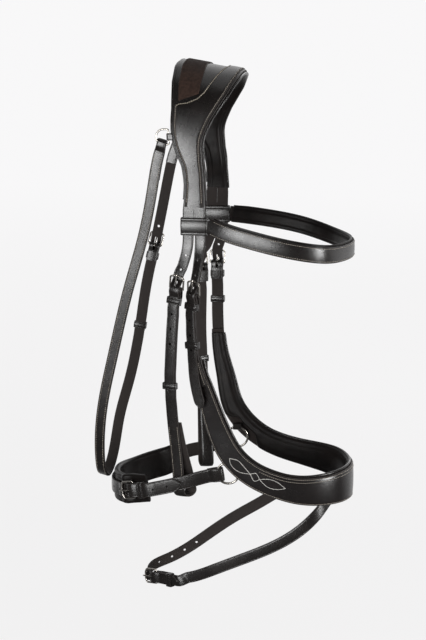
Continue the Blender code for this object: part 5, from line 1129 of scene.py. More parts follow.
    def build(self, prefix, body, runner=None, keeper_sewn=True):
        """Frame, tongue, sewn keeper, and a runner at the length given."""
        self.build_frame(prefix + "_buckle", body)
        self.build_tongue(prefix + "_tongue")
        if keeper_sewn:
            self.build_keeper(prefix + "_keeper", self.s(FIXED_KEEPER_PLACE), body, KEEPER_CLEARANCE)
        if runner is not None:
            name = prefix + ("_runner" if keeper_sewn else "_keeper")
            self.build_keeper(name, runner, name)


def thinned(share, over_share, thin_share):
    """Thickness near a pad's end: thin_share at the end, 1 from over_share on."""
    return thin_share + (1.0 - thin_share) * bent_weight(share / over_share)


def section_ring(route, s, outline):
    place, _, out, across = route.frame(s)
    return [place + across * row[0] + out * row[1] for row in outline]


# Materials
def node_tree_of(name, color, roughness, metallic=0.0, specular=0.5, sheen=0.0):
    """A Principled material with its plain values set on its own sockets."""
    made = bpy.data.materials.new(name)
    made.use_nodes = True
    tree = made.node_tree
    shader = tree.nodes["Principled BSDF"]
    shader.inputs["Base Color"].default_value = (*color, 1.0)
    shader.inputs["Roughness"].default_value = roughness
    shader.inputs["Metallic"].default_value = metallic
    shader.inputs["Specular IOR Level"].default_value = specular
    shader.inputs["Sheen Weight"].default_value = sheen
    return made, tree, shader


def noise(tree, scale, detail=4.0, roughness=0.55, stretch=None):
    """A noise texture on the object's own coordinates."""
    place = tree.nodes.new("ShaderNodeTexCoord")
    made = tree.nodes.new("ShaderNodeTexNoise")
    made.inputs["Scale"].default_value = scale
    made.inputs["Detail"].default_value = detail
    made.inputs["Roughness"].default_value = roughness
    if stretch is None:
        tree.links.new(place.outputs["Object"], made.inputs["Vector"])
    else:
        mapping = tree.nodes.new("ShaderNodeMapping")
        mapping.inputs["Scale"].default_value = stretch
        tree.links.new(place.outputs["Object"], mapping.inputs["Vector"])
        tree.links.new(mapping.outputs["Vector"], made.inputs["Vector"])
    return made.outputs["Fac"]


def ranged(tree, value, low, high, from_low=0.3, from_high=0.7):
    """A value mapped from one range to another."""
    made = tree.nodes.new("ShaderNodeMapRange")
    tree.links.new(value, made.inputs["Value"])
    made.inputs["From Min"].default_value = from_low
    made.inputs["From Max"].default_value = from_high
    made.inputs["To Min"].default_value = low
    made.inputs["To Max"].default_value = high
    return made.outputs["Result"]


def mixed(tree, share, color_a, color_b):
    """A mix of two colours, each a tuple or a socket."""
    made = tree.nodes.new("ShaderNodeMix")
    made.data_type = "RGBA"
    tree.links.new(share, made.inputs["Factor"])
    for socket, color in ((made.inputs[6], color_a), (made.inputs[7], color_b)):
        if isinstance(color, tuple):
            socket.default_value = (*color, 1.0)
        else:
            tree.links.new(color, socket)
    return made.outputs[2]


def calculated(tree, operation, value, other):
    """A sum on a socket and a number or another socket."""
    made = tree.nodes.new("ShaderNodeMath")
    made.operation = operation
    tree.links.new(value, made.inputs[0])
    if isinstance(other, float):
        made.inputs[1].default_value = other
    else:
        tree.links.new(other, made.inputs[1])
    return made.outputs[0]


def place_y(tree, space):
    """How far to the horse's left a ray's end lies."""
    place = tree.nodes.new("ShaderNodeTexCoord")
    apart = tree.nodes.new("ShaderNodeSeparateXYZ")
    tree.links.new(place.outputs[space], apart.inputs[0])
    return apart.outputs["Y"]


def bumped(tree, shader, height, distance, strength, before=None):
    """A bump on the shader's normal, chained after another."""
    made = tree.nodes.new("ShaderNodeBump")
    made.inputs["Strength"].default_value = strength
    made.inputs["Distance"].default_value = distance
    tree.links.new(height, made.inputs["Height"])
    if before is not None:
        tree.links.new(before, made.inputs["Normal"])
    tree.links.new(made.outputs["Normal"], shader.inputs["Normal"])
    return made.outputs["Normal"]


def grain(tree, scale):
    """The pebbles of leather grain: 0 in the creases between cells."""
    place = tree.nodes.new("ShaderNodeTexCoord")
    made = tree.nodes.new("ShaderNodeTexVoronoi")
    made.feature = "DISTANCE_TO_EDGE"
    made.inputs["Scale"].default_value = scale
    tree.links.new(place.outputs["Object"], made.inputs["Vector"])
    return ranged(tree, made.outputs["Distance"], 0.0, 1.0, 0.0, 0.25)


def leather(name, color, worn, edge_color, roughness, grain_scale, grain_depth, specular=0.5):
    """Bridle leather: mottled colour, dull edges and back, uneven gloss, fine grain and soft unevenness."""
    made, tree, shader = node_tree_of(name, color, roughness, specular=specular)
    mottle = ranged(tree, noise(tree, 55.0, 5.0), 0.0, 1.0, 0.35, 0.70)
    base = mixed(tree, mottle, color, worn)
    attribute = tree.nodes.new("ShaderNodeAttribute")
    attribute.attribute_name = "edge"
    edge = ranged(tree, attribute.outputs["Fac"], 0.0, 0.85, 0.15, 1.0)
    base = mixed(tree, edge, base, edge_color)
    tree.links.new(base, shader.inputs["Base Color"])
    uneven = ranged(tree, noise(tree, 60.0, 3.0), roughness - 0.02, roughness + 0.04, 0.3, 0.7)
    dull = ranged(tree, attribute.outputs["Fac"], roughness, DULL_ROUGHNESS, 0.4, 1.0)
    tree.links.new(calculated(tree, "MAXIMUM", uneven, dull), shader.inputs["Roughness"])
    soft = bumped(tree, shader, noise(tree, 70.0, 2.0), 0.00012, 0.4)
    bumped(tree, shader, grain(tree, grain_scale), grain_depth, 0.8, soft)
    return made


def thread_look(name, color):
    """Waxed thread."""
    made, tree, shader = node_tree_of(name, color, 0.55, specular=0.4, sheen=0.3)
    shade = ranged(tree, noise(tree, 900.0, 2.0), 0.0, 1.0, 0.4, 0.65)
    dark = tuple(c * 0.55 for c in color)
    tree.links.new(mixed(tree, shade, color, dark), shader.inputs["Base Color"])
    bumped(tree, shader, noise(tree, 2600.0, 2.0), 0.0001, 0.7)
    return made


def steel():
    """Polished stainless steel with hair scratches."""
    made, tree, shader = node_tree_of("steel", (0.62, 0.60, 0.57), 0.16, metallic=1.0)
    smudge = ranged(tree, noise(tree, 60.0, 3.0), 0.20, 0.30, 0.35, 0.75)
    tree.links.new(smudge, shader.inputs["Roughness"])
    tint = ranged(tree, noise(tree, 120.0, 3.0), 0.0, 1.0, 0.4, 0.7)
    tree.links.new(mixed(tree, tint, (0.60, 0.57, 0.53), (0.44, 0.41, 0.37)), shader.inputs["Base Color"])
    bumped(tree, shader, noise(tree, 1500.0, 2.0, 0.5, (1.0, 1.0, 9.0)), 0.00001, 0.2)
    return made


def elastic():
    """Ribbed brown elastic webbing."""
    made, tree, shader = node_tree_of("brown_elastic", (0.040, 0.022, 0.016), 0.75, specular=0.15, sheen=0.1)
    mottle = ranged(tree, noise(tree, 300.0, 4.0), 0.0, 1.0, 0.35, 0.7)
    brown = mixed(tree, mottle, (0.052, 0.029, 0.021), (0.026, 0.014, 0.010))
    tree.links.new(brown, shader.inputs["Base Color"])
    bumped(tree, shader, noise(tree, 1400.0, 2.0), 0.00025, 0.8)
    return made


BLACK_LEATHER = leather("black_leather", (0.0072, 0.0056, 0.0050), (0.013, 0.0100, 0.0088),
                        (0.016, 0.009, 0.0065), 0.26, 1500.0, 0.00002, 0.8)
NOSE_LEATHER = leather("nose_leather", (0.0066, 0.0050, 0.0047), (0.011, 0.008, 0.0075),
                       (0.018, 0.009, 0.0060), 0.24, 1300.0, 0.00002, 0.8)
SOFT_LEATHER = leather("soft_leather", (0.0066, 0.0052, 0.0048), (0.012, 0.009, 0.0080),
                       (0.011, 0.008, 0.0065), 0.36, 1100.0, 0.00004, 0.20)
BROWN_ELASTIC = elastic()
STEEL = steel()
GREY_THREAD = thread_look("grey_thread", (0.40, 0.35, 0.29))
CREAM_THREAD = thread_look("cream_thread", (0.46, 0.40, 0.31))
WHITE_THREAD = thread_look("white_thread", (0.66, 0.64, 0.60))


headpiece_route = Route(HEADPIECE_SHARES, 1.0)
BILLET_SHIFT = (BILLET_WIDTH + BILLET_APART) / 2.0
routes = {
    ("cheek", "right"): Route(RIGHT_CHEEK_SHARES, -1.0, forward=-BILLET_SHIFT),
    ("cheek", "left"): Route(LEFT_CHEEK_SHARES, 1.0, forward=-BILLET_SHIFT),
    ("hanger", "right"): Route(RIGHT_HANGER_SHARES, -1.0, forward=BILLET_SHIFT),
    ("hanger", "left"): Route(LEFT_HANGER_SHARES, 1.0, forward=BILLET_SHIFT),
}
throat_route = Route(THROATLATCH_SHARES, -1.0)
flash_route = Route(FLASH_SHARES, -1.0, closed=True)

SIDES = ("right", "left")
STRAP_HALF = STRAP_WIDTH / 2.0
BILLET_HALF = BILLET_WIDTH / 2.0
buckle_shares = {
    ("cheek", "right"): CHEEK_BUCKLE_SHARE,
    ("cheek", "left"): CHEEK_BUCKLE_SHARE,
    ("hanger", "right"): RIGHT_NOSE_BUCKLE_SHARE,
    ("hanger", "left"): LEFT_NOSE_BUCKLE_SHARE,
}
runner_shares = {
    ("cheek", "right"): CHEEK_RUNNER_SHARE,
    ("cheek", "left"): CHEEK_RUNNER_SHARE,
    ("hanger", "right"): RIGHT_NOSE_RUNNER_SHARE,
    ("hanger", "left"): LEFT_NOSE_RUNNER_SHARE,
}
tail_shares = {
    ("cheek", "right"): CHEEK_TAIL_SHARE,
    ("cheek", "left"): CHEEK_TAIL_SHARE,
    ("hanger", "right"): RIGHT_NOSE_TAIL_SHARE,
    ("hanger", "left"): LEFT_NOSE_TAIL_SHARE,
}
BUCKLE_STRAIGHT_HALF = (BUCKLE_LENGTH + TURN_BACK_LENGTH) / 2.0
BUCKLE_STRAIGHT_MIDDLE = (TURN_BACK_LENGTH - BUCKLE_LENGTH) / 2.0
RUNNER_STRAIGHT_HALF = RUNNER_TRAVEL + RUNNER_ROOM_SHARE * KEEPER_LENGTH
buckles = {}
for key, route in routes.items():
    s_low = route.at_drop(buckle_shares[key])
    route.straighten(s_low + BUCKLE_STRAIGHT_MIDDLE, BUCKLE_STRAIGHT_HALF)
    route.straighten(route.at_drop(runner_shares[key]), RUNNER_STRAIGHT_HALF)
    buckles[key] = Buckle(route, route.at_drop(buckle_shares[key]), 1.0, STRAP_HALF)

throat_low = throat_route.at_drop(THROAT_BUCKLE_SHARE, from_end=True)
throat_route.straighten(throat_low - BUCKLE_STRAIGHT_MIDDLE, BUCKLE_STRAIGHT_HALF)
throat_route.straighten(throat_route.at_drop(THROAT_RUNNER_SHARE, from_end=True), RUNNER_STRAIGHT_HALF)
throat_buckle = Buckle(throat_route, throat_route.at_drop(THROAT_BUCKLE_SHARE, from_end=True), -1.0,
                       THROAT_WIDTH / 2.0)
flash_low = flash_route.at_side(FLASH_BUCKLE_SHARE)
flash_route.straighten(flash_low + BUCKLE_STRAIGHT_MIDDLE + KEEPER_LENGTH,
                       BUCKLE_STRAIGHT_HALF + KEEPER_LENGTH)
flash_buckle = Buckle(flash_route, flash_route.at_side(FLASH_BUCKLE_SHARE), 1.0, FLASH_WIDTH / 2.0)


def browband_loop_frame(side):
    """Middle of a browband loop, forward, outward and up, and its half width round both billets."""
    share = RIGHT_BROWBAND_END_SHARE if side == "right" else LEFT_BROWBAND_END_SHARE
    both = [routes[(kind, side)] for kind in ("cheek", "hanger")]
    rear, front = [route.frame(route.at_drop(share)) for route in both]
    forward = unit(front[0] - rear[0])
    outward = rear[2] + front[2]
    outward = unit(outward - np.dot(outward, forward) * forward)
    wide = float(np.dot(front[0] - rear[0], forward)) / 2.0 + BILLET_HALF + BROWBAND_LOOP_CLEARANCE
    return (rear[0] + front[0]) / 2.0, forward, outward, np.array([0.0, 0.0, 1.0]), wide


def browband_end(side):
    """A row for the browband's end, just ahead of its loop."""
    middle, forward, outward, _, wide = browband_loop_frame(side)
    slope = RIGHT_BROWBAND_SLOPE_SHARE if side == "right" else LEFT_BROWBAND_SLOPE_SHARE
    lean = BROWBAND_HEIGHT / 2.0 * slope + LEATHER / 2.0 * BROWBAND_TURN_SHARE
    place = middle + forward * (wide + BROWBAND_LOOP_THICKNESS + GAP + lean) + outward * BROWBAND_END_OUTSET
    return [(place, outward)]


browband_route = Route(BROWBAND_SHARES, -1.0, lead=browband_end("right"), trail=browband_end("left"))


def noseband_top(side):
    """Rows for the noseband's top on one side, just inside its hanger."""
    route = routes[("hanger", side)]
    rows = []
    for share in NOSEBAND_TOP_SHARES:
        place, _, out, _ = route.frame(route.at_drop(share))
        rows.append((place - out * (LEATHER + 2.0 * GAP), out))
    return rows


noseband_route = Route(NOSEBAND_SHARES, -1.0, lead=noseband_top("right"), trail=noseband_top("left")[::-1])


def noseband_half(s):
    return NOSEBAND_HEIGHT / 2.0 * table(NOSEBAND_HEIGHT_SHARES, s / noseband_route.length)


def nose_ring_place(side):
    return noseband_route.length * (RIGHT_NOSE_RING_SHARE if side == "right" else LEFT_NOSE_RING_SHARE)


RING_DEPTH = LEATHER / 2.0 + THIN_LEATHER + NOSE_RING_CLEARANCE + NOSE_RING_WIRE


def nose_ring_axis():
    """The line through both rings, from right to left."""
    return unit(nose_ring_middle("left") - nose_ring_middle("right"))


def nose_ring_middle(side):
    s = nose_ring_place(side)
    return noseband_route.point(s, -RING_DEPTH, -noseband_half(s) - NOSE_RING_OUTSET)


def ring_directions():
    """Axis of the noseband rings, with forward and up in the plane that both lie in."""
    axis = nose_ring_axis()
    up = unit(np.array([0.0, 0.0, 1.0]) - axis[2] * axis)
    return axis, np.cross(axis, up), up


def chin_start(side):
    """Rows that carry the chin strap straight out of a ring, level with the ring's wire."""
    axis, forward, up = ring_directions()
    sign = -1.0 if side == "right" else 1.0
    middle = nose_ring_middle(side)
    rearward = unit(-forward - up * CHIN_START_SLOPE_SHARE)
    face = axis * sign
    return [(middle + rearward * (share * CHIN_START_LENGTH), face) for share in (0.0, 0.5, 1.0)]


chin_route = Route(CHIN_SHARES, 1.0, lead=chin_start("right"), trail=chin_start("left")[::-1])
chin_low = chin_route.length * CHIN_BUCKLE_SHARE
chin_route.straighten(chin_low - BUCKLE_STRAIGHT_MIDDLE, BUCKLE_STRAIGHT_HALF)
chin_buckle = Buckle(chin_route, chin_route.length * CHIN_BUCKLE_SHARE, -1.0, CHIN_WIDTH / 2.0)




def route_rows(route, start, end, n=0.0, step=FINE_STEP):
    """Frames along a route at one height."""
    rows = []
    for s in spread(start, end, step=step):
        place, _, out, across = route.frame(s)
        rows.append((place + out * n, across, out))
    return rows


# Headpiece
def headpiece_half(share_to_poll):
    return HEADPIECE_WIDTH_POLL / 2.0 * table(HEADPIECE_WIDTH_SHARES, share_to_poll)


def to_poll(s):
    """0 at either end of the headpiece, 1 at the poll."""
    half = headpiece_route.length / 2.0
    return 1.0 - abs(s - half) / half


def headpiece_span(end_share, step=FINE_STEP):
    """Fine stations between the two ends of the headpiece."""
    half = headpiece_route.length / 2.0
    start = half * end_share
    return [s for s in spread(start, headpiece_route.length - start, step=step)]


def wobble(*phases):
    """A small steady unevenness between -1 and 1 from lengths along and across."""
    total = 0.0
    for i, phase in enumerate(phases):
        total += math.sin(phase * (1.0 + 0.37 * i) + 1.7 * i)
    return total / len(phases)


def cushion_ring(route, s, half_low, half_high, n_face, thickness, bead, crease, seed,
                 valley_share=0.22):
    """A pad's section from the leather in: a bead along each edge, a valley beside it, a crowned middle."""
    count = 26
    rows = []
    for i in range(count + 1):
        share = 1.0 - 2.0 * i / count
        reach = half_high if share > 0.0 else half_low
        w = share * reach
        from_edge = (1.0 - abs(share)) * reach
        depth = thickness * (1.0 - CUSHION_FALL_SHARE * abs(share) ** 3.0)
        valley = math.exp(-((from_edge - 3.4 * bead) / (0.9 * bead)) ** 2)
        depth -= valley_share * thickness * valley
        rounding = min(from_edge / (0.32 * thickness + 1.0e-6), 1.0)
        fall = 1.0 - math.sqrt(max(1.0 - (1.0 - rounding) ** 2, 0.0))
        depth *= 1.0 - (1.0 - CUSHION_EDGE_SHARE * 0.75) * fall
        uneven = 0.5 + 0.5 * wobble(s * 520.0 + seed, w * 260.0, s * 190.0 + w * 90.0)
        depth -= crease * thickness * uneven * (1.0 - share * share)
        rows.append((w, n_face - max(depth, CUSHION_LEAST_DEPTH)))
    rows.append((-half_low, n_face))
    rows.append((half_high, n_face))
    return section_ring(route, s, rows)


def pad(name, rings, body, replaces):
    """A soft pad through its sections."""
    mesh_bm = bmesh.new()
    skin(mesh_bm, rings)
    add_piece(name, mesh_bm, SOFT_LEATHER, body, replaces, sharp=75.0)


def elastic_outline(w_low, w_high, n_low, n_high):
    """A thin layer's section with softened corners, from its low edge to its high edge."""
    soft = min(0.35 * (n_high - n_low), ELASTIC_CORNER)
    rows = [(w_low, n_low), (w_low - ELASTIC_CORNER_OUT, n_high - 2.0 * soft),
            (w_low + 0.4 * soft, n_high - 0.5 * soft), (w_low + 1.5 * soft, n_high)]
    rows += [(w_low + (w_high - w_low) * k / 16, n_high) for k in range(1, 16)]
    rows += [(w_high - 1.5 * soft, n_high), (w_high - 0.4 * soft, n_high - 0.5 * soft),
             (w_high + ELASTIC_CORNER_OUT, n_high - 2.0 * soft), (w_high, n_low),
             ((w_low + w_high) / 2.0, n_low)]
    return rows


def facing_edges(s):
    """Rear and front edge of the crown's facing."""
    front = headpiece_half(to_poll(s)) - FACING_MARGIN
    return front * table(FACING_REAR_SHARES, to_poll(s)), front


def facing_rise(s, w):
    """How far the padding lifts the facing above its edges."""
    rear, front = facing_edges(s)
    share = min(max((w - rear) / (front - rear), 0.0), 1.0)
    return FACING_CROWN_SHARE * (front - rear) * (4.0 * share * (1.0 - share)) ** 0.7


def crown_end(side):
    """Rows of the crown's leather below its own route, from inside the browband's loop upward."""
    rows = []
    reach = CROWN_REACH[side]
    for k in range(9, 0, -1):
        rear, _, rear_out, _ = routes[("cheek", side)].frame(reach * k / 9.0)
        front, _, front_out, _ = routes[("hanger", side)].frame(reach * k / 9.0)
        half = float(np.linalg.norm(front - rear)) / 2.0 + BILLET_HALF
        rows.append(((rear + front) / 2.0, unit(front - rear), unit(rear_out + front_out), half))
    return rows


def build_headpiece():
    """Crown leather with a slit at each end, its layers, and its stitching."""
    rows = crown_end("right")
    for s in headpiece_span(0.0):
        place, _, out, across = headpiece_route.frame(s)
        rows.append((place, across, out, headpiece_half(to_poll(s))))
    rows += crown_end("left")[::-1]
    halves = [row[3] for row in rows]
    main_leather = strap("crown_leather", [row[:3] for row in rows], halves, None, ["headpiece"], crown=0.0)
    slits = []
    eyes = []
    for end in (0.0, headpiece_route.length):
        toward = 1.0 if end == 0.0 else -1.0
        place, along, out, across = headpiece_route.frame(end)
        corners = []
        for a, b in ((-SLIT_FALL, -1), (-SLIT_FALL, 1), (SLIT_RISE, 1), (SLIT_RISE, -1)):
            sideways = across * (b * SLIT_WIDTH * SLIT_HALF_SHARE)
            corners.append(place + along * (toward * a) + sideways - out * CUT_OVERRUN)
        slits.append((corners, out * (2.0 * CUT_OVERRUN)))
        eyes.append(hole_prism(headpiece_route, end + toward * SLIT_RISE, radius=SLIT_EYE_RADIUS))
    punch(main_leather, slits)
    punch(main_leather, eyes)
    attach(main_leather, "headpiece")

    rings = []
    for s in headpiece_span(PAD_END_SHARE):
        share = to_poll(s)
        swell = crown_swell(share)
        half = headpiece_half(share) + HEADPIECE_PAD_ROLL * max(swell, FRONT_ROLL_SHARE)
        rear = headpiece_half(share) + HEADPIECE_PAD_ROLL * swell * table(REAR_ROLL_SHARES, share)
        rings.append(cushion_ring(headpiece_route, s, rear, half, -LEATHER / 2.0 - GAP,
                                  HEADPIECE_PAD_THICKNESS * swell, HEADPIECE_PAD_BEAD, crease=0.05,
                                  seed=2.0))
    pad("crown_pad", rings, "headpiece", ["headpiece_padding"])

    low = LEATHER / 2.0 + SEWN_GAP
    high = LEATHER / 2.0 + GAP + THIN_LEATHER
    build_facing(low, high)
    build_elastic(low, high)
    build_crown_threads(high)
    build_crown_roll()


def crown_swell(share):
    """Thickness of the crown's padding, as a share of the whole."""
    return thinned(share - PAD_END_SHARE, HEADPIECE_THIN_LENGTH_SHARE, HEADPIECE_THIN_SHARE)


def build_facing(low, high):
    """The crown's outer leather, with finished edges and a raised middle."""
    insets, sunk, marks = (list(column) for column in zip(*FACING_EDGE))
    last = insets[-1]
    rings = []
    for s in headpiece_span(FACING_END_SHARE):
        rear, front = facing_edges(s)
        face = [rear + inset for inset in insets]
        face += [rear + last + (front - rear - 2.0 * last) * k / 15.0 for k in range(1, 15)]
        face += [front - inset for inset in insets[::-1]]
        outline = [(rear, low)]
        outline += [(w, high + facing_rise(s, w) - n) for w, n in zip(face, sunk + [0.0] * 14 + sunk[::-1])]
        outline += [(front, low), ((rear + front) / 2.0, low)]
        rings.append(section_ring(headpiece_route, s, outline))
    mesh_bm = bmesh.new()
    skin(mesh_bm, rings, [1.0] + marks + [0.0] * 14 + marks[::-1] + [1.0, 1.0])
    add_piece("crown_facing", mesh_bm, BLACK_LEATHER, "headpiece", ["headpiece_facing"])


def build_elastic(low, high):
    """The brown elastic with its woven ribs across."""
    rings = []
    spans = headpiece_span(ELASTIC_END_SHARE, ELASTIC_RIB_STEP)
    for i, s in enumerate(spans):
        half = headpiece_half(to_poll(s))
        rear = ELASTIC_MARGIN - half
        front = half * table(ELASTIC_FRONT_SHARES, to_poll(s))
        rib = ELASTIC_RIB * (1.0 if i % 2 else -1.0)
        outline = elastic_outline(rear, front, low, high + SEWN_GAP + rib)
        rings.append(section_ring(headpiece_route, s, outline))
    mesh_bm = bmesh.new()
    skin(mesh_bm, rings)
    add_piece("crown_elastic", mesh_bm, BROWN_ELASTIC, "headpiece", ["headpiece_elastic"],
              sharp=80.0)


def build_crown_threads(high):
    """Stitch lines of the crown: the facing's edges and the elastic's frame."""
    dark = Thread("crown_dark_stitches", "headpiece", GREY_THREAD)
    cream = Thread("crown_cream_stitches", "headpiece", CREAM_THREAD, CREAM_THREAD_RADIUS)
    spans = headpiece_span(THREAD_END_SHARE)
    rows = []
    rears = []
    fronts = []
    for s in spans:
        place, _, out, across = headpiece_route.frame(s)
        rows.append((place, across, out))
        rear, front = facing_edges(s)
        for edges, w in ((rears, rear + STITCH_INSET), (fronts, front - STITCH_INSET)):
            edges.append((w, high + facing_rise(s, w) - STITCH_SINK))

    def sew(thread, edges, first, last):
        places, heights = zip(*edges[first:last + 1])
        thread.row(rows[first:last + 1], list(places), list(heights))

    end = len(rows) - 1
    first = next(i for i, s in enumerate(spans) if to_poll(s) > ELASTIC_STITCH_SHARE)
    sew(dark, fronts, 0, end)
    sew(dark, rears, 0, first)
    sew(dark, rears, end - first, end)
    sew(cream, rears, first, end - first)
    dark.finish()
    cream.finish()


def piping(name, body, route, rows):
    """A glossy roll of leather beside a band: rows of (s, w, radius)."""
    rings = []
    for s, w, radius in rows:
        place, _, out, across = route.frame(s)
        centre = place + across * w - out * (LEATHER / 2.0 + PIPING_DEPTH + radius * PIPING_SINK_SHARE)
        rings.append(round_points(centre, across, out, radius, 12))
    mesh_bm = bmesh.new()
    skin(mesh_bm, rings)
    add_piece(name, mesh_bm, BLACK_LEATHER, body, sharp=80.0)


def build_crown_roll():
    """The piping between the crown's leather and its pad, along both edges."""
    for name, sign in (("crown_roll_front", 1.0), ("crown_roll_rear", -1.0)):
        rows = []
        for s in headpiece_span(HEADPIECE_ROLL_END_SHARE):
            swell = crown_swell(to_poll(s))
            rolled = HEADPIECE_PAD_ROLL * max(swell, FRONT_ROLL_SHARE) * HEADPIECE_ROLL_SHARE
            half = headpiece_half(to_poll(s)) + rolled
            rows.append((s, sign * half, HEADPIECE_ROLL_RADIUS + PIPING_SWELL * swell))
        piping(name, "headpiece", headpiece_route, rows)


# Throat rings
def throat_ring_frame(side):
    """Middle of a throat ring's arc, with the way to its bar, the way along the bar, and outward."""
    sign = -1.0 if side == "right" else 1.0
    fold = throat_route.frame(0.0 if side == "right" else throat_route.length)[0]
    tilt = THROAT_RING_TILT
    forward = np.array([math.cos(tilt), 0.0, math.sin(tilt)])
    up = np.array([-math.sin(tilt), 0.0, math.cos(tilt)])
    angle = RIGHT_THROAT_FOLD_ANGLE if side == "right" else LEFT_THROAT_FOLD_ANGLE
    middle = fold - (forward * math.cos(angle) + up * math.sin(angle)) * THROAT_RING_RADIUS
    return middle, forward, up, np.array([0.0, sign, 0.0])


def tab_path(wire_radius, lead, thickness):
    """Middle line of a tab folded round a bar, as (forward or None for the reach, outward)."""
    fold = wire_radius + GAP + thickness / 2.0
    path = [(None, lead + fold)]
    for k in range(13):
        angle = math.radians(90 + 15 * k)
        path.append((fold * math.cos(angle), fold * math.sin(angle)))
    path.append((None, lead - fold))
    return path


def build_tab(name, bar, forward, up, outward, half, wire_radius, ends, lead, body, thickness=THIN_LEATHER):
    """A thin tab folded round a straight bar, with soft edges."""
    path = tab_path(wire_radius, lead, thickness)
    steps = 8
    rings = []
    for i, (f, o) in enumerate(path):
        ring = []
        ahead = path[min(i + 1, len(path) - 1)]
        behind = path[max(i - 1, 0)]
        upper = []
        lower = []
        for k in range(steps + 1):
            level = 1.0 - 2.0 * k / steps
            reach = ends[0] + (ends[1] - ends[0]) * (1.0 - level) / 2.0
            here = reach if f is None else f
            run_on = (reach if ahead[0] is None else ahead[0]) - (reach if behind[0] is None else behind[0])
            heading = unit(np.array([run_on, ahead[1] - behind[1]]))
            thin = thickness / 2.0 * (0.55 if abs(level) == 1.0 else 1.0)
            over = np.array([-heading[1], heading[0]]) * thin
            base = bar + up * (half * level)
            upper.append(base + forward * (here + over[0]) + outward * (o + over[1]))
            lower.append(base + forward * (here - over[0]) + outward * (o - over[1]))
        ring = upper + lower[::-1]
        rings.append(ring)
    mesh_bm = bmesh.new()
    skin(mesh_bm, rings)
    return add_piece(name, mesh_bm, BLACK_LEATHER, body, [name])


def build_throat_ring(side):
    """The D-ring and its tab."""
    middle, forward, up, outward = throat_ring_frame(side)
    radius = THROAT_RING_RADIUS
    points = []
    for k in range(25):
        angle = math.radians(90 + 7.5 * k)
        points.append(middle + (forward * math.cos(angle) + up * math.sin(angle)) * radius)
    bar_line = [np.array((THROAT_RING_SETBACK * a, b * radius)) for a, b in THROAT_RING_BAR_SHARES]
    for a, b in bar_line[:3]:
        points.append(middle + forward * a + up * b)
    for k in range(1, 8):
        share = k / 8
        a, b = bar_line[2] * (1.0 - share) + bar_line[3] * share
        points.append(middle + forward * a + up * b)
    for a, b in bar_line[3:]:
        points.append(middle + forward * a + up * b)
    metal_wire(side + "_throat_ring", points, outward, THROAT_RING_WIRE, True, "headpiece")
    bar = middle + forward * THROAT_RING_SETBACK
    ends = []
    for level in (1.0, -1.0):
        corner = bar + up * (THROAT_RING_TAB_HALF * level)
        probes = [corner + forward * (share * THROAT_RING_RADIUS) for share in THROAT_TAB_PROBE_SHARES]
        reaches = []
        for probe in probes:
            edge = pad_edge(side, probe[2])
            reaches.append(float(np.dot(edge - corner, forward)) - GAP - THIN_LEATHER / 2.0)
        ends.append(min(reaches) + TAB_SEWN_LENGTH)
    lead = float(np.dot(pad_edge(side, bar[2]) - bar, outward)) * THROAT_TAB_LEAD_SHARE
    build_tab(side + "_throat_ring_tab", bar, forward, up, outward, THROAT_RING_TAB_HALF, THROAT_RING_WIRE,
              ends, lead, "headpiece")


def pad_edge(side, height):
    """The rear edge of the headpiece and its padding at a height."""
    order = headpiece_route.places[:, 2]
    half = len(order) // 2
    if side == "right":
        index = int(np.argmin(np.abs(order[:half] - height)))
    else:
        index = half + int(np.argmin(np.abs(order[half:] - height)))
    s = float(headpiece_route.lengths[index])
    place, _, _, across = headpiece_route.frame(s)
    roll = HEADPIECE_PAD_ROLL * table(REAR_ROLL_SHARES, to_poll(s))
    return place - across * (headpiece_half(to_poll(s)) + roll)


# Cheekpieces, the noseband's hangers and the headpiece's billets
def build_billet(kind, side):
    """One billet of the headpiece from the slit through its buckle to its tip, in one strap."""
    key = (kind, side)
    buckle = buckles[key]
    route = buckle.route
    prefix = side + ("_cheek" if kind == "cheek" else "_noseband")
    tail_end = route.at_drop(tail_shares[key])
    lead = run(CROWN_REACH[side] - CROWN_OVERLAP, buckle.s(TAIL_RISE_START))
    rest = tail_run(buckle.s(TAIL_FALL_END), tail_end)
    drift_from = route.at_drop(runner_shares[key]) + RUNNER_TRAVEL
    drift = TAIL_DRIFT if prefix == "right_noseband" else 0.0
    away = [bent_weight((s - drift_from) / (tail_end - drift_from)) for s, _, _ in rest]
    lifted = LEATHER * drift / TAIL_DRIFT
    rest = [(s, n + lifted * share, -drift * share) for (s, n, _), share in zip(rest, away)]
    path = joined(lead, buckle.tail_over(), rest)
    rows = path_frames(route, path)
    halves = [fine_tip(s, tail_end, BILLET_HALF) for s, _, _ in path]
    tail_steps = [step for step in (2, 3, 4) if buckle.hole_place(step) < tail_end - TIP_LENGTH]
    holes = [buckle.tail_slot()] + buckle.holes((-1, -2)) + buckle.holes(tail_steps, TAIL_HEIGHT)
    made = strap(prefix + "_billet", rows, halves, None, [prefix + "_billet_tail"], holes=holes)
    bar = buckle.top_bar()
    toward = buckle.frame_at_low()[1]
    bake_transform(made)


def fine_tip(s, end, half):
    """Half width beside a rounded pointed end."""
    share = min(abs(s - end) / TIP_LENGTH, 1.0)
    full = 1.0 - (1.0 - share) ** 2.2
    return half * max(0.20 + 0.80 * full, 0.20)


def build_buckled_strap(kind, side, strap_end, strap_name, body, prefix):
    """Buckle, tongue, keepers and the turned strap top."""
    buckle = buckles[(kind, side)]
    buckle.build(prefix, body, buckle.route.at_drop(runner_shares[(kind, side)]))
    rows = path_frames(buckle.route, joined(buckle.turned_end(), strap_end))
    strap(strap_name, rows, STRAP_HALF, body, [strap_name], holes=[buckle.fold_slot()])


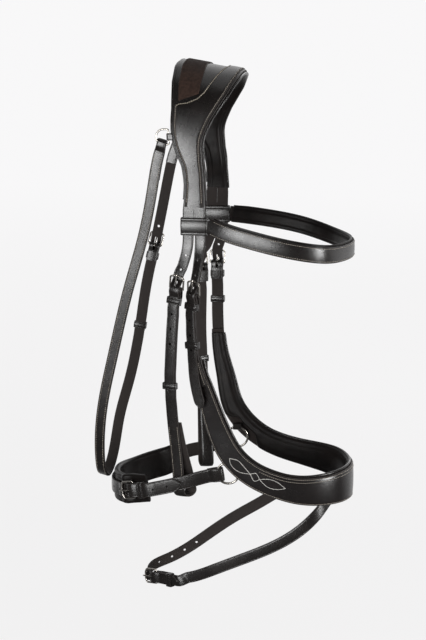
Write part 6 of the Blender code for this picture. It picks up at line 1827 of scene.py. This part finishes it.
def build_cheekpiece(side):
    """A cheek strap from its buckle down to the bit loop and back up inside itself."""
    buckle = buckles[("cheek", side)]
    route = buckle.route
    near = side == "right"
    body = side + "_cheekpiece"
    bottom = route.at_drop(RIGHT_BIT_LOOP_SHARE if near else LEFT_BIT_LOOP_SHARE) - BIT_LOOP_RADIUS
    skew = RIGHT_RETURN_SKEW if near else LEFT_RETURN_SKEW
    down = run(buckle.s(FOLD_FALL_END), bottom)
    bend = []
    for step in range(19):
        degrees = 10 * step
        angle = math.radians(degrees)
        s = bottom + BIT_LOOP_RADIUS * math.sin(angle)
        n = -BIT_LOOP_RADIUS * (1.0 - math.cos(angle))
        bend.append((s, n, skew * bent_weight(degrees / 180)))
    back = []
    for i in range(1, 41):
        share = i / 40
        merge = bent_weight(share / BIT_RETURN_MERGE_SHARE)
        n = -2.0 * BIT_LOOP_RADIUS * (1.0 - merge) - (LEATHER + GAP) * merge
        w = skew * (1.0 - BIT_RETURN_SKEW_SHARE * share)
        back.append((bottom - BIT_RETURN_LENGTH * share, n, w))
    build_buckled_strap("cheek", side, joined(down, bend, back), body, body, side + "_cheek")
    build_billet("cheek", side)
    stitch_turn_back(buckle, side + "_cheek", body)
    rows = route_rows(route, bottom - BIT_RETURN_LENGTH + BIT_STITCH_START, bottom - BIT_STITCH_END)
    sew_edges(side + "_bit_loop_stitches", body, rows, STRAP_HALF)


def sew_edges(name, body, rows, half, n=LEATHER / 2.0):
    """A stitch line along each edge of a strap."""
    thread = Thread(name, body, GREY_THREAD)
    for sign in (-1.0, 1.0):
        thread.row(rows, sign * (half - STITCH_INSET), n)
    thread.finish()


def stitch_turn_back(buckle, prefix, body):
    """Two short stitch lines that hold a strap's turned-back end under the buckle."""
    start = buckle.s(TAIL_FALL_END + 1.2 * KEEPER_LENGTH)
    end = buckle.s(TURN_BACK_LENGTH + TURN_STITCH_END)
    rows = route_rows(buckle.route, start, end, step=0.001)
    sew_edges(prefix + "_turn_stitches", body, rows, buckle.strap_half)


def build_hanger(side):
    """The strap from the noseband buckle to the top of the noseband."""
    buckle = buckles[("hanger", side)]
    foot = buckle.route.at_drop(HANGER_FOOT_SHARE)
    down = run(buckle.s(FOLD_FALL_END), foot)
    build_buckled_strap("hanger", side, down, side + "_noseband_hanger", "noseband", side + "_noseband")
    build_billet("hanger", side)
    rows = route_rows(buckle.route, foot - HANGER_STITCH_START, foot - HANGER_STITCH_END)
    sew_edges(side + "_hanger_stitches", "noseband", rows, STRAP_HALF)


# Noseband
def noseband_swell(s):
    end_share = min(s, noseband_route.length - s) / noseband_route.length
    return thinned(end_share, NOSEBAND_THIN_LENGTH_SHARE, NOSEBAND_THIN_SHARE)


def build_noseband():
    """The raised, padded noseband with its stitching and the white ornament."""
    clear = NOSE_RING_RADIUS + NOSE_RING_WIRE - NOSE_RING_OUTSET + NOSE_RING_TAB_LENGTH + GAP
    stations = spread(0.0, noseband_route.length)
    outlines = [noseband_outline(s) for s in stations]
    rings = [section_ring(noseband_route, s, outline) for s, outline in zip(stations, outlines)]
    mesh_bm = bmesh.new()
    skin(mesh_bm, rings, [mark for _, _, mark in outlines[-1]])
    add_piece("noseband_leather", mesh_bm, NOSE_LEATHER, "noseband", ["noseband"],
              sharp=50.0)
    pad_rings = []
    for s in stations[2:-2]:
        tall = noseband_half(s)
        away = min(abs(s - nose_ring_place(side)) for side in SIDES)
        notch = 1.0 - bent_weight((away - NOSE_RING_RADIUS) / NOSE_RING_RADIUS)
        swell = noseband_swell(s)
        pad_rings.append(cushion_ring(noseband_route, s, tall - clear * notch, tall + NOSEBAND_PAD_ROLL,
                                      -LEATHER / 2.0 - GAP, NOSEBAND_PAD_THICKNESS * swell,
                                      NOSEBAND_PAD_BEAD, crease=0.03, seed=5.0,
                                      valley_share=NOSEBAND_VALLEY_SHARE))
    pad("noseband_pad", pad_rings, "noseband", ["noseband_padding"])
    rolls = []
    for s in stations[3:-3]:
        radius = NOSEBAND_ROLL_RADIUS + PIPING_SWELL * noseband_swell(s)
        rolls.append((s, noseband_half(s) + NOSEBAND_ROLL_OUT, radius))
    piping("noseband_roll", "noseband", noseband_route, rolls)
    stitch_noseband()


def noseband_outline(s):
    """Outline of the noseband's leather: rounded edges, sunk stitch lines and a soft bulge between."""
    tall = noseband_half(s)
    half = LEATHER / 2.0
    rows = []
    count = 34
    for i in range(count + 1):
        share = 1.0 - 2.0 * i / count
        w = tall * share
        from_edge = tall * (1.0 - abs(share))
        n = noseband_face(s, w)
        edge = min(from_edge / NOSEBAND_EDGE_RADIUS, 1.0)
        n -= (1.0 - math.sqrt(max(1.0 - (1.0 - edge) ** 2, 0.0))) * 1.1 * half
        n -= NOSEBAND_GROOVE_DEPTH * math.exp(-((from_edge - STITCH_INSET) / NOSEBAND_GROOVE_HALF) ** 2)
        worn = 0.35 if from_edge < NOSEBAND_EDGE_RADIUS else 0.0
        rows.append((w, n, 1.0 if from_edge < NOSEBAND_PAINTED_EDGE else worn))
    rows += [(-tall, -0.3 * half, 1.0), (-tall + NOSEBAND_BACK_BEVEL, -half, 1.0),
             (tall - NOSEBAND_BACK_BEVEL, -half, 1.0), (tall, -0.3 * half, 1.0)]
    return rows


def noseband_face(s, w):
    """Height of the noseband's outer face."""
    tall = noseband_half(s)
    share = min(abs(w) / tall, 1.0)
    bulge = NOSEBAND_BULGE * bent_weight((tall - NOSEBAND_BULGE_FROM) / NOSEBAND_BULGE_RANGE)
    return LEATHER / 2.0 + bulge * (1.0 - share * share) ** 0.8


def stitch_noseband():
    """Edge stitching and the white ornament of leaves and diamonds."""
    length = noseband_route.length
    thread = Thread("noseband_stitches", "noseband", GREY_THREAD)
    for sign, inset, start, sunk in ((1.0, STITCH_INSET, NOSEBAND_LINE_START, STITCH_SINK),
                                     (-1.0, STITCH_INSET, NOSEBAND_LINE_START, STITCH_SINK),
                                     (1.0, SECOND_LINE_INSET, SECOND_LINE_START, 0.0)):
        spans = spread(start, length - start)
        places = [sign * (noseband_half(s) - inset) for s in spans]
        heights = [noseband_face(s, w) - sunk for s, w in zip(spans, places)]
        thread.row(route_rows(noseband_route, start, length - start), places, heights)
    thread.finish()
    for side in SIDES:
        thread = Thread(side + "_ornament", "noseband", WHITE_THREAD, ORNAMENT_THREAD)
        for curve in ORNAMENT_CURVES:
            line = []
            for s, w in smooth(curve, 8):
                s_here = ORNAMENT_START + s if side == "right" else length - ORNAMENT_START - s
                place, _, out, across = noseband_route.frame(s_here)
                line.append((place + across * w + out * noseband_face(s_here, w), across, out))
            thread.row(line, 0.0, 0.0, pitch=ORNAMENT_PITCH, length=ORNAMENT_STITCH)
        thread.finish()


def build_nose_ring(side):
    middle = nose_ring_middle(side)
    axis, forward, up = ring_directions()
    sign = -1.0 if side == "right" else 1.0
    name = side + "_noseband_ring"
    points = round_points(middle, forward, up, NOSE_RING_RADIUS, 48)
    metal_wire(name, points, axis, NOSE_RING_WIRE, True, name)
    sink = NOSE_RING_TAB_HALF ** 2 / (2.0 * NOSE_RING_RADIUS)
    bar = middle + up * (NOSE_RING_RADIUS - sink)
    reach = sink + NOSE_RING_WIRE + NOSE_RING_TAB_LENGTH
    build_tab(name + "_tab", bar, up, forward, axis * sign, NOSE_RING_TAB_HALF, NOSE_RING_WIRE,
              (reach, reach), 0.0, "noseband")


def build_flash_loop():
    half = FLASH_WIDTH / 2.0
    low_room = FLASH_LOOP_FOOTROOM
    tall = half + (FLASH_LOOP_HEADROOM + low_room) / 2.0
    middle = flash_route.frame(flash_route.length * FLASH_LOOP_SHARE)
    keeper("flash_loop_leather", middle, tall, -FLASH_LOOP_HALF_GAP, FLASH_LOOP_HALF_GAP,
           FLASH_LOOP_LENGTH, FLASH_LOOP_THICKNESS, "noseband", ["flash_loop"],
           w_middle=(FLASH_LOOP_HEADROOM - low_room) / 2.0)


# Browband
def build_browband():
    """The padded band over the forehead with stitched edges, and its loops on the billets."""
    half = LEATHER / 2.0
    tall = BROWBAND_HEIGHT / 2.0
    length = browband_route.length
    rows = route_rows(browband_route, -BROWBAND_SEWN, length + BROWBAND_SEWN)
    strap("browband_leather", rows, tall, "browband", ["browband"], crown=BROWBAND_CROWN)
    rings = []
    for s in spread(BROWBAND_PAD_INSET, length - BROWBAND_PAD_INSET):
        swell = thinned(min(s, length - s) / length, 0.05, 0.6)
        rings.append(cushion_ring(browband_route, s, tall + BROWBAND_PAD_REACH,
                                  tall + BROWBAND_ROLL_REACH + BROWBAND_ROLL * swell, -half - SEWN_GAP,
                                  BROWBAND_PAD_THICKNESS * swell, BROWBAND_PAD_BEAD, crease=0.06,
                                  seed=9.0))
    pad("browband_pad", rings, "browband", ["browband_padding"])
    rows = route_rows(browband_route, BROWBAND_STITCH_START, length - BROWBAND_STITCH_START)
    sew_edges("browband_stitches", "browband", rows, tall, half + BROWBAND_STITCH_RISE)
    for side in SIDES:
        build_browband_loop(side)


def build_browband_loop(side):
    """A wide band round both billets, sewn to the browband's end."""
    middle, forward, outward, up, wide = browband_loop_frame(side)
    deep = LEATHER / 2.0 + BROWBAND_LOOP_CLEARANCE
    keeper(side + "_loop_leather", (middle, up, outward, forward), wide, -deep, deep, BROWBAND_LOOP_HEIGHT,
           BROWBAND_LOOP_THICKNESS, "browband", [side + "_browband_loop"])


# Chin strap
def ring_fold(s_wire, sense, wire_radius, ring_radius, half, settle, turn_back):
    """Stations that fold a strap end round a ring's curved wire and lay it back inside."""
    radius = wire_radius + GAP + LEATHER / 2.0
    sink = ring_radius - wire_radius - math.sqrt((ring_radius - wire_radius) ** 2 - half ** 2) + GAP
    centre = s_wire - sense * sink
    arc = []
    for k in range(13):
        angle = math.radians(-90 - 15 * k)
        arc.append((centre + sense * radius * math.cos(angle), radius * math.sin(angle), 0.0))
    depth = -LEATHER - GAP
    level = s_wire + sense * (wire_radius + GAP)
    end = s_wire + sense * turn_back
    near = level + sense * settle * 0.6
    back = [(end + (near - end) * k / 8.0, depth, 0.0) for k in range(8)]
    back += [(level + sense * u, n, w) for u, n, w in ease(settle * 0.6, 0.0, depth, -radius, 8)]
    outer = [(level + sense * u, n, w) for u, n, w in ease(0.0, settle, radius, 0.0, 10)]
    return joined(back, arc, outer), level + sense * settle


def build_chin_strap():
    half = CHIN_WIDTH / 2.0
    length = chin_route.length
    ring = (NOSE_RING_WIRE, NOSE_RING_RADIUS, half, CHIN_SETTLE, CHIN_TURN_BACK)
    path, start = ring_fold(NOSE_RING_RADIUS, 1.0, *ring)
    end = chin_buckle.s(FOLD_FALL_END)
    whole = joined(path, run(start, end), chin_buckle.turned_end()[::-1])
    strap("chin_strap_leather", path_frames(chin_route, whole), half, "chin_strap", ["chin_strap"],
          holes=[chin_buckle.fold_slot()])
    path, start = ring_fold(length - NOSE_RING_RADIUS, -1.0, *ring)
    run_in = run(start, chin_buckle.s(TAIL_RISE_START))
    tail_end = length * CHIN_TAIL_SHARE
    whole = joined(path, run_in, chin_buckle.tail_over(), tail_run(chin_buckle.s(TAIL_FALL_END), tail_end))
    halves = []
    for s, n, _ in whole:
        halves.append(fine_tip(s, tail_end, half) if n > LEATHER / 2.0 and s < length / 2.0 else half)
    holes = [chin_buckle.tail_slot()] + chin_buckle.holes((-1, -2)) + chin_buckle.holes((2, 3), TAIL_HEIGHT)
    strap("chin_billet_leather", path_frames(chin_route, whole), halves, "chin_strap", ["chin_billet"],
          holes=holes)
    chin_buckle.build("chin", "chin_strap")
    build_chin_pad()


def chin_pad_face(s):
    """Height of the pad's outer face."""
    deep = TURN_BACK_HEIGHT - LEATHER / 2.0 - GAP
    shallow = -LEATHER / 2.0 - 2.0 * GAP
    return deep + (shallow - deep) * bent_weight((s - chin_buckle.s(-FOLD_RADIUS - LEATHER)) / BUCKLE_LENGTH)


def build_chin_pad():
    """The soft pad with lengthwise creases on the face, gathered towards its ends."""
    start = chin_route.length * CHIN_PAD_FROM_SHARE
    end = chin_route.length * CHIN_PAD_TO_SHARE
    rings = []
    for s in spread(start, end, step=CHIN_PAD_STEP):
        share = (s - start) / (end - start)
        swell = thinned(min(share, 1.0 - share), CHIN_THIN_LENGTH_SHARE, CHIN_THIN_SHARE)
        half = CHIN_PAD_HEIGHT / 2.0 * (CHIN_NARROW_SHARE + (1.0 - CHIN_NARROW_SHARE) * swell)
        rings.append(chin_pad_ring(s, half, chin_pad_face(s), CHIN_PAD_THICKNESS * swell))
    pad("chin_pad_soft", rings, "chin_strap", ["chin_pad"])


def chin_pad_ring(s, half, n_face, thickness):
    """Section of the chin pad, with rounded rims and wandering creases."""
    count = 40
    outer = []
    for i in range(count + 1):
        share = 1.0 - 2.0 * i / count
        w = share * half
        rim = math.sqrt(max(1.0 - (max(abs(share) - 0.82, 0.0) / 0.18) ** 2, 0.0))
        crease = 0.0
        for base, deep, drift in CHIN_CREASE_SHARES:
            line = base + 0.03 * math.sin(s * 95.0 + drift)
            crease += deep * math.exp(-((share - line) / 0.035) ** 2)
        n = n_face - thickness * 0.45 + rim * thickness * 0.45 - CHIN_CREASE_DEPTH * crease
        outer.append((w, n))
    inner = []
    for i in range(count + 1):
        share = -1.0 + 2.0 * i / count
        w = share * half
        rim = math.sqrt(max(1.0 - (max(abs(share) - 0.75, 0.0) / 0.25) ** 2, 0.0))
        inner.append((w, n_face - thickness * 0.45 - rim * thickness * 0.53))
    return section_ring(chin_route, s, outer + inner[1:-1])


# Flash strap
def build_flash_strap():
    half = FLASH_WIDTH / 2.0
    length = flash_route.length
    tail_end = length + length * FLASH_TAIL_SHARE
    first = run(flash_buckle.s(FOLD_FALL_END), length + flash_buckle.s(TAIL_RISE_START))
    over = [(s + length, n, w) for s, n, w in flash_buckle.tail_over()]
    tail = tail_run(length + flash_buckle.s(TAIL_FALL_END), tail_end)
    path = joined(flash_buckle.turned_end(), first, over, tail)
    halves = [fine_tip(s, tail_end, half) for s, _, _ in path]
    holes = flash_buckle.holes([-step - FLASH_HOLE_SHIFT_SHARE for step in (1, 2, 3, 4, 5)])
    holes.append(flash_buckle.tail_slot())
    made = strap("flash_strap_leather", path_frames(flash_route, path), halves, None, ["flash_strap"],
                 holes=holes)
    punch(made, [flash_buckle.fold_slot()])
    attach(made, "flash_strap")
    flash_buckle.build("flash", "flash_strap", length * FLASH_KEEPER_SHARE, keeper_sewn=False)


# Throatlatch
def throat_half(s, start):
    """Half width at s: the strap is narrower where it folds round its ring at start."""
    share = min(max(abs(s - start) / THROAT_NARROW_LENGTH, 0.0), 1.0)
    widening = (THROAT_WIDTH - THROAT_FOLD_WIDTH) / 2.0
    return THROAT_FOLD_WIDTH / 2.0 + widening * (3.0 - 2.0 * share) * share ** 2


def build_throatlatch():
    """The long strap from the right ring to the buckle, and the billet from the left ring."""
    ring = (THROAT_RING_WIRE, THROAT_RING_RADIUS, THROAT_FOLD_WIDTH / 2.0, THROAT_SETTLE, THROAT_TURN_BACK)
    length = throat_route.length
    path, start = ring_fold(0.0, 1.0, *ring)
    path = joined(path, run(start, throat_buckle.s(FOLD_FALL_END)), throat_buckle.turned_end()[::-1])
    strap("throatlatch_leather", path_frames(throat_route, path), [throat_half(s, 0.0) for s, _, _ in path],
          "throatlatch", ["throatlatch"], holes=[throat_buckle.fold_slot()])
    rows = route_rows(throat_route, THROAT_NARROW_LENGTH, throat_buckle.s(TURN_BACK_LENGTH))
    half = THROAT_WIDTH / 2.0
    sew_edges("throatlatch_stitches", "throatlatch", rows, half)
    tail_end = throat_route.at_drop(THROAT_TAIL_SHARE, from_end=True)
    path, start = ring_fold(length, -1.0, *ring)
    run_in = run(start, throat_buckle.s(TAIL_RISE_START))
    path = joined(path, run_in, throat_buckle.tail_over(), tail_run(throat_buckle.s(TAIL_FALL_END), tail_end))
    halves = [fine_tip(s, tail_end, half) if n > LEATHER / 2.0 and s < length - THROAT_TURN_BACK
              else throat_half(s, length) for s, n, _ in path]
    holes = [throat_buckle.tail_slot()] + throat_buckle.holes((-1,))
    strap("throatlatch_billet_leather", path_frames(throat_route, path), halves, "throatlatch",
          ["throatlatch_billet"], holes=holes)
    runner_s = throat_route.at_drop(THROAT_RUNNER_SHARE, from_end=True)
    throat_buckle.build("throatlatch", "throatlatch", runner_s)


# Floor, lights and camera
def seen_rays(tree):
    """1 for the rays that show the background itself: camera, glossy and transmission rays."""
    path = tree.nodes.new("ShaderNodeLightPath")
    total = path.outputs["Is Camera Ray"]
    for kind in ("Is Glossy Ray", "Is Transmission Ray"):
        total = calculated(tree, "MAXIMUM", total, path.outputs[kind])
    return total


def front_shade(tree, y, color):
    """What gloss mirrors: black in front of the object, where a studio is dark, and a colour behind it."""
    return mixed(tree, ranged(tree, y, STUDIO_FRONT, 1.0, *STUDIO_FRONT_REACH), (0.0, 0.0, 0.0), color)


def blended(tree, share, shader_a, shader_b):
    """A mix of two shaders."""
    made = tree.nodes.new("ShaderNodeMixShader")
    for socket, source in zip(made.inputs, (share, shader_a.outputs[0], shader_b.outputs[0])):
        tree.links.new(source, socket)
    return made


def floor_look():
    """A pale glowing floor with painted light falloff, darker near and brighter far, painted dark in front
    for gloss, and keeping some of the object's shadow.
    """
    made, tree, shader = node_tree_of("floor", (0.84, 0.835, 0.835), 0.6, specular=0.2)
    gloss = tree.nodes.new("ShaderNodeLightPath").outputs["Is Glossy Ray"]
    y = place_y(tree, "Object")
    # The glow's colour is painted darker near and brighter far: painted light falloff
    direct = mixed(tree, ranged(tree, y, 0.0, 1.0, *FLOOR_FAR_REACH), FLOOR_NEAR, FLOOR_FAR)
    pale = tree.nodes.new("ShaderNodeEmission")
    # To gloss the floor shows painted shade: near black in front of the object, standing in for a dark
    # studio, and pale behind it
    tree.links.new(mixed(tree, gloss, direct, front_shade(tree, y, FLOOR_NEAR)), pale.inputs["Color"])
    share = calculated(tree, "MULTIPLY", seen_rays(tree), FLOOR_GLOW)
    glowing = blended(tree, share, shader, pale)
    tree.links.new(glowing.outputs[0], tree.nodes["Material Output"].inputs["Surface"])
    return made


def build_floor():
    """The plain floor."""
    mesh = bpy.data.meshes.new("floor")
    corners = [(FLOOR_REACH * a, FLOOR_REACH * b, FLOOR_Z) for a, b in ((-1, -1), (1, -1), (1, 1), (-1, 1))]
    mesh.from_pydata(corners, [], [(0, 1, 2, 3)])
    mesh.materials.append(floor_look())
    return staged("floor", mesh)


def staged(name, data):
    """An object of the stage, in the scene."""
    made = bpy.data.objects.new(name, data)
    bpy.context.scene.collection.objects.link(made)
    return made


def build_world():
    """A plain even light that shows as the pale backdrop, and is dark in front for gloss."""
    world = bpy.data.worlds.new("studio")
    bpy.context.scene.world = world
    world.use_nodes = True
    tree = world.node_tree
    tree.nodes.clear()
    sky = []
    for color, strength in ((BACKGROUND, 1.0), (WORLD_LIGHT, WORLD_STRENGTH), (BACKGROUND, 1.0)):
        made = tree.nodes.new("ShaderNodeBackground")
        made.inputs["Color"].default_value = (*color, 1.0)
        made.inputs["Strength"].default_value = strength
        sky.append(made)
    seen, light, front = sky
    tree.links.new(front_shade(tree, place_y(tree, "Generated"), BACKGROUND), front.inputs["Color"])
    gloss = tree.nodes.new("ShaderNodeLightPath").outputs["Is Glossy Ray"]
    whole = blended(tree, gloss, blended(tree, seen_rays(tree), light, seen), front)
    output = tree.nodes.new("ShaderNodeOutputWorld")
    tree.links.new(whole.outputs[0], output.inputs["Surface"])


def build_lamp(name, place, aim, size, power):
    """One rectangular lamp."""
    lamp = bpy.data.lights.new(name, "AREA")
    lamp.shape = "RECTANGLE"
    lamp.size, lamp.size_y = size
    lamp.energy = power
    made = staged(name, lamp)
    made.location = place
    made.rotation_euler = (Vector(aim) - Vector(place)).to_track_quat("-Z", "Y").to_euler()
    return made


def build_camera():
    """The camera where the photograph's stood."""
    back = np.array([math.sin(CAMERA_TURN) * math.cos(CAMERA_RISE),
                     -math.cos(CAMERA_TURN) * math.cos(CAMERA_RISE), math.sin(CAMERA_RISE)])
    right = np.array([math.cos(CAMERA_TURN), math.sin(CAMERA_TURN), 0.0])
    width, height = PICTURE_PX
    place = back * CAMERA_DISTANCE - right * ((ORIGIN_PX[0] - width / 2.0) * METRES_PER_PX)
    place = place - np.cross(back, right) * ((height / 2.0 - ORIGIN_PX[1]) * METRES_PER_PX)
    lens = bpy.data.cameras.new("camera")
    lens.lens = CAMERA_LENS
    lens.sensor_width = CAMERA_SENSOR
    camera = staged("camera", lens)
    camera.location = place
    camera.rotation_euler = Vector(back).to_track_quat("Z", "Y").to_euler()
    return camera


def build_stage():
    """The plain floor and backdrop, the lights and the camera."""
    floor = build_floor()
    build_world()
    lights = [build_lamp(*lamp) for lamp in LAMPS]
    camera = build_camera()
    bpy.context.scene.camera = camera
    bpy.context.scene.view_settings.view_transform = "Standard"


def main():
    build_headpiece()
    build_browband()
    for side in SIDES:
        build_throat_ring(side)
        build_cheekpiece(side)
        build_hanger(side)
        build_nose_ring(side)
    build_noseband()
    build_flash_loop()
    build_chin_strap()
    build_flash_strap()
    build_throatlatch()
    build_stage()


main()
